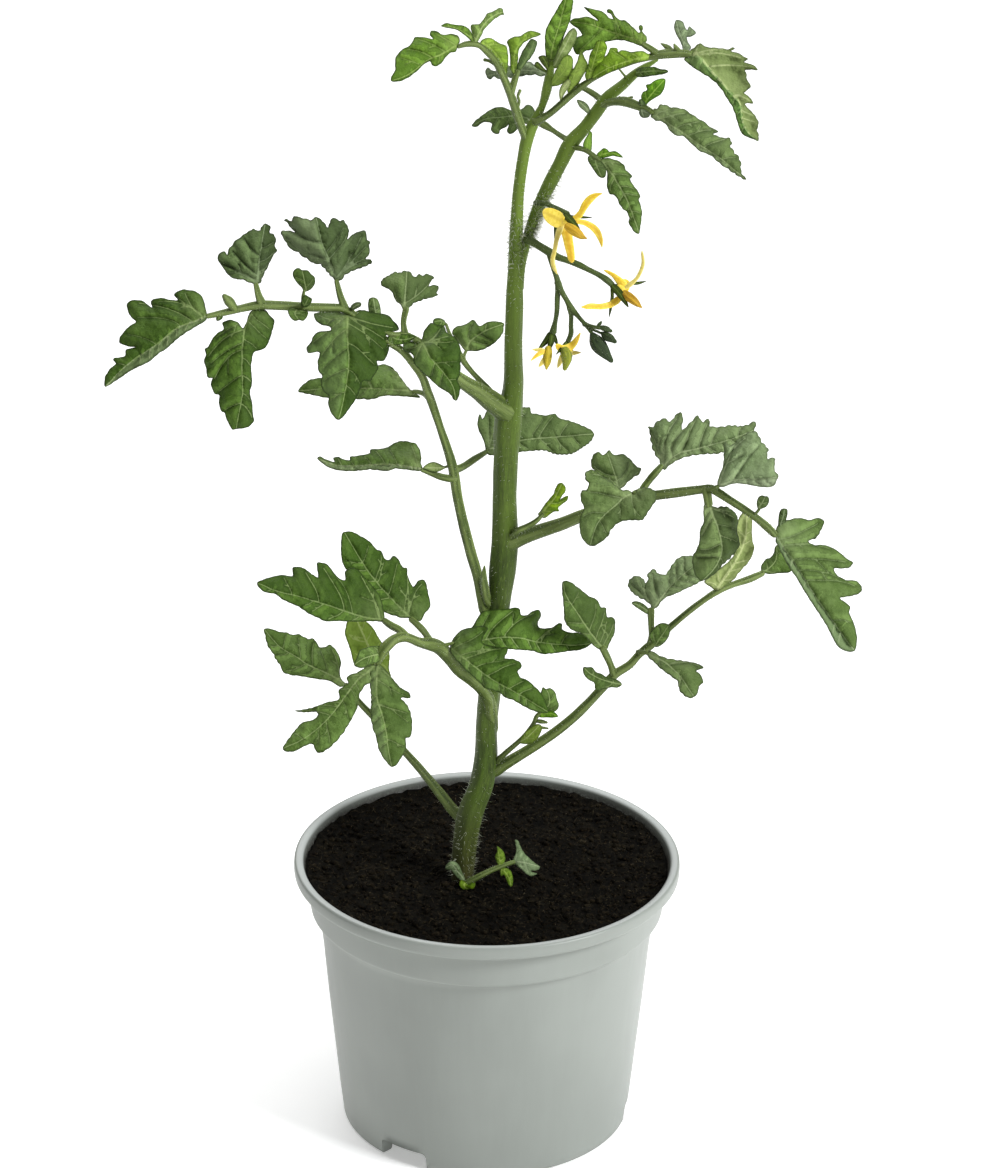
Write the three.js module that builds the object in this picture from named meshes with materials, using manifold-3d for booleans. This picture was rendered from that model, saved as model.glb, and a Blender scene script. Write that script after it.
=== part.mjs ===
// A tomato plant with flowers, growing in a round nursery pot.
// Units are millimetres, +Z is up, and the origin is the centre of the pot's base on the surface it stands on.
// The pot is a turned shell with three drain notches. The soil fills it to just under the rim.
// The stems and leaf stalks are tapering tubes. Every leaflet is a thin folded blade with a toothed edge.
import * as THREE from 'three';
import { mergeVertices } from 'three/addons/utils/BufferGeometryUtils.js';
import Module from 'manifold-3d';

const wasm = await Module();
wasm.setup();

// ---- driving dimensions ----
const POT_HEIGHT = 88.2;         // to the crown of the lip
const LIP_RADIUS = 60;          // outside of the rolled lip
const LIP_INNER_RADIUS = 57.25;
const BAND_RADIUS = 56;         // the straight band below the lip
const BAND_BOTTOM = 72.1;       // height of the step under the band
const WALL_TOP_RADIUS = 52.6;
const BASE_RADIUS = 45.2;
const WALL = 1.5;
const FLOOR_LIFT = 4.8;         // the floor is raised above the foot ring
const FLOOR_THICKNESS = 1.6;
const FOOT_RING = 4;            // width of the ring that the pot stands on
const SEGMENTS = 40;
const NOTCH_WIDTH = 17;
const NOTCH_HEIGHT = 5.6;
const NOTCH_ANGLES = [-124, -4, 116];   // degrees, measured from +X
const SOIL_TOP = 83.7;
const GAP = 0.3;                // clearance between neighbouring pieces
const BLADE = 0.6;              // thickness of a leaf blade
const STALK_SIDES = 7;
const THIN_STALK = 1.25;        // stalks with a smaller radius than this have five sides
const FACING_POINT = [3.3, -1107.9, 662.9];   // leaf blades are laid out facing this point in front of the plant

const PIECES = {
main_stem: {
 tubes: [
  [[-7, -8, 66, 3.41], [-7.5, -8, 86.6, 3.41], [-6.8, -7, 95.5, 3.71], [-5, -5.6, 106.2, 3.85], [-1.7, -3.6, 114.9, 3.69], [-0.5, -1.8, 123.2, 3.50], [-0.5, -0.5, 133.5, 3.22], [0.5, 0, 145.1, 3.36], [1.9, 0, 158.6, 3.19], [4.7, 0, 194.9, 4.00], [4.5, 0, 207.9, 3.56], [5.4, 0, 233.6, 3.98], [6.7, 0, 243.8, 2.96], [6.9, 0, 283, 2.07], [7.7, 0, 304.8, 1.68], [10.2, 0, 321, 1.81], [14.1, 0, 330.2, 1.06], [15.5, 0, 335.3, 1.40], [16.7, 0, 343.9, 0.74]],
  [[4.7, 0, 195.6, 0.98], [7, -3.3, 197.7, 1.00], [8.8, -5.5, 200.5, 0.94], [11.2, -5.8, 201.8, 0.87], [14, -6.9, 204.2, 0.72], [15.7, -7, 206.3, 0.55]],
  [[3, 0, 171.6, 0.91], [0, 0, 171.9, 0.91], [-0.7, -3, 176.5, 1.21], [-1.2, -4.2, 180.3, 1.28], [-1.6, -4.6, 183.8, 1.05], [-1.4, -5, 188.5, 0.23]],
 ],
 blades: [
  { at: [18.3, 0.8, 352.4], fold: [0.4, -0.5], mid: [[-2,-9.5,-1.8],[-1.2,-4.1,0.5],[2.8,11.2,0.8]],
    a: [[-3.2,-7.2],[-3.3,0.1]],
    b: [[-0.1,-7.2],[3.5,3],[4.3,8.4]] },
  { at: [19.3, -0.8, 346.8], fold: [-0.3, -0.4], mid: [[-3,-4.1,-2],[-2.2,-4.2,-2],[-0.2,-1.1,1.8],[3.6,6.6,1]],
    a: [[0.6,3.2]],
    b: [[-1.3,-4.8],[2.9,0.4],[4.3,3.2],[4.5,5.5]] },
  { at: [18.4, -3.4, 340.7], fold: [-0.3, -0.3], mid: [[-3,-3.2,-4.4],[2.3,1.6,1],[2.9,5.5,6.4]],
    a: [[1.8,5.2]],
    b: [[-0.4,-3.3],[3.9,-0.4],[4,5]] },
  { at: [14.9, -1.5, 343.5], fold: [-0.3, -0.3], mid: [[1.1,-2.3,-2.2],[0.1,0.3,0.7],[-1.1,2.1,1.7]],
    a: [[-1.5,0.5],[-2,1.7]],
    b: [[0.8,1.1]] },
  { at: [14.3, -1.3, 341.6], fold: [-0.3, -0.3], mid: [[1.7,-1.1,-1.7],[-1.3,0.9,0.2],[-2.3,1.7,2.1]],
    a: [[-1.6,0.2]],
    b: [[-0.9,1.6]] },
 ],
},
side_branch: {
 tubes: [
  [[7.3, 0, 275, 1.90], [8.5, 0.5, 282.9, 1.53], [12.5, 2, 296.7, 1.57], [14.7, 3, 301.8, 1.83], [22.5, 5, 317.4, 2.26], [26.7, 5.5, 322.4, 1.85], [32.8, 6, 330.9, 1.79], [41, 7, 338.2, 1.25], [47.2, 7, 342.2, 0.35]],
  [[38.2, 6.7, 337.1, 0.43], [38.9, 6.7, 336.3, 0.43], [37.6, 5.7, 338.1, 0.35], [36.3, 5, 339.9, 0.29]],
  [[13.5, 2.6, 299.9, 0.87], [12.8, 2.6, 300.3, 0.87], [15.3, -1.3, 301.4, 0.72], [21.9, -8, 300.5, 0.72]],
 ],
 blades: [
  { at: [26.4, 4.8, 328.8], fold: [-0.3, -0.3], mid: [[1.6,-1.8,-1.7],[0.8,-0.7,-0.1],[-2.2,1.9,1.4]],
    a: [[-1.6,0.1]],
    b: [[1,0.5]] },
  { at: [45, 2.9, 339.9], fold: [-0.6, 0.6], mid: [[-4.6,-0.4,-4.2],[-2,-0.1,0],[5.2,0.2,2.9]],
    a: [[-3.8,0.7],[-0.6,1.3]],
    b: [[-3.4,-1.6],[-1.7,-1.5]] },
  { at: [23, -11.4, 299.5], fold: [-0.25, -0.25], mid: [[-2.3,2.3,-3.6],[-0.2,0.2,1.6],[2.4,-2.4,1.9]],
    a: [[-2.6,1.4],[-0.9,-0.6]],
    b: [[-1.4,2.5],[0.5,0.9]] },
  { at: [25, -6.8, 299.5], fold: [-0.25, -0.25], mid: [[-3,0.6,1.5],[1.3,-0.3,-0.3],[4.1,-0.3,-2.1]],
    a: [[-1.9,-0.4]],
    b: [[1.3,0.1]] },
  { at: [19.1, -7.8, 296.8], fold: [-0.25, -0.25], mid: [[1.1,4.3,0.2],[0.5,3.1,-0.2],[-0.3,0.6,0.7],[-0.6,-5.8,-0.7]],
    a: [[-1.1,0.7]],
    b: [[0.4,0.4]] },
 ],
},
leaf1_stalk: {
 tubes: [
  [[-7.2, -3.6, 102.1, 1.85], [-10.3, -1.6, 104.3, 1.70], [-13.8, 2, 107.3, 1.55], [-17.6, 6.4, 110.4, 1.37], [-21.8, 12, 113, 1.25], [-30.9, 20, 120.1, 1.08], [-40.2, 26, 128.1, 0.94], [-43.4, 27, 132.1, 0.78], [-44.7, 28, 133.7, 0.55]],
  [[-36.4, 24, 124.9, 0.78], [-35.8, 24, 130.1, 0.70], [-35.2, 25, 135.5, 0.62], [-34.8, 25, 140.7, 0.47]],
  [[-43.4, 26.9, 131.8, 0.63], [-45, 27, 128.6, 0.47], [-46.6, 28, 125, 0.24]],
 ],
},
leaf2_stalk: {
 tubes: [
  [[1.2, 0.5, 130.7, 1.38], [1.1, -1.8, 137.2, 1.84], [0.3, -3.6, 142.8, 1.98], [-1.3, -6, 147.3, 1.90], [-3.1, -8, 150.5, 1.82], [-8.6, -10, 156.4, 2.04], [-14.6, -15, 165.8, 2.04], [-17.5, -19, 168.9, 1.94], [-20.5, -23, 171.2, 1.37], [-23.3, -27, 174.3, 1.30], [-25.3, -29, 175.7, 1.39], [-27.7, -32, 176.3, 1.48], [-29.7, -34, 175.2, 1.65], [-32.6, -36, 170.7, 1.13]],
  [[-24.6, -28.4, 175.8, 1.12], [-26.4, -27.2, 177.2, 1.07], [-30.9, -25, 179.2, 0.90]],
  [[-17, -18.3, 168.6, 1.09], [-20.5, -17.2, 173.7, 1.08], [-23.2, -16, 175.8, 0.88]],
  [[-14.5, -15, 165.9, 0.68], [-12.8, -14, 166.5, 0.60], [-10.7, -14, 167.1, 0.45]],
 ],
 blades: [
  { at: [-35.5, -38.3, 172.9], fold: [-0.3, 0.3], mid: [[4.3,1.3,-2.8],[1.1,0.7,-0.1],[-4,-1.9,1.9]],
    a: [[4,3.4],[-0.7,3.1],[-2.2,2.5]],
    b: [[3.7,-0.8],[-0.4,-2.5],[-2.2,-2.8]] },
 ],
},
leaf3_stalk: {
 tubes: [
  [[1.6, -2.4, 118.8, 2.00], [7.8, -3.7, 123.4, 1.69], [21.5, -3.4, 133.5, 1.50], [27.4, -3, 139, 1.41], [35, -3, 147.9, 1.37], [38.6, -2, 151.8, 1.34], [43.1, -1, 154.6, 1.22], [45.8, 0, 157.5, 1.19], [49.3, 1, 160.3, 1.34], [61.3, 7, 169.3, 0.94], [69.3, 10, 174.1, 1.02], [83.7, 17, 177.4, 0.90]],
  [[38.2, -2, 151.8, 1.22], [37.1, -2.8, 155.2, 1.00], [34.5, -5, 161.8, 1.06]],
  [[49.1, 1, 160.3, 0.99], [49.3, 1, 166.9, 0.94], [49.1, 2, 171.5, 1.14]],
  [[45.5, 0, 158.3, 0.76], [46.6, -2, 159.3, 0.68], [48.1, -3, 159.4, 0.61]],
  [[4.1, -3, 120.6, 0.92], [3.2, -3, 122.5, 0.92], [5, -4.4, 125.4, 0.86], [9.8, -6.3, 131.2, 0.76], [12.2, -6.6, 134.2, 0.76], [14, -7.8, 137.8, 0.70], [14.9, -7.9, 140.2, 0.70], [16.4, -8, 141.5, 0.61]],
  [[14.3, -7.8, 138.5, 0.38], [16.1, -8.9, 138.9, 0.70], [18, -9, 138.6, 0.37]],
  [[13.6, -7.5, 137, 0.37], [18.3, -8, 136.1, 0.27]],
 ],
 blades: [
  { at: [34, -7.8, 153.5], fold: [-0.5, 0.5], mid: [[6.6,-2.2,-2.1],[-2,0.2,0.4],[-5.2,2.9,2.3]],
    a: [[5,-0.7],[-1.4,1.4],[-2.5,2.8]],
    b: [[5.4,-3.1],[-1,-4.1],[-1.8,-1.9],[-4.7,0.2]] },
  { at: [51.4, -0.6, 163.1], fold: [0.2, -0.4], mid: [[-2.4,-2,-2.5],[0.9,1.9,0.9],[3.2,4.2,4.4]],
    a: [[-2.7,0.8],[-1.6,2.9],[1.4,4.8]],
    b: [[-0.2,-2.5],[1.9,-1.2],[3.3,0.9]] },
  { at: [46.1, 0.9, 172.8], fold: [-0.3, 0.4], mid: [[3.1,-1.8,-1.9],[-0.9,0.7,0.7],[-2.9,1.2,1.7]],
    a: [[0.6,1.2],[-1,1.8]],
    b: [[1.9,-2]] },
  { at: [86.3, 20.1, 180.1], fold: [-0.3, 0.5], mid: [[-2.6,-3.3,2.2],[-0.8,-2.4,0.9],[1.6,0.5,-0.8],[1.7,5.1,-2.2]],
    a: [[-2.9,-1.8],[-1.5,0.7],[-0.3,1.1]],
    b: [[-0.4,-3.9],[6,-3],[6.5,-1.5]] },
  { at: [17.5, -8.9, 145.2], fold: [-0.2, -0.4], mid: [[-1.1,-3,-2.4],[1,-0.4,-0.3],[0.9,2.4,1.8],[0,4.2,3.2]],
    a: [[-1.5,3.2],[-0.9,4.8]],
    b: [[3.5,-2.2],[4,-0.6],[2.8,3.3],[1.2,4.5]] },
  { at: [17.6, -9.2, 141.3], fold: [-0.2, 0.4], mid: [[-2.5,-0.3,-1.5],[1.8,0.3,1.1],[3.7,-0.5,1.7]],
    a: [[-1.8,1],[0.6,1.1],[2.4,1]],
    b: [[0.3,-0.8]] },
  { at: [12.8, -8.6, 134.5], fold: [-0.2, 0.4], mid: [[-3.3,-2.6,-4],[-0.9,-1.1,-0.4],[3,2.9,2.9]],
    a: [[-1.2,0.9]],
    b: [[0.4,-2.9],[2.2,-1.5],[3.4,0.6]] },
 ],
},
leaf4_stalk: {
 tubes: [
  [[5.6, -1, 194.6, 2.61], [12.4, -2, 197.7, 2.13], [17, -2, 199.4, 2.01], [21.5, -3, 201.5, 1.89], [28.1, -3, 204.6, 1.75], [38.8, -5, 209.7, 1.49], [43.9, -6, 211.3, 1.46], [56.3, -11, 215.4, 1.42], [65.3, -14, 217.8, 1.25], [67.3, -15, 217.2, 1.24], [75, -17, 212.7, 1.08], [82.2, -19, 207.6, 1.21], [84.3, -20, 205.8, 0.99]],
  [[45.9, -6.8, 212.2, 0.82], [45.4, -6.8, 214.2, 1.05], [47.2, -5.9, 216.9, 1.01], [49, -6, 219.4, 1.04], [50.8, -5, 221.2, 0.88]],
  [[63.8, -13.5, 217.6, 0.74], [65.5, -16.7, 218.9, 0.66], [67.1, -18, 220.2, 0.59]],
  [[63.9, -13.6, 217.6, 1.25], [64.2, -15.4, 216.1, 1.25], [64.6, -16, 213.7, 1.25]],
  [[45.6, -6.8, 213.6, 0.82], [44.7, -6.8, 213.4, 0.82], [42.7, -12, 215.5, 0.67]],
  [[35.9, -4.5, 208.5, 0.67], [37.1, -1.2, 209.4, 0.60], [38, 1, 211.1, 0.52]],
  [[77.4, -17.6, 211.1, 0.44], [79.4, -18.6, 213.3, 0.44]],
 ],
 blades: [
  { at: [79.8, -19.9, 215.4], fold: [-0.2, -0.3], mid: [[-0.6,-1.6,-2],[0.3,0.5,0.6],[1.2,2.4,3.2]],
    a: [[-0.8,2.2]],
    b: [[1.6,-0.5],[2.3,0.8],[2.3,1.9]] },
  { at: [86, -17.8, 208.6], fold: [-0.3, -0.3], mid: [[-1.6,-3.5,1.1],[0.7,2.9,-0.1],[1,4.4,-1.3]],
    a: [[-0.6,3]],
    b: [[0.7,-1.9],[1.9,2.8]] },
 ],
},
leaf5_stalk: {
 tubes: [
  [[-0.9, -1, 171.7, 1.67], [-2.1, -2, 176.1, 1.53], [-5.7, 0, 191.2, 1.57], [-9.5, 1, 207.3, 1.47], [-11.1, 1, 218, 1.43], [-14.6, -2, 231, 1.13], [-16.9, -4, 239.2, 1.24], [-18.5, -6, 244.3, 1.27], [-20, -7, 249.3, 1.15], [-23, -9, 254.7, 1.08], [-25.9, -10, 258.8, 1.09], [-30.2, -12, 262.6, 1.09], [-34.3, -13, 265.7, 1.09], [-41.4, -15, 272.8, 1.16], [-43.7, -16, 274, 1.16], [-48, -17, 274.5, 1.23], [-52.3, -17, 274.6, 1.23], [-66.8, -20, 276, 1.24], [-76.5, -22, 274.5, 0.92], [-81.5, -24, 274, 0.70]],
  [[-66, -19.8, 276.1, 0.86], [-67.6, -20, 282.4, 0.78]],
  [[-42.3, -15.4, 273.3, 1.01], [-44.7, -14, 281.5, 0.71]],
  [[-10.9, 1, 216.8, 1.13], [-8.1, 4, 216.9, 1.08], [-1, 8.5, 220.1, 0.72]],
  [[-10.4, 1, 214.4, 1.11], [-12.2, 0, 214.7, 1.05], [-15, 0, 215.3, 0.99], [-17.4, 1, 215.9, 0.85], [-20.3, 1, 217, 0.64]],
  [[-18.1, -5.3, 242.4, 0.88], [-19.6, -3.1, 242.8, 0.74], [-23, 1, 242, 0.59]],
  [[-54, -17.4, 274.9, 0.65], [-53.9, -18, 279.8, 0.43]],
  [[-73.7, -21.4, 275.4, 0.91], [-75.3, -23, 278.3, 1.38], [-76.5, -24, 280.2, 0.69]],
  [[-33.7, -12.9, 265.3, 0.58], [-30.9, -17.4, 264.9, 0.51], [-26.2, -22.5, 263.5, 0.36]],
 ],
 blades: [
  { at: [-15.1, 1, 217.9], fold: [-0.6, 0.6], mid: [[3.9,0.4,0.3],[0.5,-0.2,-0.1],[-4.9,-0.2,-0.2]],
    a: [[-1.9,1.6]],
    b: [[-1,-1.4]] },
  { at: [-53.9, -17.2, 281.8], fold: [-0.3, -0.3], mid: [[-0.1,-2.3,0],[-0.1,2.6,0],[-0.6,3.9,0.1]],
    a: [[-3.2,2.2],[-2.3,4.4]],
    b: [[2.5,-1],[3,1.9],[1.2,3.8]] },
  { at: [-53.2, -21.4, 277.6], fold: [0.2, 0.2], mid: [[-0.9,-1.4,-4.7],[0,-0.2,1.5],[0.9,1.5,3.3]],
    a: [[-1.1,1.2],[-0.3,2.1]],
    b: [[1.4,-0.2],[1.7,0.9]] },
  { at: [-55.8, -20.7, 273.8], fold: [0.2, 0.2], mid: [[0.2,1.7,-2.5],[-0.6,0,0.8],[0.5,-1.8,1.8]],
    a: [[-1.2,2],[-2.6,1.1],[-2.1,-0.9],[-0.7,-2]],
    b: [[3.1,0.5],[1.6,-2.1]] },
  { at: [-33.4, -12.1, 269.6], fold: [-0.3, -0.3], mid: [[0.2,-4.7,0.1],[0.3,0.1,-0.3],[-0.8,6.2,-0.1]],
    a: [[-2.3,3.8],[-2,5.6]],
    b: [[1.4,1.2],[0.3,5.6]] },
  { at: [-39.6, -16.1, 274.2], fold: [-0.2, 0.2], mid: [[-1.4,-1.3,-1.8],[-0.6,-0.4,-1.4],[0,0.2,0.5],[2,1.3,2.6]],
    a: [[0,1.4]],
    b: [[2,0.5]] },
  { at: [-78.3, -22.7, 273.1], fold: [0.2, 0.2], mid: [[0.4,1.1,0.3],[0.1,-0.1,-0.2],[-0.5,-0.9,0]],
    a: [[-0.5,0.8]],
    b: [[1.2,0.8],[0.9,-0.3]] },
 ],
},
leaf6_stalk: {
 tubes: [
  [[4.6, -1, 236.8, 3.05], [2.4, -3, 239, 3.00], [0, -4, 241.2, 3.04], [-6.2, -8, 247.2, 2.23], [-11.4, -10, 252.2, 1.62], [-17.7, -13, 260.2, 1.05], [-22.6, -15, 264.7, 0.87], [-24.9, -15, 265.9, 0.73]],
  [[-25, -15, 265.9, 1.02], [-25.4, -14.5, 269.4, 0.87], [-24.6, -14, 273.2, 1.04]],
  [[-25, -15, 265.9, 1.02], [-29.2, -17, 266.6, 0.72], [-30.6, -17, 267.1, 0.43]],
  [[2.8, -2.8, 238.9, 1.18], [3.1, -2.8, 239.4, 1.21], [-1, 0.5, 243.5, 0.87], [-5.5, 0.7, 248.3, 0.74], [-8.1, -0.2, 252.2, 0.86], [-10.2, -1.1, 256.9, 0.69], [-13.2, -1, 264, 0.43]],
  [[-8.1, -0.2, 252.2, 0.86], [-7.4, 2, 254.5, 0.44]],
 ],
 blades: [
  { at: [-15, -1.9, 264.9], fold: [-0.3, 0.3], mid: [[1.8,-0.5,-1.1],[0.3,0.3,0.1],[-2,0,1.1]],
    a: [[-0.3,1.2],[-1.8,0.9]],
    b: [[-0.3,-1.1],[-1.7,-0.8]] },
  { at: [-25.8, -17.5, 265.8], fold: [-0.3, 0.3], mid: [[-3.7,0.9,-0.3],[-1.7,-0.5,-0.5],[1.2,-0.7,-0.1],[4.1,0.2,0.7]],
    a: [[0.1,0.9]],
    b: [[-4,-1.1],[-2.5,-2.3],[0.9,-1.8]] },
 ],
},
leaf8_stalk: {
 tubes: [
  [[9.9, 0.4, 318.2, 0.94], [9, -0.9, 322.2, 1.15], [4.7, -4, 335.7, 1.14], [0.4, -8, 346, 0.99], [-3.8, -10, 350.8, 0.83], [-6, -11, 351.6, 0.88], [-9.8, -12.5, 351.1, 0.54]],
  [[5.1, -3.9, 335.6, 1.04], [7.2, -4, 341.8, 0.64]],
  [[6.7, -2.8, 330.7, 0.37], [7.6, -3.3, 332.4, 0.41], [7.2, -3.4, 334.2, 0.43], [7.8, -3.5, 335.9, 0.51]],
  [[1.7, -7, 343.5, 0.45], [-1.2, -7, 345.5, 0.43], [-2.5, -7, 345.9, 0.51]],
 ],
 blades: [
  { at: [-8.8, -12.1, 354.6], fold: [-0.3, 0.5], mid: [[3.2,-2.4,-2],[-1.4,2,0.3],[-5.9,2.4,2.6]],
    a: [[2.8,0.2],[0.3,2.5],[-4.5,3.2]],
    b: [[-1.4,1.3]] },
  { at: [-2.1, -8.3, 355.7], fold: [-0.3, -0.5], mid: [[-3,-4.6,1.1],[-1.7,-1,0.9],[0.3,1.8,-0.1],[4.8,4.3,-2.2]],
    a: [[-4.2,0.6],[-1.9,0.9],[0.3,3.7],[3.7,5.5],[4.8,5.2]],
    b: [[1.1,1.2],[5.1,3.5]] },
  { at: [-0.1, -7.3, 347.3], fold: [-0.2, 0.3], mid: [[-3.6,2.8,3.6],[1.5,0.9,-0.7],[3.8,-5.6,-5]],
    a: [[-3.1,4.2],[-1.7,4.8],[3.7,2.6],[4.4,-2.4]],
    b: [[0.7,-1.3]] },
  { at: [7.9, -2.4, 345.5], fold: [-0.3, -0.3], mid: [[-1.2,-6,-0.1],[-0.7,4.7,-0.4],[5.7,6.5,-0.7]],
    a: [[-2.8,-3.8],[-4,4.2],[2.2,7.3]],
    b: [[-0.6,1.9],[0.8,3.9]] },
  { at: [9.6, -5.9, 346.4], fold: [-0.3, -0.3], mid: [[-2.2,-4.2,-3.2],[0.6,0.9,0.7],[2.2,4.9,3.6]],
    a: [[-2.8,-3.1],[-1.4,1.5],[1.1,5.1]],
    b: [[1.4,0.4],[2.5,2.6]] },
 ],
},
leaf9_stalk: {
 tubes: [
  [[12.5, -1, 326, 1.13], [16.6, -3, 329.2, 0.95], [24.9, -5.5, 337.5, 0.96], [27.6, -6, 339.7, 0.74], [33.2, -7.5, 343.2, 0.58], [40.5, -9, 346.5, 0.71], [47.7, -11, 349, 1.24], [51.4, -12, 349.6, 1.24], [55.5, -14, 350, 0.93]],
  [[46.7, -10.7, 348.5, 0.78], [44.7, -9.6, 350.1, 0.91], [42.5, -9, 351.3, 0.82]],
  [[50.6, -11.8, 349.3, 0.71], [49.5, -10.1, 350.7, 0.85], [47.5, -9, 351.6, 0.21]],
  [[52.5, -12.5, 349.6, 0.71], [51.6, -12, 351.2, 0.71], [51, -12, 352.4, 0.21]],
 ],
 blades: [
  { at: [23.3, -6, 341.4], fold: [-0.2, -0.3], mid: [[-1.3,-5.7,-2.7],[-0.8,-2.6,-1.8],[1.6,7,4.1]],
    a: [[-2.2,-2.1]],
    b: [[-0.4,-5.5],[3.7,2.5]] },
  { at: [20.5, -5.2, 336.7], fold: [-0.2, -0.3], mid: [[-1,-3.8,-2.1],[-0.8,-0.3,-0.4],[1.5,2.8,1.6]],
    a: [[-1.4,0.5],[-0.2,2.2]],
    b: [[1.2,0.8]] },
  { at: [28.6, -8.9, 346.3], fold: [-0.2, -0.4], mid: [[-1.6,-5.6,-4.7],[0.6,1.7,1.4],[1.6,5.9,4.9]],
    a: [[-2.5,-4.2],[-1.1,2]],
    b: [[1.2,-3.6],[2.6,-1.3],[3.6,4],[2.7,5.7]] },
  { at: [52.9, -10.1, 353.9], fold: [0.2, -0.5], mid: [[1.1,-4.7,1.8],[0.7,-1.4,0.5],[-1.4,4.7,-1.8]],
    a: [[-1.9,2.8]],
    b: [[3,-3],[1.8,0],[4.3,1.2],[2.3,3],[1.8,2],[0.6,4.2]] },
 ],
},
leaf10_stalk: {
 tubes: [
  [[31.3, 5.6, 329.1, 1.08], [34.8, 2.5, 331, 1.09], [37.9, 0, 331.8, 1.43], [45.9, -3, 329.4, 0.79]],
  [[36.4, 1.2, 331.3, 0.50], [36.4, 1.5, 332.7, 0.37]],
  [[37.9, 0, 331.9, 0.43], [40.1, 0.5, 333.1, 0.29]],
 ],
 blades: [
  { at: [45.6, 0.1, 333.9], fold: [-0.4, -0.4], mid: [[-2.5,-3.9,0.9],[-0.5,-0.4,1.1],[3.6,4.6,-2.9]],
    a: [[-3.1,-0.7],[-1.4,1.3],[-1.8,2.8]],
    b: [[2.3,0]] },
  { at: [42.9, -4.1, 329.8], fold: [-0.3, -0.3], mid: [[-0.2,1.4,-2.2],[-0.2,0.2,0.8],[0.4,-1.5,1.5]],
    a: [[-1,-0.1]],
    b: [[2.1,-0.3]] },
  { at: [42.8, -1.6, 331.9], fold: [-0.3, -0.3], mid: [[0.3,-1.1,-0.2],[0,-0.2,0.6],[-0.4,1.2,-0.3]],
    a: [[-0.9,0]],
    b: [[0.8,0.1]] },
 ],
},
leaf10_lower_stalk: {
 tubes: [
  [[22.3, 5, 316.9, 0.80], [24.1, 3.4, 316.9, 0.87], [27.2, -1, 317.3, 0.75], [31, -4, 315.6, 0.59]],
 ],
 blades: [
  { at: [30.4, -5.5, 313.8], fold: [-0.3, 0.2], mid: [[-0.9,3,-1.5],[0.3,-1,0.5],[1.2,-3,1.6]],
    a: [[-2.1,3.5],[-2.9,1.8]],
    b: [[2.3,-0.1],[2.1,-2.7]] },
  { at: [27.6, 0.5, 319.4], fold: [-0.3, -0.3], mid: [[0,-2.8,1.1],[-0.3,-1,0.8],[0.5,3.3,-1.6]],
    a: [[-1.5,-1.1]],
    b: [[0.8,-2.5],[1.1,-1]] },
  { at: [32.9, -3.5, 316.6], fold: [-0.4, 0.4], mid: [[-2.7,-0.7,-0.1],[-0.8,0.6,0.5],[1.5,0.9,0.2],[4.7,-0.3,-0.8]],
    a: [[-2.8,0.5],[-0.8,2.3],[0.6,1.3],[2.4,1.5]],
    b: [[1.8,0]] },
 ],
},
rear_leaf: {
 tubes: [
  [[22.2, 8, 317.5, 0.91], [20.5, 10, 317.9, 0.77], [17.6, 12, 319.3, 0.70], [14.8, 13, 320.8, 1.05], [12.5, 14, 321.6, 0.87]],
 ],
 blades: [
  { at: [3.8, 18.6, 320.4], fold: [-0.4, 0.4], mid: [[8.5,-0.5,4.6],[6.2,0.6,3.6],[2.6,1.2,1.8],[-5.8,0.2,-3.1],[-9.9,-1.9,-6.2]],
    a: [[8.5,2.4],[7.6,4.1],[6.1,4.4],[2.9,2.3],[-1.2,3.8],[-3.5,3.4],[-7.6,0.8]],
    b: [[5.9,-1.1],[4.4,-0.6],[3.6,-2.3],[0.9,-4.1],[0.4,-3.2],[0.9,-1.2],[-1.7,-2.9],[-2,-4.1],[-3.4,-3.8],[-4.3,-3],[-4,-1.2],[-5.8,-0.7],[-8.5,-2.1]] },
 ],
},
rear_leaf_small: {
 tubes: [
  [[31, 9, 329.9, 0.95], [28.7, 11, 331, 0.90], [22.9, 14, 333.1, 0.75], [15.9, 16, 335.1, 0.54]],
 ],
 blades: [
  { at: [7.4, 21.7, 333.8], fold: [-0.5, 0.5], mid: [[8.5,-0.3,5.8],[0.4,0.8,0.5],[-9.6,-1.1,-6.8]],
    a: [[7.1,1.4],[3.3,3.1],[-6.3,0.7],[-8.1,0.6],[-9,1.6]],
    b: [[-5.4,-1.9],[-7.2,-1.3],[-8.4,-1.9]] },
 ],
},
truss_stalk: {
 tubes: [
  [[9.4, 1, 290.1, 1.25], [11.1, -2, 290.4, 1.19], [17.2, -6, 287.9, 1.16], [21.6, -8, 286.5, 0.85], [27.9, -10, 284.4, 0.75], [33.5, -12, 281.8, 0.93], [35, -12, 280.5, 0.80]],
  [[16.3, -5.5, 288.1, 0.62], [19.1, -8.8, 280.7, 0.87], [19.1, -9.9, 271.2, 0.73], [18.1, -10, 265.1, 1.08]],
  [[19.2, -8.9, 280.1, 0.96], [23.2, -12, 273.2, 0.96], [29.4, -15, 266.4, 0.51]],
  [[22.9, -11.8, 273.5, 0.90], [23.2, -11.9, 268, 0.67], [23.2, -12, 265.2, 0.76], [22.4, -12, 262.8, 0.73]],
  [[27, -13.7, 269, 0.70], [31.6, -16, 268.6, 0.52]],
  [[28.1, -14.3, 267.9, 0.44], [32.5, -16, 266.8, 0.36]],
  [[29.3, -15, 266.4, 0.73], [31.1, -16, 263.7, 2.10], [34.6, -17.5, 259.6, 0.80]],
  [[32.2, -15.8, 267, 0.51], [33.4, -16.4, 266.3, 1.16], [35.5, -17.5, 265.4, 0.72]],
  [[31.3, -15.9, 268.7, 0.43], [32.5, -15.9, 268.6, 0.80], [34.4, -16, 267.9, 0.58]],
  [[30.7, -15.7, 268.8, 0.36], [31.7, -15, 269.8, 0.43]],
 ],
 blades: [
  { at: [37.2, -15, 278.4], fold: [-0.25, -0.25], mid: [[-2.7,3.1,-2],[0,0.3,1.1],[2.5,-3.5,0.8]],
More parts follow.
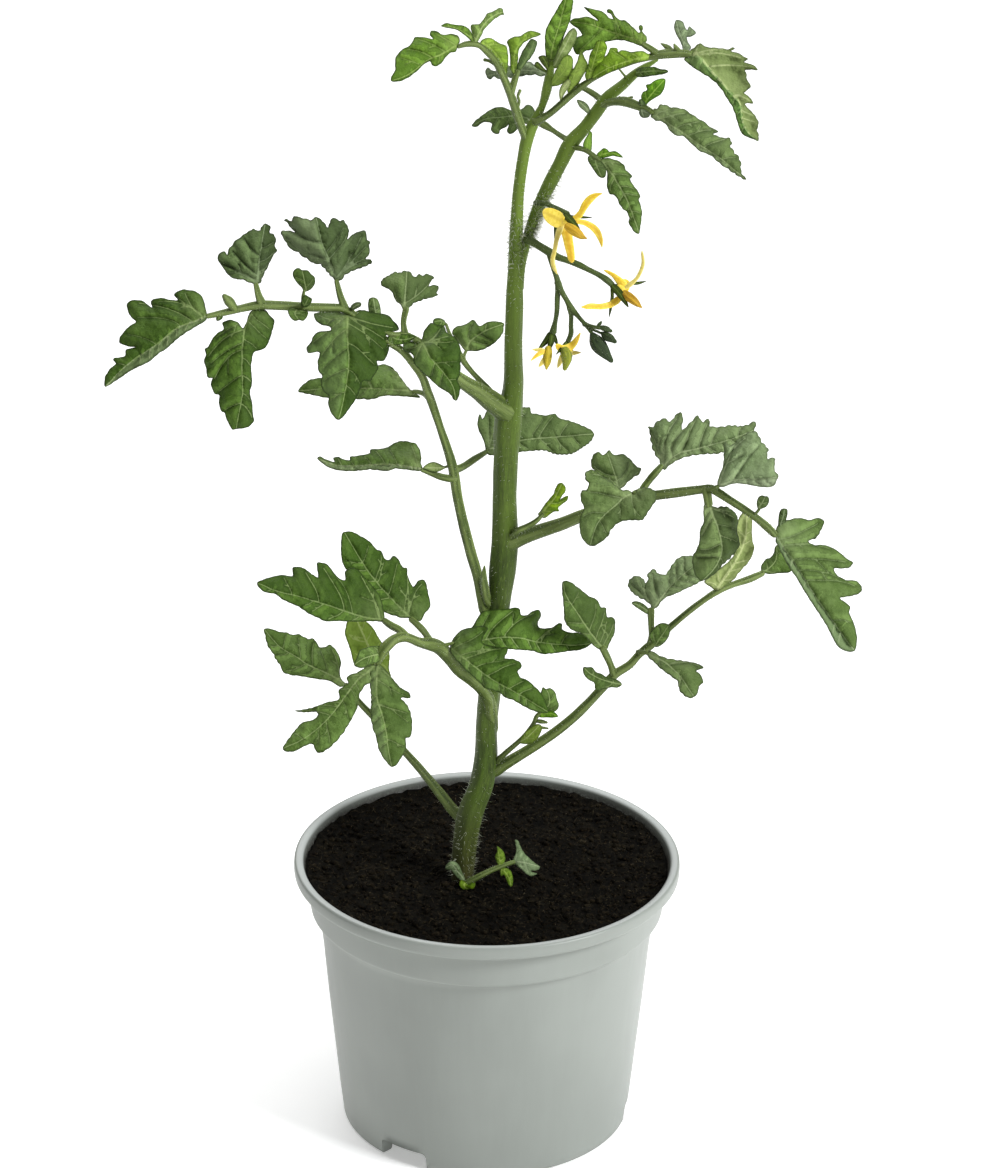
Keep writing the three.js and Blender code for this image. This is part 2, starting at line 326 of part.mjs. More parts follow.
    a: [[-2.9,2.1]],
    b: [[-1.6,3.3],[0.8,0.9]] },
  { at: [34.8, -10.8, 274.9], fold: [-0.25, -0.25], mid: [[0.2,4.5,2.9],[0.3,1.3,1.3],[-0.5,-4.6,-3.5]],
    a: [[-0.2,1.3]],
    b: [[0.8,1.3]] },
  { at: [40.3, -10.4, 280.3], fold: [-0.25, -0.25], mid: [[-5,-0.5,1.7],[-2.4,-0.7,0.7],[4.6,0.9,-1.4]],
    a: [[-2.4,-1.2]],
    b: [[0.4,0.4]] },
  { at: [15.8, -11, 262.6], fold: [-0.25, -0.25], mid: [[1.8,2.7,-0.1],[0.3,0,-0.1],[-2.2,-2.8,0.1]],
    a: [[1,2.6]],
    b: [[2.2,1.9],[1,-0.5]] },
  { at: [17.4, -11.7, 262.6], fold: [-0.25, -0.25], mid: [[0.5,2.9,-0.8],[0.1,0,0.3],[-0.7,-2.9,0.3]],
    a: [[-0.3,2.6],[-0.8,0.2]],
    b: [[1.2,2.4],[1.1,-0.2]] },
  { at: [18.7, -9.6, 263], fold: [-0.25, -0.25], mid: [[-0.9,1.8,1.1],[0.3,-0.8,-0.5],[0.9,-2.5,-1.6]],
    a: [[-0.2,-0.9]],
    b: [[0,1.3]] },
  { at: [20.8, -14.4, 261.9], fold: [-0.25, -0.25], mid: [[1.6,1.9,-1.9],[0.2,0.2,-0.2],[-1.8,-2,2]],
    a: [[-0.2,0.5]],
    b: [[0.6,-0.2]] },
  { at: [23.2, -11.3, 260.2], fold: [-0.25, -0.25], mid: [[-0.7,2.1,1.6],[0.2,0.1,0],[0.5,-2.2,-1.7]],
    a: [[-0.4,0]],
    b: [[0.7,0.3]] },
 ],
},
base_sprout: {
 tubes: [
  [[-7, -11.5, 84.3, 1.08], [-5.2, -12.5, 85.9, 1.00], [-2.1, -12.5, 87.6, 0.93], [4.1, -10.5, 89.8, 0.77], [8.4, -8.5, 90.5, 0.62]],
 ],
 blades: [
  { at: [3.7, -9.6, 92.5], fold: [-0.3, -0.3], mid: [[0.4,-3.1,-0.6],[0,0.9,0.1],[-0.6,3.6,0.7]],
    a: [[-1.2,0.6]],
    b: [[1.3,-2.5],[1.9,0.6]] },
  { at: [6, -12.4, 87.6], fold: [-0.3, 0.3], mid: [[-1.9,2.5,-0.8],[0.9,-0.5,0.3],[1.5,-3.3,0.6]],
    a: [[1.2,1.9],[2.1,-1.1]],
    b: [[-1.6,0.1],[-0.7,0.4]] },
  { at: [12.2, -8.5, 90], fold: [-0.45, 0.2], mid: [[-3.8,0.5,0.3],[-1.6,0.5,0.3],[4.2,-1,-0.6]],
    a: [[-3.6,7.3],[-2.7,7],[-0.5,3]],
    b: [[1.2,-3.8],[3.3,-3.2],[1.5,-2.3],[3.6,-1.9]] },
  { at: [-9.1, -12.2, 88.2], fold: [-0.3, 0.3], mid: [[2.7,-2.8,-1.9],[-1.6,2.7,1.7],[-3.8,1.8,1.2]],
    a: [[0.2,3],[-1.3,3.9],[-2.9,3.3]],
    b: [[-1.9,1.1]] },
  { at: [-6.1, -14.6, 85.3], fold: [-0.3, 0.3], mid: [[0,1.2,-2.3],[-0.9,0.2,0.1],[-0.3,-0.7,0.6],[1,-1,1.6]],
    a: [[-1.8,1.8],[-2.4,0.5],[-0.6,-1.3]],
    b: [[1.6,2.4],[2.5,1.2],[1.9,-1]] },
 ],
},
flower1_corolla: {
 tubes: [
  [[20.2, -10, 299.6, 0.86], [21.6, -10, 298.9, 1.01], [22.8, -10.5, 298.5, 0.58]],
 ],
 blades: [
  { at: [17.8, -13.4, 301.5], fold: [-0.3, -0.3], mid: [[3.2,-1.3,-4],[-1.1,0.4,1.4],[-3.3,1.4,4.3]],
    a: [[2.3,1],[0.9,1.9],[-2.6,2.2]],
    b: [[2.7,-2.7],[0.7,-3.1],[-1.4,-2.2]] },
  { at: [26, -9.2, 302.5], fold: [-0.3, -0.3], mid: [[-4.3,-3.7,-0.3],[-0.9,-1.8,-0.3],[2.7,3.4,0.3],[5.8,4.5,0.1]],
    a: [[-1.2,-0.8],[1.6,3.7]],
    b: [[-0.3,-2.6],[2.8,1.9]] },
  { at: [28.3, -7.4, 295.2], fold: [-0.3, -0.3], mid: [[-6.3,2.8,3.9],[-1.7,2.4,1.9],[1.2,0.9,0.1],[3,-1.4,-1.8],[3.6,-4.8,-4.2]],
    a: [[-1.4,3.1],[1.2,2],[3,0.3]],
    b: [[-1.7,1.6],[0.7,0]] },
  { at: [22.3, -11, 292.7], fold: [-0.3, -0.3], mid: [[-0.9,6,1],[0.3,-2,-0.3],[1,-5.7,-0.9]],
    a: [[-2.4,4.3],[-0.8,-2.6]],
    b: [[0.5,4.3],[1.1,0.9],[1.7,-4.8]] },
  { at: [19.1, -12, 291.6], fold: [-0.3, -0.3], mid: [[1.9,7.9,0.5],[-0.4,2.2,0.1],[-1.5,-3.5,-0.2],[0,-7.7,-0.5]],
    a: [[-0.1,6.2],[-2.1,-3.6],[-1.5,-6.1]],
    b: [[-0.8,-3.5]] },
 ],
},
flower2_corolla: {
 tubes: [
  [[36.8, -12.7, 280.2, 0.87], [38.8, -13.5, 278.4, 0.58]],
 ],
 blades: [
  { at: [35.4, -12, 282.5], fold: [-0.3, -0.3], mid: [[2.4,-2.8,-0.1],[1.2,-0.5,0.1],[-3,2.3,-0.2]],
    a: [[-0.5,0.3]],
    b: [[3.9,-1.3],[0,1.5]] },
  { at: [38.7, -12.5, 280.6], fold: [-0.3, -0.3], mid: [[-1.2,-1.2,0.1],[0,0,0],[1.1,1.2,-0.1]],
    a: [[-1.8,0.8],[-0.1,1.7]],
    b: [[0.3,-2.3],[1.4,-0.5]] },
  { at: [41.9, -11.5, 284.3], fold: [-0.3, -0.3], mid: [[-3.7,-5,0],[0.8,-0.9,-0.2],[1.9,2.3,0.1],[1.5,6.2,0.5]],
    a: [[0.5,-0.2]],
    b: [[-1.7,-4.5],[1.4,-0.9],[2.4,2]] },
  { at: [33, -15.3, 276.5], fold: [-0.3, -0.3], mid: [[5.2,3,-1.3],[1.9,-0.7,-1],[-0.9,-1.5,0],[-7,-1.7,2.5]],
    a: [[1.1,0]],
    b: [[4.5,0.2],[2.5,-1.4],[-0.3,-2.3]] },
 ],
},
flower1_anther_cone: {
 tubes: [
  [[21.6, -13, 298.5, 1.01], [24.8, -15, 297, 1.22], [26.9, -16, 296, 0.32]],
 ],
},
flower2_anther_cone: {
 tubes: [
  [[38.4, -15, 279, 0.94], [39.5, -16, 278.3, 1.30], [41.2, -17, 277.3, 1.15], [43.2, -18, 275.9, 0.29]],
 ],
},
flower3_corolla: {
 tubes: [
  [[16.8, -13.5, 261.4, 0.95], [16.5, -14.5, 258.4, 1.24], [16.3, -15, 257, 0.95], [16.3, -15, 255.8, 0.36]],
 ],
 blades: [
  { at: [14, -15.4, 260], fold: [-0.3, -0.3], mid: [[2.6,1.1,-1.3],[-0.4,0,-0.1],[-2.4,-1.9,1]],
    a: [[-0.6,0.6]],
    b: [[-0.2,-0.7]] },
  { at: [14.4, -14.4, 261], fold: [-0.3, -0.3], mid: [[2.2,-0.2,-0.7],[0.2,0.1,0.1],[-2.4,0.2,0.7]],
    a: [[0.5,0.7]],
    b: [[-1.5,-0.2]] },
  { at: [15.3, -15.1, 258], fold: [-0.3, -0.3], mid: [[1.4,2,-0.4],[-0.1,-0.1,-0.1],[-1.4,-1.8,0.3]],
    a: [[0.2,1.4]],
    b: [[1.1,0.2]] },
 ],
},
flower4_corolla: {
 tubes: [
  [[21.4, -15, 261.4, 1.31], [22, -16, 260.2, 1.60], [21.8, -17, 257, 0.80]],
 ],
 blades: [
  { at: [23.8, -14, 263.3], fold: [-0.3, -0.3], mid: [[-2.8,-2.5,0.3],[-0.5,-1,-1],[2.2,3,1]],
    a: [[-4,-0.8],[-2.2,-0.7]],
    b: [[-1.9,-3.6],[-0.5,-2.6],[1,-1]] },
  { at: [20.2, -14.8, 262], fold: [-0.3, -0.3], mid: [[1.4,-0.7,0],[-0.1,-0.1,-0.3],[-1.4,0.8,0.5]],
    a: [[0.5,0.8]],
    b: [[0.2,-1.2],[-0.9,-0.7]] },
  { at: [20.4, -14.4, 258], fold: [-0.3, -0.3], mid: [[0.9,2.4,1.8],[0.1,0,-0.7],[-0.9,-2.3,-1.3]],
    a: [[-0.2,1.5]],
    b: [[0.9,0.3]] },
  { at: [24, -13.3, 260.1], fold: [-0.3, -0.3], mid: [[-2.1,0.3,2.3],[-0.1,-0.2,-0.9],[2.3,-0.1,-1.4]],
    a: [[1.1,0.3]],
    b: [[-0.6,-0.8]] },
 ],
},
leaf1_leaflet_tip: {
 blades: [
  { at: [-57, 33.4, 138.8], fold: [-0.7, 0.5], mid: [[12,-7.5,3.3],[-8.5,4.7,-2.4],[-13.5,10.4,-3.3]],
    a: [[9.4,2.9],[7.2,5.1],[4.1,4.4],[2.2,7.1]],
    b: [[-7.6,-3.2],[-12.2,5.1]] },
 ],
},
leaf1_leaflet_side: {
 blades: [
  { at: [-38.9, 28.1, 150.2], fold: [-0.2, -0.2], mid: [[4,-10,-0.9],[0,0,0],[-3.7,9.3,0.9]],
    a: [[-2.9,-9],[-6,1]],
    b: [[8.3,-12.9],[7.7,-5.1]] },
 ],
},
leaf2_leaflet_left_lower: {
 blades: [
  { at: [-49, -26.4, 185.1], fold: [-0.75, 0.75], mid: [[18,-5.1,-2.9],[-1.7,0.6,0.3],[-19.3,6.3,3.5]],
    a: [[17,1.9],[8.8,10.6],[6.7,9.4],[6.6,7],[-0.7,12.3],[-1.4,7.8],[-8.2,11],[-8.9,8.3]],
    b: [[0.6,-5.1],[-17,3.7]] },
 ],
},
leaf2_leaflet_left_upper: {
 blades: [
  { at: [-33.7, -9.2, 186.2], fold: [0.5, -0.75], mid: [[10.2,-12.1,2.5],[-1.1,-0.1,-0.3],[-9.7,13.8,-2.2]],
    a: [[1.9,-9.9],[-9.4,3],[-10.6,8.3]],
    b: [[13,-13],[16,-8.9],[14.3,-0.8],[10.9,-2.8],[9.2,2.9],[6.5,5.6],[2.6,5.6],[-1.9,10.8]] },
 ],
},
leaf2_leaflet_end_left: {
 blades: [
  { at: [-44.4, -42.1, 160], fold: [-0.45, 0.45], mid: [[11.6,11.2,-0.9],[6.2,6.8,-0.4],[-3,-4.8,-0.2],[-9.5,-10.1,0.5],[-16.1,-13.2,1.7]],
    a: [[3,7.8],[0.6,1.3],[-12.4,-2.1],[-5.6,-3.3],[-10.1,-5.5]],
    b: [[3.8,-5.5],[-2.2,-12.8],[-5.1,-14.5],[-7.3,-11.8],[-12.4,-13.8]] },
 ],
},
leaf2_leaflet_end_down: {
 blades: [
  { at: [-30.8, -41.7, 156.4], fold: [-0.5, -0.35], mid: [[-1.5,14.8,0.7],[-1.7,4.2,0.6],[2.5,-15.6,-1.4]],
    a: [[-3.9,9.6],[-3.3,-3.1],[-1.3,-10.5]],
    b: [[7.9,6],[7.9,4.8],[5.3,4.8],[8.2,-0.2],[7.9,-6.7]] },
 ],
},
leaf2_leaflet_right_upper: {
 blades: [
  { at: [10, -7.4, 164.8], fold: [-0.35, 0.6], mid: [[-20.6,-0.6,7.1],[-6.5,1.2,4.5],[-0.5,1.1,2.3],[11.6,-0.7,-5.2],[21.4,-0.2,-10.5]],
    a: [[-12.1,8.8],[-1.5,10.3],[-0.3,8.1],[5.1,9.7],[5.2,4.3],[11.3,5.8],[12.2,4],[17.7,2.8]],
    b: [[6.5,-3.7],[17.7,-2.3]] },
 ],
},
leaf2_leaflet_right_lower: {
 blades: [
  { at: [1.9, -24.2, 160.4], fold: [-0.45, 0.5], mid: [[-13.4,9.2,-7],[-8.9,5.6,-2],[-1.4,0,-0.2],[16,-9.9,6.2]],
    a: [[-9.9,14.4],[-2.1,15],[-3.8,10.8],[3.7,9.2],[2.8,6],[7.6,4.7],[7.6,0.4],[13.9,-4.3]],
    b: [[-2.8,-3],[12.7,-10]] },
 ],
},
leaf3_leaflet_first: {
 blades: [
  { at: [28.4, -9.2, 173.2], fold: [0.3, -0.5], mid: [[6.5,-9.2,-9.2],[-5.3,7.2,6.9],[-6.2,11,10.3]],
    a: [[-5.4,-0.9]],
    b: [[9.4,-4.3],[9.5,-0.1],[7.2,0.8],[6.7,3.5],[3.7,6.2]] },
 ],
},
leaf3_leaflet_lower: {
 blades: [
  { at: [55.2, -12.2, 157.2], fold: [-0.7, 0.7], mid: [[-7.5,5.5,-7.2],[-2.3,3.1,-2.5],[2.6,-1,2.1],[7,-7.1,7.2]],
    a: [[-6.3,6.3],[9.7,1.8],[7.4,0.7],[9.6,-2.9]],
    b: [[2.1,-2.8],[4,-6.6]] },
 ],
},
leaf3_leaflet_upper: {
 blades: [
  { at: [56.4, 6.8, 177.8], fold: [-0.3, -0.4], mid: [[-6.5,-7.8,2.2],[-2,-1.3,0.7],[8.1,7.8,-2.7]],
    a: [[-13.1,-2.4],[-13.9,0.8],[-11.6,2.4],[-8.8,0.3],[-7.3,4.3],[-2.8,3.2],[2.6,8.8]],
    b: [[-2.9,-4.1],[8.2,1.7]] },
 ],
},
leaf3_leaflet_upright: {
 blades: [
  { at: [74.3, 14.6, 183.5], fold: [-0.3, -0.3], mid: [[-4.5,-9.9,0.9],[1.5,0.7,-0.4],[3.7,6.8,-0.3],[3.8,14.8,0.1]],
    a: [[-8.6,-7.6],[0.6,1.8],[0.6,9.2]],
    b: [[-0.6,-7.7],[5.2,-0.5],[6.3,3.2]] },
 ],
},
leaf4_leaflet_tip: {
 blades: [
  { at: [96.2, -28.1, 190.4], fold: [-0.6, 0.9], mid: [[-12.3,16.6,-0.5],[1.2,-2,0],[12.1,-16.2,0.4]],
    a: [[-10.7,20.9],[-0.5,22.6],[1.6,21.8],[0.9,19.1],[-2.8,15.6],[5.6,13.3],[10.8,9.7],[5.2,7.7],[13.7,2.4],[13.2,0.9],[7.3,-0.8],[10.4,-3.4],[12.8,-13]],
    b: [[-9.4,9.9],[7.3,-15.1]] },
 ],
},
leaf4_leaflet_over_stalk: {
 blades: [
  { at: [36.1, -15.4, 210.5], fold: [-0.4, 0.3], mid: [[6.5,6,-1.4],[3.9,4.7,-0.7],[-4,-3.1,0.9],[-6.2,-9.9,1.1]],
    a: [[-5.8,12.6],[-7.9,11.9],[-6.9,8.4],[-9,6.3],[-9.2,-5.3]],
    b: [[8.2,7.5],[12.4,7],[13,5.2],[9,-2],[2.5,-2.7],[-3,-8.7]] },
 ],
},
leaf4_leaflet_up_small: {
 blades: [
  { at: [36.9, 5.1, 215.4], fold: [-0.4, -0.5], mid: [[1.6,-5.5,2.1],[0.9,-1.9,0.2],[-2,5.8,-1.8]],
    a: [[-0.8,-5],[-6.7,2.1],[-5.9,5.1]],
    b: [[8.4,0.9],[2.5,5.3]] },
 ],
},
leaf4_leaflet_up: {
 blades: [
  { at: [65.1, -0.8, 226.1], fold: [-0.6, 0.5], mid: [[-13.8,-6.5,2.8],[-9.1,-2.5,3],[13.2,5.2,-3.9]],
    a: [[-18.4,5.2],[-13.1,7.8],[-11.9,6.9],[-8.9,10],[-8.2,4.6],[-3.6,8.9],[-2.3,7.2],[-0.3,8.1],[0.1,6.1],[3.1,5.8],[13.1,7.9]],
    b: [[-13.1,-7.4],[-5.6,-3],[6.2,-0.9],[12.7,3.1]] },
 ],
},
leaf4_leaflet_end_up: {
 blades: [
  { at: [75, -20.8, 223.3], fold: [-0.45, 0.6], mid: [[-8.1,-1.9,-3.2],[-3.1,0.1,-0.9],[9.4,1.4,3.3]],
    a: [[-6.5,11.2],[-5,10],[0.8,14.3],[2.5,14.4],[6.2,9.5],[6,6.8],[8.3,6.6]],
    b: [[8,-1.3]] },
 ],
},
leaf4_leaflet_hanging: {
 blades: [
  { at: [66.6, -15, 200.9], fold: [-0.3, -0.55], mid: [[-1.8,11.8,6.1],[2.5,-2,-1.1],[1.4,-5.6,-2.9],[-3.2,-11.4,-5.7]],
    a: [[-3.1,11.4],[-6.2,-4.2],[-5,-10]],
    b: [[5.7,9.4],[7.7,-0.1],[1.8,-7.8]] },
 ],
},
leaf4_shoot_leaf: {
 blades: [
  { at: [18.6, -8.6, 211.9], fold: [-0.3, -0.4], mid: [[-3.6,-5.1,-9.2],[-1.5,-2.4,-1.1],[2.8,4.8,5.6]],
    a: [[-0.7,0.3]],
    b: [[2,-3.5],[4.7,0.1],[2.3,-0.1],[4,3.3]] },
 ],
},
leaf5_leaflet_tip: {
 blades: [
  { at: [-94.7, -26.6, 266.6], fold: [-0.6, 0.9], mid: [[13.3,7.5,1.2],[5,4.5,0.9],[-9.1,-5.2,-0.9],[-16.4,-12.1,-2.4]],
    a: [[12.1,13],[10.1,14.8],[5,14.7],[5.2,12.3],[-2.3,12.5],[-2.4,10.3],[-4.9,12.3],[-8.6,12.4],[-9.4,9.8],[-7.1,6.3],[-12,0.5],[-7.5,-1.1],[-13.7,-3.9],[-13.1,-5.7],[-16.4,-9.6]],
    b: [[-3.3,-5]] },
 ],
},
leaf5_leaflet_back_left: {
 blades: [
  { at: [-66.6, -14.6, 288.9], fold: [-0.3, -0.5], mid: [[-1,-7.8,3],[-0.4,-1.5,0.6],[1.6,9.4,-3.7]],
    a: [[-8.5,-5.7],[-12.2,-0.8],[-7.5,4.4]],
    b: [[4.9,1.9],[3,8.9]] },
 ],
},
leaf5_leaflet_down_left: {
 blades: [
  { at: [-71.2, -27.7, 259.4], fold: [-0.45, -0.4], mid: [[3.1,16.9,-1.3],[0.8,11.7,0.4],[-0.3,-6.7,0.3],[-2.4,-17.3,0.1]],
    a: [[0.2,11.7],[-3.5,14.1],[-5.7,13.3],[-5.3,11.5],[-10.9,5.9],[-10.2,-2.4],[-8.9,-2.5],[-6.3,-12.3]],
    b: [[6.6,16.8],[9.2,13.9],[7.6,7.9],[3.2,4.8],[2.6,2.5],[2.9,-15.1]] },
 ],
},
leaf5_leaflet_back_mid: {
 blades: [
  { at: [-47.9, -7.3, 288.5], fold: [-0.4, -0.35], mid: [[3,-8.8,4.2],[-1.2,2.2,-1.2],[-2.9,9.8,-4.5]],
    a: [[-1.3,-4.4],[-10.2,0.4],[-13.1,4.9],[-9,5.5],[-11.6,9.2]],
    b: [[12.9,-3.7],[11.5,-2.5],[12.7,2.4],[11.3,5.6],[6.2,3.3],[5,8.8],[2.4,9.4],[0.6,6.7]] },
 ],
},
leaf5_leaflet_down_mid: {
 blades: [
  { at: [-41.9, -25.8, 258.9], fold: [-0.4, -0.4], mid: [[0.8,16.2,-5.5],[0.8,11.2,-0.7],[0.7,-2.3,0.8],[-2.2,-14.6,2.1]],
    a: [[-8.9,16],[-4,11.3],[-7.8,10.7],[-11,6.3],[-10.7,4.7],[-7.2,4.7],[-7,-4]],
    b: [[5.3,17.1],[12.3,15.6],[15.7,11.5],[11.6,9.2],[12.4,4.6],[10.9,2.3],[9.2,2.3],[8,-2.3],[5.1,-3.5],[3.3,-8.1]] },
 ],
},
leaf5_leaflet_behind: {
 blades: [
  { at: [-39.6, 6.3, 240.4], fold: [-0.7, 0.6], mid: [[16.4,-0.6,6.1],[-5.2,0.5,-1.8],[-17.8,-0.3,-7]],
    a: [[8.8,7.3],[-14.2,3]],
    b: [[18.4,-2.2],[-5.2,-2.7]] },
 ],
},
leaf5_leaflet_right: {
 blades: [
  { at: [14.1, 13, 222], fold: [-0.5, 0.5], mid: [[-15.3,-3,3.8],[-4,0.1,1.3],[17.1,2.2,-4.7]],
    a: [[-18,4.2],[-17.3,7.8],[-16.6,6.3],[-15.1,8.7],[-11.9,9.4],[-2.3,9.8],[-2,8.3],[5.3,8.1]],
    b: [[-14.4,-4.5],[2.4,-3],[10.2,-3.9]] },
 ],
},
leaf5_leaflet_left: {
 blades: [
  { at: [-37, 7.2, 216], fold: [-0.9, 0.9], mid: [[16.5,-1.5,6.7],[5.4,0.2,2.5],[-6.6,-0.3,-3.1],[-15,2.1,-6]],
    a: [[15.7,5],[10.6,7.1],[-5.1,1.5]],
    b: [[-8.1,-1.7]] },
 ],
},
leaf6_leaflet_up: {
 blades: [
  { at: [-24.9, -9.6, 277.2], fold: [-0.5, -0.6], mid: [[-0.4,-5.5,2.8],[0.2,1.7,-0.8],[0.5,5.8,-2.8]],
    a: [[-7.1,1.7],[-3,5.5]],
    b: [[9.5,-1.2],[9.5,1.4],[6.9,1.4],[8.3,3.8],[6,4.9],[3.1,4]] },
 ],
},
leaf6_leaflet_front: {
 blades: [
  { at: [-15.1, -22.7, 258.4], fold: [-0.35, -0.3], mid: [[-5,7.7,-6.4],[-3.6,5.4,-0.6],[4.2,-5.5,2.6],[5.1,-9.6,3.2]],
    a: [[-2.2,13],[1.6,12.1],[5.7,7.5],[6.3,-5.5]],
    b: [[-10,7.5],[-10,5.1]] },
 ],
},
leaf6_leaflet_back: {
 blades: [
  { at: [-2.7, 6.3, 257.7], fold: [-0.6, 0.4], mid: [[-4.7,-4.4,2.9],[-0.6,0.6,0.3],[6.5,3.6,-3.6]],
    a: [[-8.9,1.1],[-7.7,2.6],[-2.4,4.7],[-0.9,3]],
    b: [[3.9,-1.9]] },
 ],
},
leaf8_leaflet_tip: {
 blades: [
  { at: [-18.5, -18.8, 348.4], fold: [-0.5, 0.6], mid: [[8.7,4.8,-5],[0.2,0.6,-0.2],[-10.1,-5.2,5.8]],
    a: [[8.7,7.4],[6.7,7.9],[1.1,8.8],[1.7,6.5],[-3.7,6.8],[-8.7,1.4]],
    b: [[2.8,-1],[0.8,0.3],[-5.1,-4.1]] },
 ],
},
leaf9_leaflet_back: {
 blades: [
  { at: [33.4, -2.7, 353], fold: [-0.5, 0.35], mid: [[9.4,-3.1,5.4],[-6.6,2.2,-3.8],[-11.7,2.7,-6.9]],
    a: [[8.9,2],[8,-0.1],[-0.5,6.6],[0.7,3.8],[-7.8,7],[-3.7,3.3],[-6.6,4.2]],
    b: [[-0.2,-2.4],[-9.8,-6.3],[-10.6,-3.2],[-8.2,-0.9]] },
 ],
},
leaf9_leaflet_low: {
 blades: [
  { at: [36.2, -10.1, 345.4], fold: [-0.3, 0.3], mid: [[9.3,2.7,0.7],[5.4,2.2,2.1],[-2.5,-0.3,-0.2],[-8.1,-3.6,-2.5]],
    a: [[-3.2,4.8]],
    b: [[0.3,-0.5]] },
 ],
},
leaf9_leaflet_tip: {
 blades: [
  { at: [65.6, -23.8, 341.2], fold: [-0.5, 0.4], mid: [[-10.6,10.9,-6.4],[-8,10.1,-4.7],[2.4,-0.8,1.9],[6.4,-10.5,3],[9.2,-12.6,4.3]],
    a: [[-7.9,14.2],[1.4,13.4],[0.9,12.3],[8.1,8],[5,7],[6.7,2.3],[4.9,0.6],[7.5,-2.2],[5.3,-2.4],[9.2,-7.6]],
    b: [[-12.3,9.7],[-1.3,1.3],[4.7,-10.7]] },
 ],
},
leaf10_leaflet_tip: {
 blades: [
  { at: [58.1, -10.8, 323], fold: [-0.55, 0.5], mid: [[-12.6,8.2,-5],[1.2,-0.5,0.4],[14.5,-10.1,5.8]],
    a: [[-10.6,10.6],[-4,9.6],[5.6,3.8],[4.8,2.7],[9.4,1.6]],
    b: [[-13.1,7.1],[-9,5.5],[-6.9,2.7]] },
 ],
},
leaf10_leaflet_hanging: {
 blades: [
  { at: [37.1, -9.3, 307.1], fold: [-0.5, 0.3], mid: [[-6.3,9.6,-2.3],[1.4,-1.1,0.3],[5.4,-11.3,2.1]],
    a: [[-1.1,9.4],[3,5.2],[5.4,-0.5]],
    b: [[-4.2,6.5],[-3.2,-0.1]] },
 ],
},
};

// ---- solids ----
function solidOf(geometry) {
  const g = geometry.clone();
  g.deleteAttribute('normal');
  g.deleteAttribute('uv');
  const m = mergeVertices(g, 1e-4);
  return new wasm.Manifold(new wasm.Mesh({
    numProp: 3,
    vertProperties: new Float32Array(m.attributes.position.array),
    triVerts: new Uint32Array(m.index.array),
  }));
}

function geometryOf(solid) {
  const mesh = solid.getMesh();
  const g = new THREE.BufferGeometry();
  const n = mesh.numProp;
  const count = mesh.vertProperties.length / n;
  const pos = new Float32Array(count * 3);
  for (let i = 0; i < count; i++) for (let k = 0; k < 3; k++) pos[i * 3 + k] = mesh.vertProperties[i * n + k];
  g.setAttribute('position', new THREE.BufferAttribute(pos, 3));
  g.setIndex(new THREE.BufferAttribute(new Uint32Array(mesh.triVerts), 1));
  g.computeVertexNormals();
  return g;
}

// A tapering round tube through points [x, y, z, radius], closed at both ends.
function tube(points, grow) {
  const P = points.map((p) => new THREE.Vector3(p[0], p[1], p[2]));
  const sides = Math.max(...points.map((p) => p[3])) < THIN_STALK ? 5 : STALK_SIDES;
  const pos = [];
  const index = [];
  let normal = null;
  for (let i = 0; i < P.length; i++) {
    const before = P[Math.max(i - 1, 0)];
    const after = P[Math.min(i + 1, P.length - 1)];
    const t = after.clone().sub(before).normalize();
    if (!normal) {
      normal = new THREE.Vector3(0, 1, 0);
      if (Math.abs(t.y) > 0.9) normal.set(1, 0, 0);
    }
    normal.addScaledVector(t, -normal.dot(t)).normalize();
    const side = new THREE.Vector3().crossVectors(t, normal);
    const r = points[i][3] + grow;
    const along = i === 0 ? -grow : i === P.length - 1 ? grow : 0;
    for (let k = 0; k < sides; k++) {
      const a = (k / sides) * Math.PI * 2;
      const v = P[i].clone().addScaledVector(t, along)
        .addScaledVector(normal, Math.cos(a) * r).addScaledVector(side, Math.sin(a) * r);
      pos.push(v.x, v.y, v.z);
    }
  }
  const last = (P.length - 1) * sides;
  for (let i = 0; i < P.length - 1; i++) {
    for (let k = 0; k < sides; k++) {
      const a = i * sides + k;
      const b = i * sides + ((k + 1) % sides);
      index.push(a, b, b + sides, a, b + sides, a + sides);
    }
  }
  for (let k = 1; k < sides - 1; k++) {
    index.push(0, k + 1, k);
    index.push(last, last + k, last + k + 1);
  }
  const g = new THREE.BufferGeometry();
  g.setAttribute('position', new THREE.Float32BufferAttribute(pos, 3));
  g.setIndex(index);
  return solidOf(g);
}

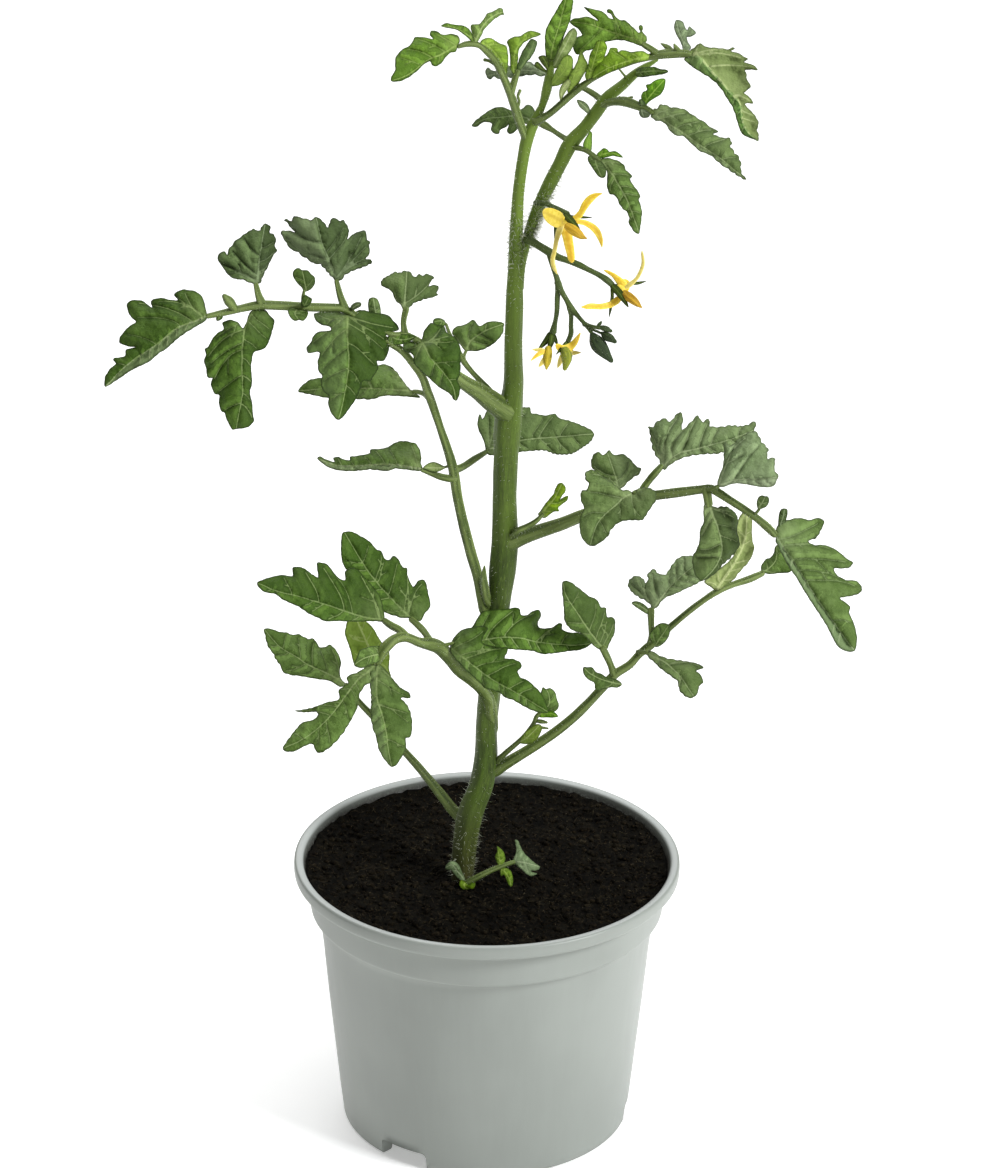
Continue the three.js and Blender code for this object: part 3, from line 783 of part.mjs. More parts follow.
// A leaf blade. It is laid out flat with its midrib and its two toothed edges a and b,
// then lifted: each half slopes away from the midrib by its own fold, and the midrib has its own height.
function blade(leaf, thickness) {
  const C = new THREE.Vector3(...leaf.at);
  const n = new THREE.Vector3(...FACING_POINT).sub(C).normalize();
  const e1 = new THREE.Vector3(0, 0, 1).cross(n).normalize();
  const e2 = n.clone().cross(e1);
  const mid = leaf.mid;
  const height = (x, y, fold) => {
    let best = null;
    for (let i = 0; i < mid.length - 1; i++) {
      const [ax, ay, ah] = mid[i];
      const [bx, by, bh] = mid[i + 1];
      const dx = bx - ax;
      const dy = by - ay;
      const t = Math.min(1, Math.max(0, ((x - ax) * dx + (y - ay) * dy) / (dx * dx + dy * dy)));
      const d = Math.hypot(x - ax - dx * t, y - ay - dy * t);
      if (!best || d < best[0]) best = [d, ah + (bh - ah) * t];
    }
    return best[1] + fold * best[0];
  };
  const flat = [];
  const lift = [];
  mid.forEach((m) => { flat.push([m[0], m[1]]); lift.push(m[2]); });
  const tip = mid.length - 1;
  const halves = [leaf.a, leaf.b].map((edge, side) => edge.map(([x, y]) => {
    flat.push([x, y]);
    lift.push(height(x, y, leaf.fold[side]));
    return flat.length - 1;
  }));
  const down = [];
  for (let i = tip - 1; i > 0; i--) down.push(i);
  const faces = [];
  for (const edge of halves) {
    const loop = [0, ...edge, tip, ...down];
    const contour = loop.map((i) => new THREE.Vector2(flat[i][0], flat[i][1]));
    const turned = THREE.ShapeUtils.isClockWise(contour);
    if (turned) { contour.reverse(); loop.reverse(); }
    for (const f of THREE.ShapeUtils.triangulateShape(contour, [])) faces.push(f.map((i) => loop[i]));
  }
  const rimLoop = [0, ...halves[0], tip, ...halves[1].slice().reverse()];
  const rim = rimLoop.map((i) => new THREE.Vector2(flat[i][0], flat[i][1]));
  if (THREE.ShapeUtils.isClockWise(rim)) rimLoop.reverse();
  const count = flat.length;
  const steep = Math.sqrt(1 + Math.max(leaf.fold[0] ** 2, leaf.fold[1] ** 2));
  const half = (thickness / 2) * steep;
  const pos = [];
  for (const s of [1, -1]) {
    for (let i = 0; i < count; i++) {
      const v = C.clone().addScaledVector(e1, flat[i][0]).addScaledVector(e2, flat[i][1])
        .addScaledVector(n, lift[i] + s * half);
      pos.push(v.x, v.y, v.z);
    }
  }
  const index = [];
  for (const [a, b, c] of faces) {
    index.push(a, b, c);
    index.push(a + count, c + count, b + count);
  }
  for (let i = 0; i < rimLoop.length; i++) {
    const a = rimLoop[i];
    const b = rimLoop[(i + 1) % rimLoop.length];
    index.push(b, a, a + count, b, a + count, b + count);
  }
  const g = new THREE.BufferGeometry();
  g.setAttribute('position', new THREE.Float32BufferAttribute(pos, 3));
  g.setIndex(index);
  return solidOf(g);
}

function largest(solid) {
  const parts = solid.decompose();
  let best = parts[0];
  for (const p of parts) if (p.volume() > best.volume()) best = p;
  return best;
}

function boxesMeet(p, q) {
  const a = p.boundingBox();
  const b = q.boundingBox();
  for (let i = 0; i < 3; i++) if (a.min[i] > b.max[i] || b.min[i] > a.max[i]) return false;
  return true;
}

function united(piece, grow) {
  let solid = null;
  const add = (s) => { solid = solid ? solid.add(s) : s; };
  for (const t of piece.tubes || []) add(tube(t, grow));
  for (const b of piece.blades || []) add(blade(b, BLADE + 2 * grow));
  return solid;
}

// ---- pot and soil ----
const potProfile = [
  [0, FLOOR_LIFT], [BASE_RADIUS - FOOT_RING - 0.4, FLOOR_LIFT], [BASE_RADIUS - FOOT_RING, 0], [BASE_RADIUS, 0],
  [46.2, 9], [50.4, 52], [51.1, 60], [WALL_TOP_RADIUS, BAND_BOTTOM - 0.4], [55, BAND_BOTTOM + 0.9], [BAND_RADIUS, 83.2],
  [LIP_RADIUS - 0.4, 84.1], [LIP_RADIUS, 85.4], [LIP_RADIUS, 87.3], [LIP_RADIUS - 0.6, POT_HEIGHT], [LIP_INNER_RADIUS, 86.6],
  [56.3, 84.7], [54.9, 82.6], [54.2, 80.4], [53.6, BAND_BOTTOM + 1.2], [WALL_TOP_RADIUS - WALL, BAND_BOTTOM - 1.2],
  [BASE_RADIUS - WALL + 0.6, FLOOR_LIFT + FLOOR_THICKNESS + 1], [BASE_RADIUS - WALL - 0.6, FLOOR_LIFT + FLOOR_THICKNESS], [0, FLOOR_LIFT + FLOOR_THICKNESS],
].map(([r, z]) => new THREE.Vector2(r, z));
const turn = (profile) => {
  const g = new THREE.LatheGeometry(profile, SEGMENTS);
  g.rotateX(Math.PI / 2);
  let s = solidOf(g);
  if (s.volume() < 0) throw new Error('profile runs the wrong way');
  return s;
};
let pot = turn(potProfile);
for (const angle of NOTCH_ANGLES) {
  const g = new THREE.BoxGeometry(10, NOTCH_WIDTH, NOTCH_HEIGHT * 2);
  g.translate(BASE_RADIUS, 0, 0);
  g.rotateZ(THREE.MathUtils.degToRad(angle));
  pot = pot.subtract(solidOf(g));
}
const soilProfile = [
  [0, FLOOR_LIFT + FLOOR_THICKNESS + GAP], [BASE_RADIUS - WALL - 0.9, FLOOR_LIFT + FLOOR_THICKNESS + GAP],
  [BASE_RADIUS - WALL + 0.25, FLOOR_LIFT + FLOOR_THICKNESS + 1.2],
  [WALL_TOP_RADIUS - WALL - 0.35, BAND_BOTTOM - 1.1], [53.2, BAND_BOTTOM + 1.4], [53.85, 80.45], [54.55, 82.65],
  [55.2, SOIL_TOP], [0, SOIL_TOP],
].map(([r, z]) => new THREE.Vector2(r, z));
let soil = turn(soilProfile);

// ---- plant ----
// Pieces nearer the front of this list keep their full shape; later ones leave the gap to them.
const ORDER = [
  'main_stem', 'side_branch',
  ...Object.keys(PIECES).filter((n) => /_stalk$|^rear_leaf/.test(n)),
  ...Object.keys(PIECES).filter((n) => /^flower\d_anther/.test(n)),
  ...Object.keys(PIECES).filter((n) => /^flower\d_corolla/.test(n)),
  ...Object.keys(PIECES).filter((n) => !/^main_stem$|^side_branch$|_stalk$|^rear_leaf|^flower\d/.test(n)),
];
const solids = new Map();
const grown = new Map();
for (const name of ORDER) {
  let solid = united(PIECES[name], 0);
  for (const [other, big] of grown) {
    if (boxesMeet(solid, big)) solid = solid.subtract(big);
  }
  solid = largest(solid);
  solids.set(name, solid);
  grown.set(name, united(PIECES[name], GAP));
}
// The stem and the sprout stand in the soil.
for (const name of ['main_stem', 'base_sprout']) soil = soil.subtract(grown.get(name));
soil = largest(soil);

const COLOURS = {
  pot: 0xa6ada8, soil: 0x1d1712, stem: 0x55772f, stalk: 0x5c7a38, leaf: 0x3f6b33, petal: 0xf2d333, anther: 0xd9a21c,
};
function material(name) {
  let key = 'leaf';
  if (name === 'pot' || name === 'soil') key = name;
  else if (/^main_stem$|^side_branch$/.test(name)) key = 'stem';
  else if (/_stalk$|sprout/.test(name)) key = 'stalk';
  else if (/anther/.test(name)) key = 'anther';
  else if (/^flower/.test(name)) key = 'petal';
  return new THREE.MeshStandardMaterial({ color: COLOURS[key], roughness: key === 'pot' ? 0.5 : 0.75, metalness: 0 });
}

const group = new THREE.Group();
for (const [name, solid] of [['pot', pot], ['soil', soil], ...solids]) {
  const mesh = new THREE.Mesh(geometryOf(solid), material(name));
  mesh.name = name;
  group.add(mesh);
}

export default group;
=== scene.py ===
import math
import random
import bpy
import numpy as np
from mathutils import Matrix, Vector, noise
from mathutils.geometry import delaunay_2d_cdt


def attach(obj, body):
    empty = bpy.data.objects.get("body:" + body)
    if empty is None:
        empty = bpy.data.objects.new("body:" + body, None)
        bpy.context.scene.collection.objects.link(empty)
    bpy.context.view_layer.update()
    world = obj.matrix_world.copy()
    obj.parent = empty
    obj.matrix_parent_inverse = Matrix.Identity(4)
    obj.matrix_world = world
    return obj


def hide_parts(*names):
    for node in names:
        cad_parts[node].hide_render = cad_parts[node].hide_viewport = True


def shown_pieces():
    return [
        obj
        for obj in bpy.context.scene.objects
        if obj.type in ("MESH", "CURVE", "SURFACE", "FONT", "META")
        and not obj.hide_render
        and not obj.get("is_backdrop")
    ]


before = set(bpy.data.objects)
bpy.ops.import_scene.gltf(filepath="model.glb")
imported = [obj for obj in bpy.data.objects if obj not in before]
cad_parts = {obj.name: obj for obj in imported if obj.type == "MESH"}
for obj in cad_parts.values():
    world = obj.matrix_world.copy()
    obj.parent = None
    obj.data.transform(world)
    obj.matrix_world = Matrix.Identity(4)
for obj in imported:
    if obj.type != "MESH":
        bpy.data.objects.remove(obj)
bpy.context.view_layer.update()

MM = 0.001
EYE = np.array([3.3, -1107.9, 662.9])     # the point that leaf blades are laid out facing, mm

# Stalks: centre line and radius in mm.
TUBES = [
    {'node': 'main_stem', 'pts': [[-7.34, -8, 79.63], [-7.53, -8, 86.62], [-6.81, -7, 95.5], [-5.02, -5.6, 106.21], [-1.7, -3.6, 114.87], [-0.48, -1.8, 123.25], [-0.46, -0.5, 133.52], [0.49, 0, 145.14], [1.95, 0, 158.58], [2.99, 0, 172.9], [3.89, 0, 184.45], [4.65, 0, 194.94], [4.53, 0, 207.94], [4.84, 0, 220.83], [5.41, 0, 233.61], [6.65, 0, 243.76], [6.54, 0, 255.71], [6.74, 0, 271.3], [6.86, 0, 283.03], [7.19, 0, 294.37], [7.69, 0, 304.75], [8.84, 0, 314.12], [10.18, 0, 321.01], [11.97, 0, 325.48], [14.13, 0, 330.18], [15.47, 0, 335.31], [16.21, 0, 339.79], [16.67, 0, 343.93]], 'r': [3.41, 3.41, 3.71, 3.85, 3.69, 3.5, 3.22, 3.36, 3.19, 3.24, 4.04, 4, 3.56, 3.7, 3.98, 2.96, 2.68, 2.52, 2.07, 1.86, 1.68, 1.7, 1.81, 1.54, 1.06, 1.4, 1.23, 0.74], 'tint': 'stem'},
    {'node': 'side_branch', 'pts': [[7.35, 0, 275.02], [8.53, 0.5, 282.88], [10.38, 1, 290.09], [12.52, 2, 296.69], [14.73, 3, 301.8], [17.03, 3.5, 306.43], [19.52, 4, 311.39], [22.54, 5, 317.38], [26.69, 5.5, 322.35], [29.98, 6, 326.85], [32.76, 6, 330.86], [37.34, 6.5, 334.81], [41.02, 7, 338.18], [44.76, 7, 340.83], [47.23, 7, 342.22]], 'r': [1.9, 1.53, 1.49, 1.57, 1.83, 2, 2, 2.26, 1.85, 1.85, 1.79, 1.47, 1.25, 0.79, 0.35], 'tint': 'stem'},
    {'node': 'leaf1_stalk', 'pts': [[-7.18, -3.6, 102.07], [-10.31, -1.6, 104.35], [-13.78, 2, 107.35], [-17.59, 6.4, 110.38], [-21.75, 12, 113.05], [-25.64, 15.5, 116.01], [-30.9, 20, 120.1], [-36.49, 24, 124.85], [-40.23, 26, 128.1], [-43.38, 27, 132.09], [-44.66, 28, 133.68]], 'r': [1.85, 1.7, 1.55, 1.37, 1.25, 1.15, 1.08, 1.02, 0.94, 0.78, 0.55], 'tint': 'petiole'},
    {'node': 'leaf1_stalk', 'pts': [[-36.42, 24, 124.92], [-35.77, 24, 130.12], [-35.16, 25, 135.52], [-34.82, 25, 140.68]], 'r': [0.78, 0.7, 0.62, 0.47], 'tint': 'petiole'},
    {'node': 'leaf1_stalk', 'pts': [[-43.38, 26.95, 131.77], [-44.97, 26.98, 128.62], [-46.6, 28, 125.01]], 'r': [0.63, 0.47, 0.24], 'tint': 'petiole'},
    {'node': 'leaf2_stalk', 'pts': [[1.24, 0.5, 130.68], [1.05, -1.8, 137.21], [0.26, -3.6, 142.78], [-1.28, -6, 147.26], [-3.11, -8, 150.52], [-5.54, -9, 153.29], [-8.6, -10, 156.36], [-11.3, -12, 160.9], [-14.57, -15, 165.84], [-17.5, -19, 168.91], [-20.52, -23, 171.25], [-23.28, -27, 174.34], [-25.27, -29, 175.74], [-27.67, -32, 176.33], [-29.74, -34, 175.24], [-31.49, -35, 173.12], [-32.65, -36, 170.68]], 'r': [1.38, 1.84, 1.98, 1.9, 1.82, 1.92, 2.04, 2.05, 2.04, 1.94, 1.37, 1.3, 1.39, 1.48, 1.65, 1.44, 1.13], 'tint': 'petiole'},
    {'node': 'leaf2_stalk', 'pts': [[-24.55, -28.44, 175.76], [-26.35, -27.24, 177.18], [-28.84, -26.08, 178.07], [-30.94, -25, 179.19]], 'r': [1.12, 1.07, 1.07, 0.9], 'tint': 'petiole'},
    {'node': 'leaf2_stalk', 'pts': [[-17, -18.31, 168.64], [-18.66, -17.71, 171.5], [-20.53, -17.25, 173.73], [-23.25, -16, 175.77]], 'r': [1.09, 1.05, 1.08, 0.88], 'tint': 'petiole'},
    {'node': 'leaf2_stalk', 'pts': [[-14.54, -15, 165.91], [-12.76, -14, 166.46], [-10.66, -14, 167.14]], 'r': [0.68, 0.6, 0.45], 'tint': 'petiole'},
    {'node': 'leaf3_stalk', 'pts': [[1.65, -2.4, 118.77], [4.71, -3.2, 121.08], [7.76, -3.7, 123.4], [15.06, -3.8, 128.63], [21.49, -3.4, 133.5], [27.41, -3, 138.98], [31.96, -3, 144.16], [34.95, -3, 147.89], [38.61, -2, 151.76], [43.08, -1, 154.59], [45.82, 0, 157.54], [49.34, 1, 160.3], [55.36, 4, 165.05], [61.33, 7, 169.27], [66.24, 9, 172.37], [69.28, 10, 174.09], [73.61, 12, 175.39], [79.97, 15, 176.48], [83.66, 17, 177.45]], 'r': [2, 1.84, 1.69, 1.53, 1.5, 1.41, 1.31, 1.37, 1.34, 1.22, 1.19, 1.34, 1, 0.94, 0.91, 1.02, 0.93, 1.1, 0.9], 'tint': 'petiole'},
    {'node': 'leaf3_stalk', 'pts': [[38.24, -2.04, 151.84], [37.1, -2.75, 155.17], [35.95, -3.91, 158.36], [34.5, -5, 161.84]], 'r': [1.22, 1, 1.06, 1.06], 'tint': 'petiole'},
    {'node': 'leaf3_stalk', 'pts': [[49.1, 0.96, 160.28], [49.49, 0.98, 163.28], [49.31, 0.99, 166.94], [49.12, 2, 171.47]], 'r': [0.99, 0.91, 0.94, 1.14], 'tint': 'petiole'},
    {'node': 'leaf3_stalk', 'pts': [[45.47, 0.04, 158.32], [46.6, -1.99, 159.26], [48.09, -3, 159.4]], 'r': [0.76, 0.68, 0.61], 'tint': 'petiole'},
    {'node': 'leaf3_stalk', 'pts': [[4.12, -3.04, 120.63], [3.16, -3.04, 122.52], [4.98, -4.37, 125.4], [7.41, -5.46, 128.34], [9.83, -6.33, 131.16], [12.24, -6.56, 134.18], [14.02, -7.76, 137.81], [14.91, -7.92, 140.25], [16.41, -8, 141.48]], 'r': [0.92, 0.92, 0.86, 0.8, 0.76, 0.76, 0.7, 0.7, 0.61], 'tint': 'petiole'},
    {'node': 'leaf3_stalk', 'pts': [[14.32, -7.81, 138.51], [16.13, -8.93, 138.89], [17.96, -9, 138.61]], 'r': [0.38, 0.7, 0.37], 'tint': 'petiole'},
    {'node': 'leaf3_stalk', 'pts': [[13.61, -7.49, 136.97], [14.04, -7.49, 136.67], [16.17, -7.82, 136.37], [18.31, -8, 136.14]], 'r': [0.37, 0.37, 0.43, 0.27], 'tint': 'petiole'},
    {'node': 'leaf4_stalk', 'pts': [[5.64, -1, 194.59], [8.18, -1.5, 195.77], [12.42, -2, 197.72], [17.02, -2, 199.42], [21.51, -3, 201.54], [28.1, -3, 204.55], [33.6, -4, 207.05], [38.83, -5, 209.68], [43.87, -6, 211.29], [48.82, -8, 213.06], [56.34, -11, 215.45], [62.13, -13, 217.12], [65.31, -14, 217.84], [67.29, -15, 217.16], [70.88, -16, 215.08], [75.03, -17, 212.7], [79.17, -18, 209.93], [82.2, -19, 207.56], [84.27, -20, 205.76]], 'r': [2.61, 2.4, 2.13, 2.01, 1.89, 1.75, 1.61, 1.49, 1.46, 1.43, 1.42, 1.26, 1.25, 1.24, 1.15, 1.08, 1.12, 1.21, 0.99], 'tint': 'petiole'},
    {'node': 'leaf4_stalk', 'pts': [[45.88, -6.83, 212.18], [45.39, -6.83, 214.15], [47.16, -5.91, 216.87], [49.03, -5.97, 219.38], [50.83, -5, 221.25]], 'r': [0.82, 1.05, 1.01, 1.04, 0.88], 'tint': 'petiole'},
    {'node': 'leaf4_stalk', 'pts': [[63.84, -13.54, 217.59], [63.87, -13.54, 217.26], [65.46, -16.66, 218.87], [67.12, -18, 220.22]], 'r': [0.74, 0.74, 0.66, 0.59], 'tint': 'petiole'},
    {'node': 'leaf4_stalk', 'pts': [[63.86, -13.55, 217.58], [64.24, -15.44, 216.13], [64.64, -16, 213.65]], 'r': [1.25, 1.25, 1.25], 'tint': 'petiole'},
    {'node': 'leaf4_stalk', 'pts': [[45.62, -6.83, 213.57], [44.66, -6.83, 213.38], [43.66, -9.58, 214.81], [42.69, -12, 215.47]], 'r': [0.82, 0.82, 0.74, 0.67], 'tint': 'petiole'},
    {'node': 'leaf4_stalk', 'pts': [[35.89, -4.45, 208.46], [37.14, -1.16, 209.37], [38.05, 1, 211.08]], 'r': [0.67, 0.6, 0.52], 'tint': 'petiole'},
    {'node': 'main_stem', 'pts': [[4.67, 0, 195.59], [5.03, 0, 195.47], [6.97, -3.28, 197.65], [8.79, -5.54, 200.47], [11.2, -5.75, 201.78], [13.97, -6.91, 204.16], [15.74, -7, 206.28]], 'r': [0.98, 1.01, 1, 0.94, 0.87, 0.72, 0.55], 'tint': 'petiole'},
    {'node': 'leaf4_stalk', 'pts': [[77.44, -17.58, 211.08], [78.56, -18.21, 211.98], [79.38, -18.6, 213.27]], 'r': [0.44, 0.44, 0.44], 'tint': 'petiole'},
    {'node': 'leaf5_stalk', 'pts': [[-0.87, -1, 171.65], [-2.13, -2, 176.05], [-3.45, -1, 183.14], [-5.71, 0, 191.21], [-9.49, 1, 207.33], [-11.11, 1, 217.99], [-14.61, -2, 231.01], [-16.93, -4, 239.18], [-18.46, -6, 244.32], [-20.03, -7, 249.35], [-23, -9, 254.73], [-25.93, -10, 258.77], [-30.24, -12, 262.56], [-34.27, -13, 265.67], [-41.4, -15, 272.78], [-43.67, -16, 274.03], [-47.96, -17, 274.47], [-52.29, -17, 274.55], [-61.41, -19, 275.64], [-66.82, -20, 276.03], [-71.34, -21, 275.46], [-76.48, -22, 274.46], [-81.52, -24, 273.97]], 'r': [1.67, 1.53, 1.54, 1.57, 1.47, 1.43, 1.13, 1.24, 1.27, 1.15, 1.08, 1.09, 1.09, 1.09, 1.16, 1.16, 1.23, 1.23, 1.33, 1.24, 1.09, 0.92, 0.7], 'tint': 'petiole'},
    {'node': 'leaf5_stalk', 'pts': [[-65.96, -19.84, 276.11], [-66.1, -19.84, 276.68], [-66.89, -19.94, 279.06], [-67.61, -20, 282.44]], 'r': [0.86, 1.19, 1.04, 0.78], 'tint': 'petiole'},
    {'node': 'leaf5_stalk', 'pts': [[-42.34, -15.41, 273.3], [-42.31, -15.41, 273.5], [-43.6, -14.97, 277.28], [-44.7, -14, 281.54]], 'r': [1.01, 1.11, 0.98, 0.71], 'tint': 'petiole'},
    {'node': 'leaf5_stalk', 'pts': [[-10.93, 1, 216.84], [-8.07, 4, 216.92], [-5.04, 6, 218.34], [-0.99, 8.5, 220.12]], 'r': [1.13, 1.08, 1.05, 0.72], 'tint': 'petiole'},
    {'node': 'leaf5_stalk', 'pts': [[-10.44, 1, 214.43], [-12.25, 0, 214.72], [-14.97, 0, 215.3], [-17.38, 1, 215.87], [-20.34, 1, 217]], 'r': [1.11, 1.05, 0.99, 0.85, 0.64], 'tint': 'petiole'},
    {'node': 'leaf5_stalk', 'pts': [[-18.12, -5.28, 242.38], [-19.64, -3.15, 242.81], [-21.46, -1.05, 242.63], [-22.98, 1, 241.99]], 'r': [0.88, 0.74, 0.67, 0.59], 'tint': 'petiole'},
    {'node': 'leaf5_stalk', 'pts': [[-54.03, -17.38, 274.85], [-53.99, -17.38, 275.34], [-54.23, -17.96, 277.68], [-53.91, -18, 279.83]], 'r': [0.65, 0.65, 0.58, 0.43], 'tint': 'petiole'},
    {'node': 'main_stem', 'pts': [[2.95, 0, 171.61], [0.03, 0, 171.88], [-0.65, -3.05, 176.52], [-1.21, -4.21, 180.32], [-1.59, -4.64, 183.79], [-1.55, -4.93, 186.53], [-1.41, -5, 188.52]], 'r': [0.91, 0.91, 1.21, 1.28, 1.05, 0.68, 0.23], 'tint': 'petiole'},
    {'node': 'leaf5_stalk', 'pts': [[-73.68, -21.44, 275.35], [-75.28, -22.98, 278.29], [-76.52, -24, 280.24]], 'r': [0.91, 1.38, 0.69], 'tint': 'petiole'},
    {'node': 'leaf5_stalk', 'pts': [[-33.69, -12.87, 265.32], [-30.94, -17.43, 264.85], [-28.54, -20.47, 264.29], [-26.17, -22.5, 263.52]], 'r': [0.58, 0.51, 0.43, 0.36], 'tint': 'petiole'},
    {'node': 'leaf6_stalk', 'pts': [[4.58, -1, 236.78], [2.44, -3, 239.02], [0.03, -4, 241.24], [-3.22, -6, 244.49], [-6.18, -8, 247.2], [-8.82, -9, 249.46], [-11.42, -10, 252.22], [-13.73, -11, 255.12], [-16.02, -12, 257.99], [-17.72, -13, 260.23], [-20.29, -14, 262.77], [-22.6, -15, 264.66], [-24.92, -15, 265.87]], 'r': [3.05, 3, 3.04, 2.53, 2.23, 1.96, 1.62, 1.3, 1.17, 1.05, 0.94, 0.87, 0.73], 'tint': 'petiole'},
    {'node': 'leaf6_stalk', 'pts': [[-24.97, -15, 265.87], [-25.36, -14.5, 269.38], [-24.64, -14, 273.2]], 'r': [1.02, 0.87, 1.04], 'tint': 'petiole'},
    {'node': 'leaf6_stalk', 'pts': [[-24.97, -15, 265.87], [-26.92, -16, 265.9], [-29.21, -17, 266.55], [-30.65, -17, 267.15]], 'r': [1.02, 0.87, 0.72, 0.43], 'tint': 'petiole'},
    {'node': 'leaf6_stalk', 'pts': [[2.78, -2.76, 238.89], [3.11, -2.76, 239.4], [0.75, -0.62, 241.76], [-1.04, 0.51, 243.53], [-3.1, 0.63, 245.71], [-5.48, 0.73, 248.32], [-8.12, -0.17, 252.25], [-10.19, -1.09, 256.93], [-12.29, -1.03, 261.26], [-13.21, -1, 264.01]], 'r': [1.18, 1.21, 0.93, 0.87, 0.8, 0.74, 0.86, 0.69, 0.53, 0.43], 'tint': 'petiole'},
    {'node': 'leaf6_stalk', 'pts': [[-8.12, -0.17, 252.25], [-7.93, 0.94, 253.35], [-7.36, 2, 254.53]], 'r': [0.86, 0.52, 0.44], 'tint': 'petiole'},
    {'node': 'leaf8_stalk', 'pts': [[9.95, 0.4, 318.18], [9.04, -0.9, 322.17], [7.29, -2, 327.21], [6.16, -3, 331.31], [4.72, -4, 335.68], [2.86, -6, 340.71], [0.41, -8, 346.02], [-1.88, -9, 348.86], [-3.83, -10, 350.82], [-5.98, -11, 351.64], [-8.45, -12, 351.58], [-9.83, -12.5, 351.15]], 'r': [0.94, 1.15, 1.22, 1.2, 1.14, 1.08, 0.99, 0.95, 0.83, 0.88, 0.73, 0.54], 'tint': 'petiole'},
    {'node': 'leaf8_stalk', 'pts': [[5.1, -3.94, 335.58], [5.82, -3.96, 337.72], [6.34, -3.99, 339.5], [7.23, -4, 341.84]], 'r': [1.04, 0.98, 0.91, 0.64], 'tint': 'petiole'},
    {'node': 'leaf9_stalk', 'pts': [[12.51, -1, 326.03], [14.01, -2, 327.09], [16.59, -3, 329.18], [19.06, -4, 331.7], [22.09, -5, 334.9], [24.87, -5.5, 337.49], [27.65, -6, 339.73], [30.44, -7, 341.55], [33.24, -7.5, 343.19], [36.61, -8, 344.68], [40.52, -9, 346.5], [44.39, -10, 347.91], [47.73, -11, 349.01], [51.38, -12, 349.6], [55.53, -14, 350.03]], 'r': [1.13, 1.05, 0.95, 0.94, 0.97, 0.96, 0.74, 0.58, 0.58, 0.62, 0.71, 0.91, 1.24, 1.24, 0.93], 'tint': 'petiole'},
    {'node': 'leaf9_stalk', 'pts': [[46.7, -10.68, 348.53], [46.64, -10.68, 348.79], [44.7, -9.56, 350.09], [42.54, -9, 351.28]], 'r': [0.78, 0.96, 0.91, 0.82], 'tint': 'petiole'},
    {'node': 'leaf9_stalk', 'pts': [[50.58, -11.78, 349.34], [50.54, -11.78, 349.7], [49.45, -10.1, 350.67], [47.48, -9, 351.65]], 'r': [0.71, 0.71, 0.85, 0.21], 'tint': 'petiole'},
    {'node': 'leaf9_stalk', 'pts': [[52.47, -12.52, 349.6], [52.48, -12.52, 350.22], [51.62, -12.01, 351.23], [51.03, -12, 352.39]], 'r': [0.71, 0.71, 0.71, 0.21], 'tint': 'petiole'},
    {'node': 'leaf10_stalk', 'pts': [[31.34, 5.6, 329.08], [32.89, 4.4, 330.05], [34.84, 2.5, 331], [37.93, 0, 331.77], [41.39, -1, 330.88], [43.67, -2, 330.31], [45.92, -3, 329.45]], 'r': [1.08, 1.15, 1.09, 1.43, 1.25, 1.1, 0.79], 'tint': 'petiole'},
    {'node': 'leaf10_lower_stalk', 'pts': [[22.29, 5, 316.87], [24.15, 3.4, 316.9], [25.84, 1, 317.24], [27.25, -1, 317.28], [29.25, -3, 316.45], [30.97, -4, 315.58]], 'r': [0.8, 0.87, 0.78, 0.75, 0.73, 0.59], 'tint': 'petiole'},
    {'node': 'side_branch', 'pts': [[38.25, 6.71, 337.06], [38.87, 6.71, 336.28], [37.65, 5.65, 338.07], [36.31, 5, 339.88]], 'r': [0.43, 0.43, 0.35, 0.29], 'tint': 'petiole'},
    {'node': 'leaf10_stalk', 'pts': [[36.39, 1.25, 331.32], [36.37, 1.5, 332.74]], 'r': [0.5, 0.37], 'tint': 'petiole'},
    {'node': 'leaf10_stalk', 'pts': [[37.93, 0, 331.86], [39.07, 0.5, 332.7], [40.07, 0.5, 333.07]], 'r': [0.43, 0.43, 0.29], 'tint': 'petiole'},
    {'node': 'leaf8_stalk', 'pts': [[6.69, -2.83, 330.71], [6.94, -2.83, 330.79], [7.58, -3.3, 332.42], [7.19, -3.43, 334.23], [7.75, -3.5, 335.89]], 'r': [0.37, 0.47, 0.41, 0.43, 0.51], 'tint': 'petiole'},
    {'node': 'leaf8_stalk', 'pts': [[1.67, -7.03, 343.47], [0.24, -7.12, 344.62], [-1.18, -7.04, 345.53], [-2.46, -7, 345.85]], 'r': [0.45, 0.41, 0.43, 0.51], 'tint': 'petiole'},
    {'node': 'rear_leaf', 'pts': [[22.17, 8, 317.47], [20.47, 10, 317.93], [17.57, 12, 319.28], [14.82, 13, 320.76], [12.46, 14, 321.58]], 'r': [0.91, 0.77, 0.7, 1.05, 0.87], 'tint': 'petiole'},
    {'node': 'rear_leaf_small', 'pts': [[30.96, 9, 329.85], [28.66, 11, 331.04], [26.35, 12, 332.07], [22.88, 14, 333.1], [19.39, 15, 334.27], [15.91, 16, 335.15]], 'r': [0.95, 0.9, 0.78, 0.75, 0.64, 0.54], 'tint': 'petiole'},
    {'node': 'truss_stalk', 'pts': [[9.39, 1, 290.05], [11.06, -2, 290.38], [13.94, -4, 289.24], [17.2, -6, 287.88], [19.23, -7, 287.02], [21.57, -8, 286.53], [25.11, -9, 285.5], [27.95, -10, 284.37], [30.93, -11, 283.19], [33.51, -12, 281.82], [34.98, -12, 280.46]], 'r': [1.25, 1.19, 1.13, 1.16, 0.99, 0.85, 0.9, 0.75, 0.78, 0.93, 0.8], 'tint': 'flowerstem'},
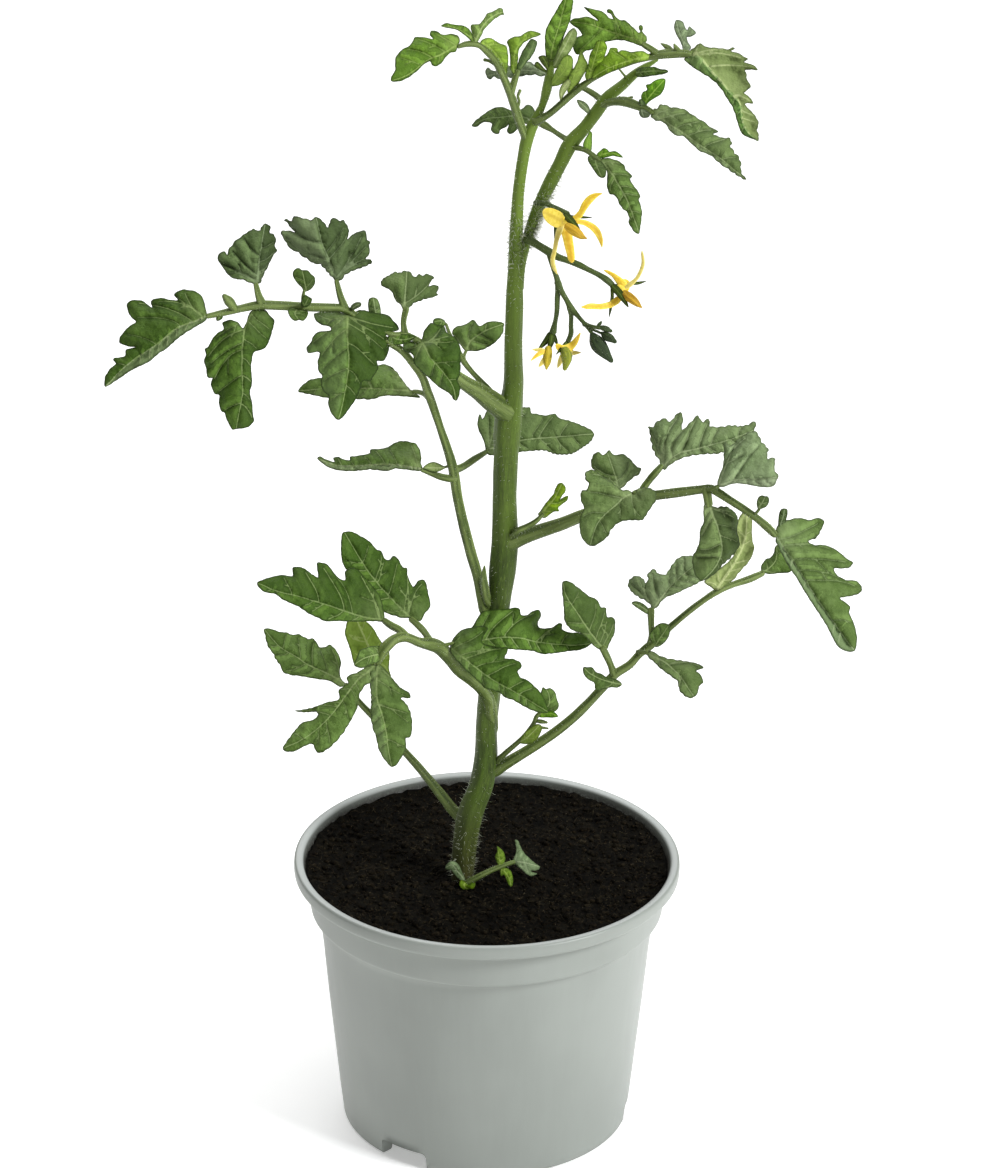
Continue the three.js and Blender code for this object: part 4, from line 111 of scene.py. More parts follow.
    {'node': 'truss_stalk', 'pts': [[16.33, -5.53, 288.08], [17.19, -6.61, 285.67], [18.05, -7.69, 283.3], [19.12, -8.77, 280.68], [19.28, -9.33, 277.79], [19.19, -9.89, 274.91], [19.1, -9.94, 271.18], [18.65, -9.98, 268.07], [18.08, -10, 265.05]], 'r': [0.62, 0.67, 0.64, 0.87, 0.78, 0.78, 0.73, 0.7, 1.08], 'tint': 'flowerstem'},
    {'node': 'truss_stalk', 'pts': [[19.22, -8.88, 280.08], [20.32, -9.91, 277.72], [21.82, -10.94, 275.4], [23.17, -11.96, 273.23], [25.61, -12.98, 270.63], [27.66, -13.99, 268.52], [29.39, -15, 266.44]], 'r': [0.96, 0.84, 0.78, 0.96, 0.64, 0.61, 0.51], 'tint': 'flowerstem'},
    {'node': 'truss_stalk', 'pts': [[22.88, -11.81, 273.48], [23.24, -11.88, 271.05], [23.25, -11.93, 267.99], [23.24, -11.98, 265.22], [22.4, -12, 262.78]], 'r': [0.9, 0.7, 0.67, 0.76, 0.73], 'tint': 'flowerstem'},
    {'node': 'truss_stalk', 'pts': [[26.99, -13.72, 268.97], [29.29, -15.08, 268.72], [31.59, -16, 268.61]], 'r': [0.7, 0.55, 0.52], 'tint': 'flowerstem'},
    {'node': 'truss_stalk', 'pts': [[28.15, -14.27, 267.95], [30.48, -14.92, 267.29], [32.49, -16, 266.77]], 'r': [0.44, 0.36, 0.36], 'tint': 'flowerstem'},
    {'node': 'side_branch', 'pts': [[13.52, 2.61, 299.95], [12.77, 2.61, 300.27], [15.35, -1.31, 301.42], [17.64, -4.08, 301.29], [20.22, -6.67, 300.95], [21.94, -8, 300.5]], 'r': [0.87, 0.87, 0.72, 0.72, 0.72, 0.72], 'tint': 'flowerstem'},
    {'node': 'base_sprout', 'pts': [[-7.01, -11.5, 84.28], [-5.15, -12.5, 85.87], [-2.08, -12.5, 87.64], [0.99, -11.5, 88.89], [4.07, -10.5, 89.78], [6.53, -9.5, 90.33], [8.38, -8.5, 90.52]], 'r': [1.08, 1, 0.93, 0.85, 0.77, 0.7, 0.62], 'tint': 'petiole'},
    {'node': 'flower1_corolla', 'pts': [[20.2, -10, 299.63], [21.65, -10, 298.89], [22.81, -10.5, 298.46]], 'r': [0.86, 1.01, 0.58], 'tint': 'petal'},
    {'node': 'flower2_corolla', 'pts': [[36.79, -12.7, 280.2], [37.82, -13, 279.25], [38.84, -13.5, 278.36]], 'r': [0.87, 1.01, 0.58], 'tint': 'petal'},
    {'node': 'flower1_anther_cone', 'pts': [[21.62, -13, 298.53], [23.06, -14, 297.82], [24.78, -15, 296.97], [25.93, -15.5, 296.24], [26.93, -16, 295.96]], 'r': [1.01, 1.36, 1.22, 0.86, 0.32], 'tint': 'anther'},
    {'node': 'flower2_anther_cone', 'pts': [[38.35, -15, 279.04], [39.5, -16, 278.33], [41.22, -17, 277.33], [42.38, -17.5, 276.45], [43.25, -18, 275.87]], 'r': [0.94, 1.3, 1.15, 0.79, 0.29], 'tint': 'anther'},
    {'node': 'flower3_corolla', 'pts': [[16.79, -13.5, 261.39], [16.66, -14, 260.03], [16.47, -14.5, 258.35], [16.34, -15, 256.99], [16.27, -15, 255.75]], 'r': [0.95, 1.24, 1.24, 0.95, 0.36], 'tint': 'antherolive'},
    {'node': 'flower4_corolla', 'pts': [[21.43, -15, 261.37], [22.01, -16, 260.2], [22.17, -16.5, 258.84], [21.76, -17, 257.01]], 'r': [1.31, 1.6, 1.38, 0.8], 'tint': 'budtip'},
    {'node': 'truss_stalk', 'pts': [[29.33, -15, 266.38], [30.07, -15.5, 265.18], [31.1, -16, 263.68], [32.27, -16.5, 262.33], [33.45, -17, 260.98], [34.63, -17.5, 259.64]], 'r': [0.73, 1.6, 2.1, 1.89, 1.38, 0.8], 'tint': 'bud'},
    {'node': 'truss_stalk', 'pts': [[32.2, -15.81, 267.01], [33.36, -16.4, 266.31], [34.52, -16.96, 265.91], [35.53, -17.5, 265.35]], 'r': [0.51, 1.16, 1.16, 0.72], 'tint': 'bud'},
    {'node': 'truss_stalk', 'pts': [[31.3, -15.88, 268.72], [32.46, -15.93, 268.59], [33.63, -15.98, 268.16], [34.36, -16, 267.87]], 'r': [0.43, 0.8, 0.87, 0.58], 'tint': 'bud'},
    {'node': 'truss_stalk', 'pts': [[30.72, -15.65, 268.78], [31.3, -15.23, 269.25], [31.73, -15, 269.79]], 'r': [0.36, 0.58, 0.43], 'tint': 'bud'},
]

# Leaf and flower blades: a plane that faces EYE, the midrib with its height off the plane, and the two edges, in mm.
BLADES = [
    {'name': 'leaf1_leaflet_tip', 'node': None, 'small': False, 'tint': 'soft', 'under': [0, 0], 'at': [-57, 33.4, 138.8], 'mid': [[12.04, -7.48, 3.34], [8.32, -4.93, 2.27], [4.59, -3.01, 1.17], [0.23, -1.07, -0.2], [-3.19, 1.33, -1.05], [-8.49, 4.7, -2.44], [-13.46, 10.43, -3.27]], 'A': [[10.51, -5.28], [10.24, -2.77], [10.6, -0.26], [9.4, 2.9], [7.23, 5.14], [5.65, 4.53], [4.07, 4.39], [2.22, 7.1], [0.33, 7.13], [-2.8, 8.75], [-4.38, 8.45], [-6.57, 9.26], [-8.46, 9.44], [-11.27, 10.41]], 'B': [[10.46, -8.08], [7.05, -6.17], [2.99, -5.49], [-2.32, -4.48], [-5.13, -4.13], [-7.62, -3.16], [-8.23, -1.58], [-10.09, 1.26], [-10.4, 2.21], [-12.25, 5.06], [-13.16, 8.54]], 'k': [-0.7, 0.5]},
    {'name': 'leaf1_leaflet_side', 'node': None, 'small': False, 'tint': 'lime', 'under': [1, 1], 'at': [-38.9, 28.1, 150.2], 'mid': [[3.96, -10.02, -0.95], [2.12, -5.01, -0.45], [-0.03, -0.01, -0.01], [-2.49, 5.61, 0.49], [-3.71, 9.35, 0.88]], 'A': [[0.53, -10], [-2.89, -9.04], [-4.11, -4.98], [-5.03, -2.16], [-5.95, 0.96], [-5.3, 4.38], [-4.35, 7.18]], 'B': [[8.31, -12.86], [7.7, -10.67], [7.73, -5.06], [4.95, -1.29], [2.78, 2.46], [0.31, 4.97], [-2.16, 8.72]], 'k': [-0.2, -0.2]},
    {'name': 'leaf2_leaflet_left_lower', 'node': None, 'small': False, 'tint': 'mid', 'under': [0, 0], 'at': [-49, -26.4, 185.1], 'mid': [[18.04, -5.14, -2.85], [13.01, -4.19, -2.27], [7.99, -2.8, -1.49], [2.09, -0.67, -0.33], [-1.74, 0.55, 0.34], [-7.61, 2.39, 1.36], [-12.6, 3.62, 2.07], [-19.32, 6.33, 3.53]], 'A': [[17.83, -1.43], [17, 1.85], [14.97, 4.85], [12.62, 7.57], [10.57, 9.98], [8.78, 10.59], [6.67, 9.41], [6.64, 7.01], [4.57, 7.78], [3.1, 9.43], [1.49, 11.54], [-0.73, 12.3], [-1.63, 12.16], [-1.64, 10.66], [-1.37, 7.82], [-2.85, 8.58], [-5.79, 10.69], [-8.15, 11.01], [-8.89, 10.71], [-8.91, 8.33], [-12, 8.65], [-15.52, 7.93], [-17.86, 7.21]], 'B': [[15.37, -5.25], [11.8, -5.36], [7.95, -5.31], [4.1, -5.12], [0.57, -5.07], [-1.78, -4.01], [-4.41, -2.66], [-6.75, -1.01], [-9.68, 0.34], [-12.02, 1.55], [-14.07, 3.04], [-16.99, 3.66], [-18.74, 5]], 'k': [-0.75, 0.75]},
    {'name': 'leaf2_leaflet_left_upper', 'node': None, 'small': False, 'tint': 'mid', 'under': [0, 0], 'at': [-33.7, -9.2, 186.2], 'mid': [[10.25, -12.09, 2.55], [8.47, -10.44, 2.07], [3.42, -5.19, 0.76], [-1.05, -0.08, -0.35], [-4.32, 4.73, -1.09], [-7, 9.24, -1.67], [-9.68, 13.75, -2.24]], 'A': [[7.86, -12.07], [4.57, -11.15], [1.89, -9.95], [-1.37, -6.65], [-3.45, -3.66], [-5.83, -0.66], [-7.91, 1.74], [-9.4, 2.95], [-10.29, 5.34], [-10.58, 8.34], [-10.58, 11.35], [-10.28, 13.15]], 'B': [[12.96, -13.02], [14.48, -10.64], [16.01, -8.86], [15.45, -4.67], [14.29, -0.75], [12.48, -1.05], [10.95, -2.84], [10.35, -1.94], [9.33, 0.77], [9.19, 2.88], [7.99, 3.04], [6.5, 5.61], [5, 6.52], [3.78, 5.31], [2.58, 5.62], [1.39, 8.03], [0.19, 8.33], [-1.91, 10.75], [-4.3, 12.25], [-7.29, 13.76]], 'k': [0.5, -0.75]},
    {'name': 'leaf2_leaflet_end_left', 'node': None, 'small': False, 'tint': 'soft', 'under': [0, 0], 'at': [-44.4, -42.1, 160], 'mid': [[11.6, 11.22, -0.89], [9.22, 9.18, -0.68], [6.25, 6.85, -0.37], [1.78, 1, -0.31], [-2.98, -4.84, -0.18], [-9.49, -10.06, 0.49], [-16.11, -13.21, 1.72]], 'A': [[9.83, 11.24], [6.28, 9.21], [3.02, 7.77], [3.3, 6], [0.63, 3.96], [0.61, 1.31], [-2.64, 0.46], [-7.67, -1.26], [-12.4, -2.1], [-10.04, -2.42], [-5.91, -2.6], [-5.62, -3.34], [-7.1, -4.8], [-10.05, -5.51], [-13.01, -8.56], [-15.37, -11.76]], 'B': [[9.77, 5.92], [8.88, 5.64], [6.8, 3.01], [5.87, -1.39], [3.77, -5.49], [0.8, -9.86], [-2.16, -12.76], [-5.11, -14.48], [-6.28, -13.89], [-7.29, -11.84], [-8.91, -12.11], [-12.44, -13.83], [-14.5, -14.1]], 'k': [-0.45, 0.45]},
    {'name': 'leaf2_leaflet_end_down', 'node': None, 'small': False, 'tint': 'soft', 'under': [0, 0], 'at': [-30.8, -41.7, 156.4], 'mid': [[-1.49, 14.84, 0.68], [-1.79, 11.59, 1.4], [-1.68, 4.23, 0.56], [-0.08, -0.78, 0.12], [0.79, -4.62, -0.26], [1.37, -9.64, -0.81], [2.52, -15.55, -1.42]], 'A': [[-3.56, 12.5], [-3.87, 9.55], [-3.59, 6.6], [-3.6, 3.36], [-3.61, 0.12], [-3.33, -3.13], [-2.16, -6.68], [-1.29, -10.52], [0.47, -13.48]], 'B': [[0.28, 13.66], [2.62, 10.7], [4.98, 8.05], [7.93, 5.97], [7.93, 4.79], [5.26, 4.8], [7.03, 2.72], [8.2, -0.24], [8.49, -3.19], [7.88, -6.74], [6.7, -7.02], [6.68, -9.98], [4.9, -13.51], [3.41, -15.26]], 'k': [-0.5, -0.35]},
    {'name': 'leaf2_leaflet_right_upper', 'node': None, 'small': False, 'tint': 'mid', 'under': [0, 0], 'at': [10, -7.4, 164.8], 'mid': [[-20.62, -0.64, 7.09], [-16.14, 0.01, 6.26], [-11.34, 0.37, 5.29], [-6.54, 1.17, 4.53], [-0.53, 1.09, 2.26], [4.62, -0.05, -1.59], [11.62, -0.73, -5.24], [17.11, -0.82, -7.51], [21.41, -0.17, -10.54]], 'A': [[-17.97, 2.09], [-15, 4.24], [-12.07, 8.8], [-9.07, 9.44], [-4.25, 9.81], [-1.54, 10.3], [-0.63, 9.56], [-0.31, 8.05], [1.51, 8.07], [3.31, 9.31], [5.13, 9.65], [5.75, 8.14], [4.71, 5.7], [5.18, 4.34], [9.14, 4.4], [11.26, 5.79], [12.18, 5.5], [12.19, 3.98], [14.64, 2.95], [17.71, 2.84], [20.17, 1.34]], 'B': [[-16.12, -0.89], [-11.77, -1.14], [-7.4, -1.99], [-4.1, -2.25], [-0.49, -2.52], [3.14, -2.78], [6.47, -3.66], [10.72, -3.31], [14.68, -2.67], [17.73, -2.33], [19.87, -1.4]], 'k': [-0.35, 0.6]},
    {'name': 'leaf2_leaflet_right_lower', 'node': None, 'small': False, 'tint': 'mid', 'under': [0, 0], 'at': [1.9, -24.2, 160.4], 'mid': [[-13.44, 9.21, -6.99], [-8.87, 5.62, -2.04], [-1.35, 0, -0.22], [7.63, -4.98, 2.99], [15.97, -9.95, 6.21]], 'A': [[-12.87, 11.02], [-11.39, 13.15], [-9.91, 14.38], [-7.5, 15], [-3.59, 15.62], [-2.08, 15.02], [-3.56, 12.28], [-3.84, 10.77], [0.07, 9.01], [3.67, 9.19], [3.83, 7.83], [2.79, 6.02], [5.49, 5.75], [7.59, 4.71], [8.19, 3.67], [7, 2.16], [7.61, 0.38], [9.7, -0.5], [12.09, -2.57], [13.88, -4.34], [15.37, -7.29]], 'B': [[-13.11, 7.4], [-9.74, 3.52], [-7.33, 1.15], [-4.31, -1.51], [-2.81, -2.99], [-0.72, -3.57], [1.67, -4.44], [3.17, -5.76], [5.56, -6.48], [7.64, -7.65], [9.73, -8.82], [12.7, -9.97]], 'k': [-0.45, 0.5]},
    {'name': 'leaf2_curled_leaf', 'node': 'leaf2_stalk', 'small': True, 'tint': 'soft', 'under': [0, 0], 'at': [-35.5, -38.3, 172.9], 'mid': [[4.3, 1.31, -2.81], [1.06, 0.73, -0.14], [-1.3, -0.13, 0.91], [-3.95, -1.88, 1.95]], 'A': [[4.02, 3.37], [1.37, 3.68], [-0.69, 3.1], [-2.17, 2.52], [-3.06, 0.46]], 'B': [[3.7, -0.75], [1.34, -1.62], [-0.43, -2.49], [-2.19, -2.77]], 'k': [-0.3, 0.3]},
    {'name': 'leaf3_leaflet_first', 'node': None, 'small': False, 'tint': 'soft', 'under': [0, 0], 'at': [28.4, -9.2, 173.2], 'mid': [[6.47, -9.21, -9.16], [4.29, -6.51, -6.21], [2.12, -3.82, -3.55], [-1.59, 1.54, 1.58], [-5.27, 7.15, 6.93], [-6.22, 10.98, 10.31]], 'A': [[4.64, -8.93], [2.79, -7.44], [-0.28, -4.46], [-3.31, -3.3], [-5.44, -0.93], [-5.79, 2.06], [-6.14, 5.64], [-6.49, 9.2]], 'B': [[7.37, -8.89], [8.25, -6.76], [9.42, -4.31], [9.67, -1.88], [9.51, -0.06], [8.7, 0.83], [7.18, 0.8], [6.7, 3.51], [5.3, 3.78], [3.74, 6.15], [1.92, 6.71], [-1.12, 9.03], [-4.74, 11.32]], 'k': [0.3, -0.5]},
    {'name': 'leaf3_leaflet_pair', 'node': 'leaf3_stalk', 'small': True, 'tint': 'soft', 'under': [0, 0], 'at': [34, -7.8, 153.5], 'mid': [[6.56, -2.18, -2.09], [3.51, -1.63, -1.36], [0.77, -0.93, -0.59], [-1.98, 0.23, 0.41], [-3.82, 1.4, 1.28], [-5.21, 2.88, 2.27]], 'A': [[5.01, -0.69], [3.18, -0.27], [1.66, 0], [0.12, 1], [-1.4, 1.45], [-2.49, 2.79], [-3.85, 2.91]], 'B': [[5.36, -3.11], [3.23, -3.15], [1.12, -3.65], [-0.99, -4.14], [-1.73, -3.4], [-1.82, -1.89], [-3.47, -1.02], [-4.7, 0.17], [-5.33, 1.37]], 'k': [-0.5, 0.5]},
    {'name': 'leaf3_leaflet_small_oval', 'node': 'leaf3_stalk', 'small': True, 'tint': 'soft', 'under': [0, 0], 'at': [51.4, -0.6, 163.1], 'mid': [[-2.37, -1.97, -2.49], [-1.44, -2.56, -2.8], [0.62, 0.24, 0.8], [3.23, 4.24, 4.39]], 'A': [[-2.38, -1.36], [-2.74, 0.76], [-1.57, 2.91], [-0.1, 4.31], [1.4, 4.8]], 'B': [[-0.22, -2.52], [1.87, -1.25], [3.33, 0.92], [3.57, 3.04]], 'k': [0.2, -0.4]},
    {'name': 'leaf3_leaflet_lower', 'node': None, 'small': False, 'tint': 'softer', 'under': [0, 0], 'at': [55.2, -12.2, 157.2], 'mid': [[-7.54, 5.55, -7.19], [-4.76, 4.26, -4.71], [-2.3, 3.11, -2.51], [2.64, -0.98, 2.15], [5.13, -4.51, 5], [6.99, -7.14, 7.15]], 'A': [[-6.35, 6.35], [-3.57, 4.9], [-1.12, 4.21], [1.3, 3.82], [5.54, 3.33], [8.59, 2.52], [9.69, 1.76], [7.42, 0.67], [8.64, -0.2], [9.6, -2.88], [8.42, -3.81], [8.16, -5.62]], 'B': [[-7.2, 4.5], [-5.33, 3.03], [-3.45, 1.26], [-0.99, -0.48], [2.08, -2.79], [2.44, -4.88], [3.98, -6.63], [5.8, -7.47]], 'k': [-0.7, 0.7]},
    {'name': 'leaf3_leaflet_upper', 'node': None, 'small': False, 'tint': 'softest', 'under': [0, 0], 'at': [56.4, 6.8, 177.8], 'mid': [[-6.53, -7.84, 2.17], [-4.35, -4.44, 1.48], [-2.01, -1.34, 0.74], [0.34, 1.16, -0.04], [4.5, 4.92, -1.46], [8.07, 7.77, -2.72]], 'A': [[-7.02, -6.64], [-8.59, -5.17], [-10.75, -4.17], [-13.08, -2.41], [-14.2, -0.77], [-13.95, 0.76], [-12.76, 2.01], [-11.55, 2.35], [-10.01, 1.78], [-8.75, 0.29], [-8.16, 0.92], [-8.23, 3.05], [-7.35, 4.29], [-6.13, 4.33], [-4.57, 3], [-2.75, 3.2], [-1.3, 5.53], [0.46, 7.86], [2.57, 8.84], [5.31, 8.76]], 'B': [[-5.49, -7.21], [-4.03, -5.35], [-2.85, -4.1], [0.15, -2.8], [3.45, -1.04], [6.45, 0.41], [8.25, 1.68], [9.07, 5.06]], 'k': [-0.3, -0.4]},
    {'name': 'leaf3_leaflet_base', 'node': 'leaf3_stalk', 'small': True, 'tint': 'softer', 'under': [0, 0], 'at': [46.1, 0.9, 172.8], 'mid': [[3.06, -1.79, -1.86], [0.9, -0.32, -0.54], [-0.94, 0.69, 0.67], [-2.92, 1.25, 1.66]], 'A': [[2.26, -0.29], [0.56, 1.16], [-0.97, 1.78], [-2.18, 1.81]], 'B': [[1.85, -1.97], [0, -0.92], [-1.84, 0.22]], 'k': [-0.3, 0.4]},
    {'name': 'leaf3_leaflet_upright', 'node': None, 'small': False, 'tint': 'veined', 'under': [1, 1], 'at': [74.3, 14.6, 183.5], 'mid': [[-4.53, -9.93, 0.87], [-3.09, -7.45, -0.1], [-1.36, -4.64, -0.23], [1.51, 0.65, -0.38], [3.74, 6.83, -0.31], [3.77, 14.76, 0.15]], 'A': [[-7.01, -8.8], [-8.58, -7.64], [-7.4, -6.38], [-4.44, -3.83], [-0.88, -0.65], [0.56, 1.84], [0.74, 5.51], [0.61, 9.17], [1.42, 12.25], [2.58, 14.12]], 'B': [[-2.42, -9.26], [-0.64, -7.67], [0.83, -6.1], [1.7, -4.85], [3.46, -2.65], [5.21, -0.45], [6.3, 3.25], [5.73, 5.68], [5.5, 8.72], [5.4, 11.77], [4.71, 14.19]], 'k': [-0.3, -0.3]},
    {'name': 'leaf3_leaflet_tip', 'node': 'leaf3_stalk', 'small': True, 'tint': 'soft', 'under': [0, 0], 'at': [86.3, 20.1, 180.1], 'mid': [[-2.58, -3.33, 2.16], [-0.78, -2.35, 0.92], [1.56, 0.5, -0.77], [1.69, 5.12, -2.2]], 'A': [[-2.94, -1.82], [-1.51, 0.69], [-0.3, 1.05], [0.85, 2.93], [1.1, 4.48]], 'B': [[-0.42, -3.86], [2.93, -3.43], [5.97, -3.01], [6.52, -1.46], [4.59, 1.23], [3.29, 3.33], [2.3, 5.14]], 'k': [-0.3, 0.5]},
    {'name': 'leaf3_shoot_leaf', 'node': 'leaf3_stalk', 'small': True, 'tint': 'soft', 'under': [0, 0], 'at': [17.5, -8.9, 145.2], 'mid': [[-1.1, -2.98, -2.39], [-0.79, -3.13, -2.46], [0.99, -0.37, -0.28], [0.95, 2.36, 1.75], [0.02, 4.16, 3.17]], 'A': [[-1.42, -1.93], [-1.76, 0.8], [-1.49, 3.23], [-0.9, 4.75]], 'B': [[1.33, -3.1], [3.45, -2.16], [4.03, -0.63], [3.4, 1.18], [2.76, 3.3], [1.22, 4.48]], 'k': [-0.2, -0.4]},
    {'name': 'leaf3_shoot_leaf_b', 'node': 'leaf3_stalk', 'small': True, 'tint': 'bright2', 'under': [0, 0], 'at': [17.6, -9.2, 141.3], 'mid': [[-2.5, -0.26, -1.5], [-2.72, 0.04, -1.35], [-0.29, 0.23, 0.02], [1.84, 0.32, 1.11], [3.67, -0.47, 1.72]], 'A': [[-1.82, 1.03], [0.61, 1.15], [2.44, 1]], 'B': [[-1.79, -0.82], [0.34, -0.85], [2.16, -0.83]], 'k': [-0.2, 0.4]},
    {'name': 'leaf3_shoot_bract', 'node': 'leaf3_stalk', 'small': True, 'tint': 'lime', 'under': [1, 1], 'at': [12.8, -8.6, 134.5], 'mid': [[-3.29, -2.65, -3.95], [-0.86, -1.09, -0.43], [1.24, 0.92, 1.28], [3.04, 2.91, 2.92]], 'A': [[-2.7, -1.27], [-1.19, 0.89], [0.62, 2.28], [2.13, 3.05]], 'B': [[-1.76, -3.09], [0.38, -2.9], [2.19, -1.51], [3.37, 0.64], [3.66, 2.16]], 'k': [-0.2, 0.4]},
    {'name': 'leaf4_leaflet_tip', 'node': None, 'small': False, 'tint': 'dark2', 'under': [0, 1], 'at': [96.2, -28.1, 190.4], 'mid': [[-12.27, 16.62, -0.47], [-9.77, 13.18, -0.39], [-7.28, 10.18, -0.26], [-4.77, 6.6, -0.19], [-1.94, 2.45, -0.12], [1.19, -1.99, -0.02], [4.6, -6.26, 0.14], [8.03, -10.83, 0.27], [10.51, -13.96, 0.39], [12.08, -16.25, 0.43]], 'A': [[-12.37, 18.7], [-10.71, 20.86], [-8.39, 21.72], [-5.76, 22.3], [-2.5, 21.87], [-0.46, 22.57], [1.65, 21.78], [0.88, 19.05], [-0.49, 16.6], [-2.81, 15.59], [-0.99, 14.49], [1.95, 14.63], [5.56, 13.32], [8.62, 11.08], [10.76, 9.69], [9.33, 8.14], [5.21, 7.65], [5.86, 6.2], [8.89, 4.55], [11.86, 4.39], [13.71, 2.4], [13.18, 0.89], [9.09, -0.47], [7.33, -0.84], [10.39, -3.37], [10.15, -4.86], [11.77, -8.33], [12.84, -12.99]], 'B': [[-12.32, 15.13], [-11.36, 13.39], [-9.44, 9.93], [-7.73, 7.17], [-5.55, 4.38], [-3.65, 1.34], [-1.46, -1.81], [1.03, -5.23], [3.53, -8.8], [5.43, -12.1], [7.32, -15.07], [9.72, -16.33]], 'k': [-0.6, 0.9]},
    {'name': 'leaf4_leaflet_over_stalk', 'node': None, 'small': False, 'tint': 'softer', 'under': [0, 0], 'at': [36.1, -15.4, 210.5], 'mid': [[6.49, 5.97, -1.42], [3.85, 4.73, -0.66], [1.24, 2.31, -0.12], [-1.37, -0.11, 0.42], [-3.97, -3.12, 0.88], [-6.19, -9.95, 1.06]], 'A': [[4.69, 6.82], [2.92, 6.78], [0.52, 8.52], [-2.19, 10.25], [-5.8, 12.57], [-7.86, 11.93], [-8.12, 10.14], [-6.89, 8.38], [-7.74, 6.58], [-9.04, 6.26], [-9.15, 3.58], [-8.21, 1.23], [-9.33, -1.75], [-9.25, -5.3], [-8.61, -7.65], [-7.39, -9.1]], 'B': [[8.22, 7.48], [12.36, 6.96], [12.99, 5.2], [12.73, 3.43], [11.3, 1.33], [9, -1.96], [7.22, -2], [2.52, -2.69], [-0.09, -5.1], [-0.93, -6.89], [-2.96, -8.7], [-5, -9.93]], 'k': [-0.4, 0.3]},
    {'name': 'leaf4_leaflet_up_small', 'node': None, 'small': False, 'tint': 'softer', 'under': [0, 0], 'at': [36.9, 5.1, 215.4], 'mid': [[1.57, -5.51, 2.15], [0.9, -1.94, 0.22], [-0.37, 1.63, -0.71], [-1.96, 5.8, -1.81]], 'A': [[-0.83, -4.97], [-3.6, -2.03], [-5.76, 0.32], [-6.7, 2.11], [-5.86, 5.13], [-4.36, 5.76], [-3.14, 4.88]], 'B': [[3.05, -4.59], [5.11, -2.46], [6.3, -1.53], [7.79, -0.6], [8.36, 0.91], [6.84, 1.78], [4.99, 3.85], [2.55, 5.3], [0.16, 4.95], [-1.37, 6.42]], 'k': [-0.4, -0.5]},
    {'name': 'leaf4_leaflet_up', 'node': None, 'small': False, 'tint': 'softest', 'under': [0, 0], 'at': [65.1, -0.8, 226.1], 'mid': [[-13.77, -6.54, 2.77], [-9.14, -2.55, 2.99], [-2.69, -0.58, 1.23], [3.79, 1.4, -0.54], [8.5, 3.03, -2.33], [13.21, 5.25, -3.89]], 'A': [[-14.42, -5.08], [-15.06, -3.91], [-16.32, -2.17], [-17.35, 1.37], [-17.73, 3.45], [-18.39, 5.23], [-16.89, 5.27], [-15.46, 7.1], [-13.09, 7.77], [-11.87, 6.9], [-10.16, 9.05], [-8.88, 9.99], [-8.04, 8.21], [-8.21, 4.62], [-5.9, 6.78], [-3.59, 8.94], [-2.34, 7.18], [-0.29, 8.14], [0.08, 6.06], [3.06, 5.85], [6.03, 6.36], [9.6, 6.34], [11.97, 7.01], [13.14, 7.94], [13.77, 6.47]], 'B': [[-13.14, -7.41], [-11.41, -5.88], [-8.5, -4.01], [-5.57, -3.03], [-0.85, -2.3], [2.7, -2.08], [6.23, -0.91], [9.75, 0.68], [12.66, 3.15]], 'k': [-0.6, 0.5]},
    {'name': 'leaf4_leaflet_end_up', 'node': None, 'small': False, 'tint': 'palest', 'under': [0, 0], 'at': [75, -20.8, 223.3], 'mid': [[-8.05, -1.86, -3.2], [-5.73, -0.9, -2.07], [-3.12, 0.07, -0.86], [1.84, 0.53, 0.77], [5.92, 0.82, 2.08], [9.39, 1.37, 3.34]], 'A': [[-8.12, -0.09], [-7.59, 1.69], [-6.79, 4.07], [-6.65, 8.2], [-6.47, 11.16], [-4.95, 10.02], [-2.67, 11.87], [0.78, 14.33], [2.54, 14.38], [4.39, 11.49], [6.21, 9.48], [6.01, 6.83], [8.35, 6.61], [8.14, 3.96], [9.37, 1.95]], 'B': [[-6.57, -2.1], [-4.54, -1.29], [-2.2, -0.92], [1.32, -1.24], [4.83, -1.71], [8.02, -1.3]], 'k': [-0.45, 0.6]},
    {'name': 'leaf4_leaflet_hanging', 'node': None, 'small': False, 'tint': 'softer', 'under': [0, 0], 'at': [66.6, -15, 200.9], 'mid': [[-1.8, 11.76, 6.06], [-0.82, 8.85, 4.61], [0.77, 5.36, 2.71], [1.93, 1.55, 0.69], [2.49, -1.99, -1.14], [1.42, -5.6, -2.91], [-0.56, -8.65, -4.38], [-3.16, -11.42, -5.71]], 'A': [[-3.09, 11.43], [-3.37, 9.07], [-3.22, 6.12], [-4.21, 3.73], [-4.24, 0.77], [-4.94, -1.93], [-6.19, -4.18], [-5.98, -7.04], [-4.99, -10]], 'B': [[-0.58, 10.63], [0.89, 10.68], [3.55, 10.78], [5.68, 9.38], [6.94, 7.05], [6.63, 4.08], [7.66, -0.05], [6.66, -2.16], [4.94, -4.3], [3.1, -6], [1.79, -7.83], [0.06, -9.53], [-1.84, -10.78]], 'k': [-0.3, -0.55]},
    {'name': 'leaf4_leaflet_small', 'node': 'leaf4_stalk', 'small': True, 'tint': 'softer', 'under': [0, 0], 'at': [79.8, -19.9, 215.4], 'mid': [[-0.56, -1.55, -2.03], [-0.81, -1.35, -1.93], [0.3, 0.46, 0.57], [1.22, 2.42, 3.18]], 'A': [[-1.14, -0.48], [-1.19, 0.99], [-0.76, 2.18], [0.21, 2.68]], 'B': [[0.07, -1.32], [1.65, -0.5], [2.34, 0.82], [2.29, 1.88], [1.68, 2.56]], 'k': [-0.2, -0.3]},
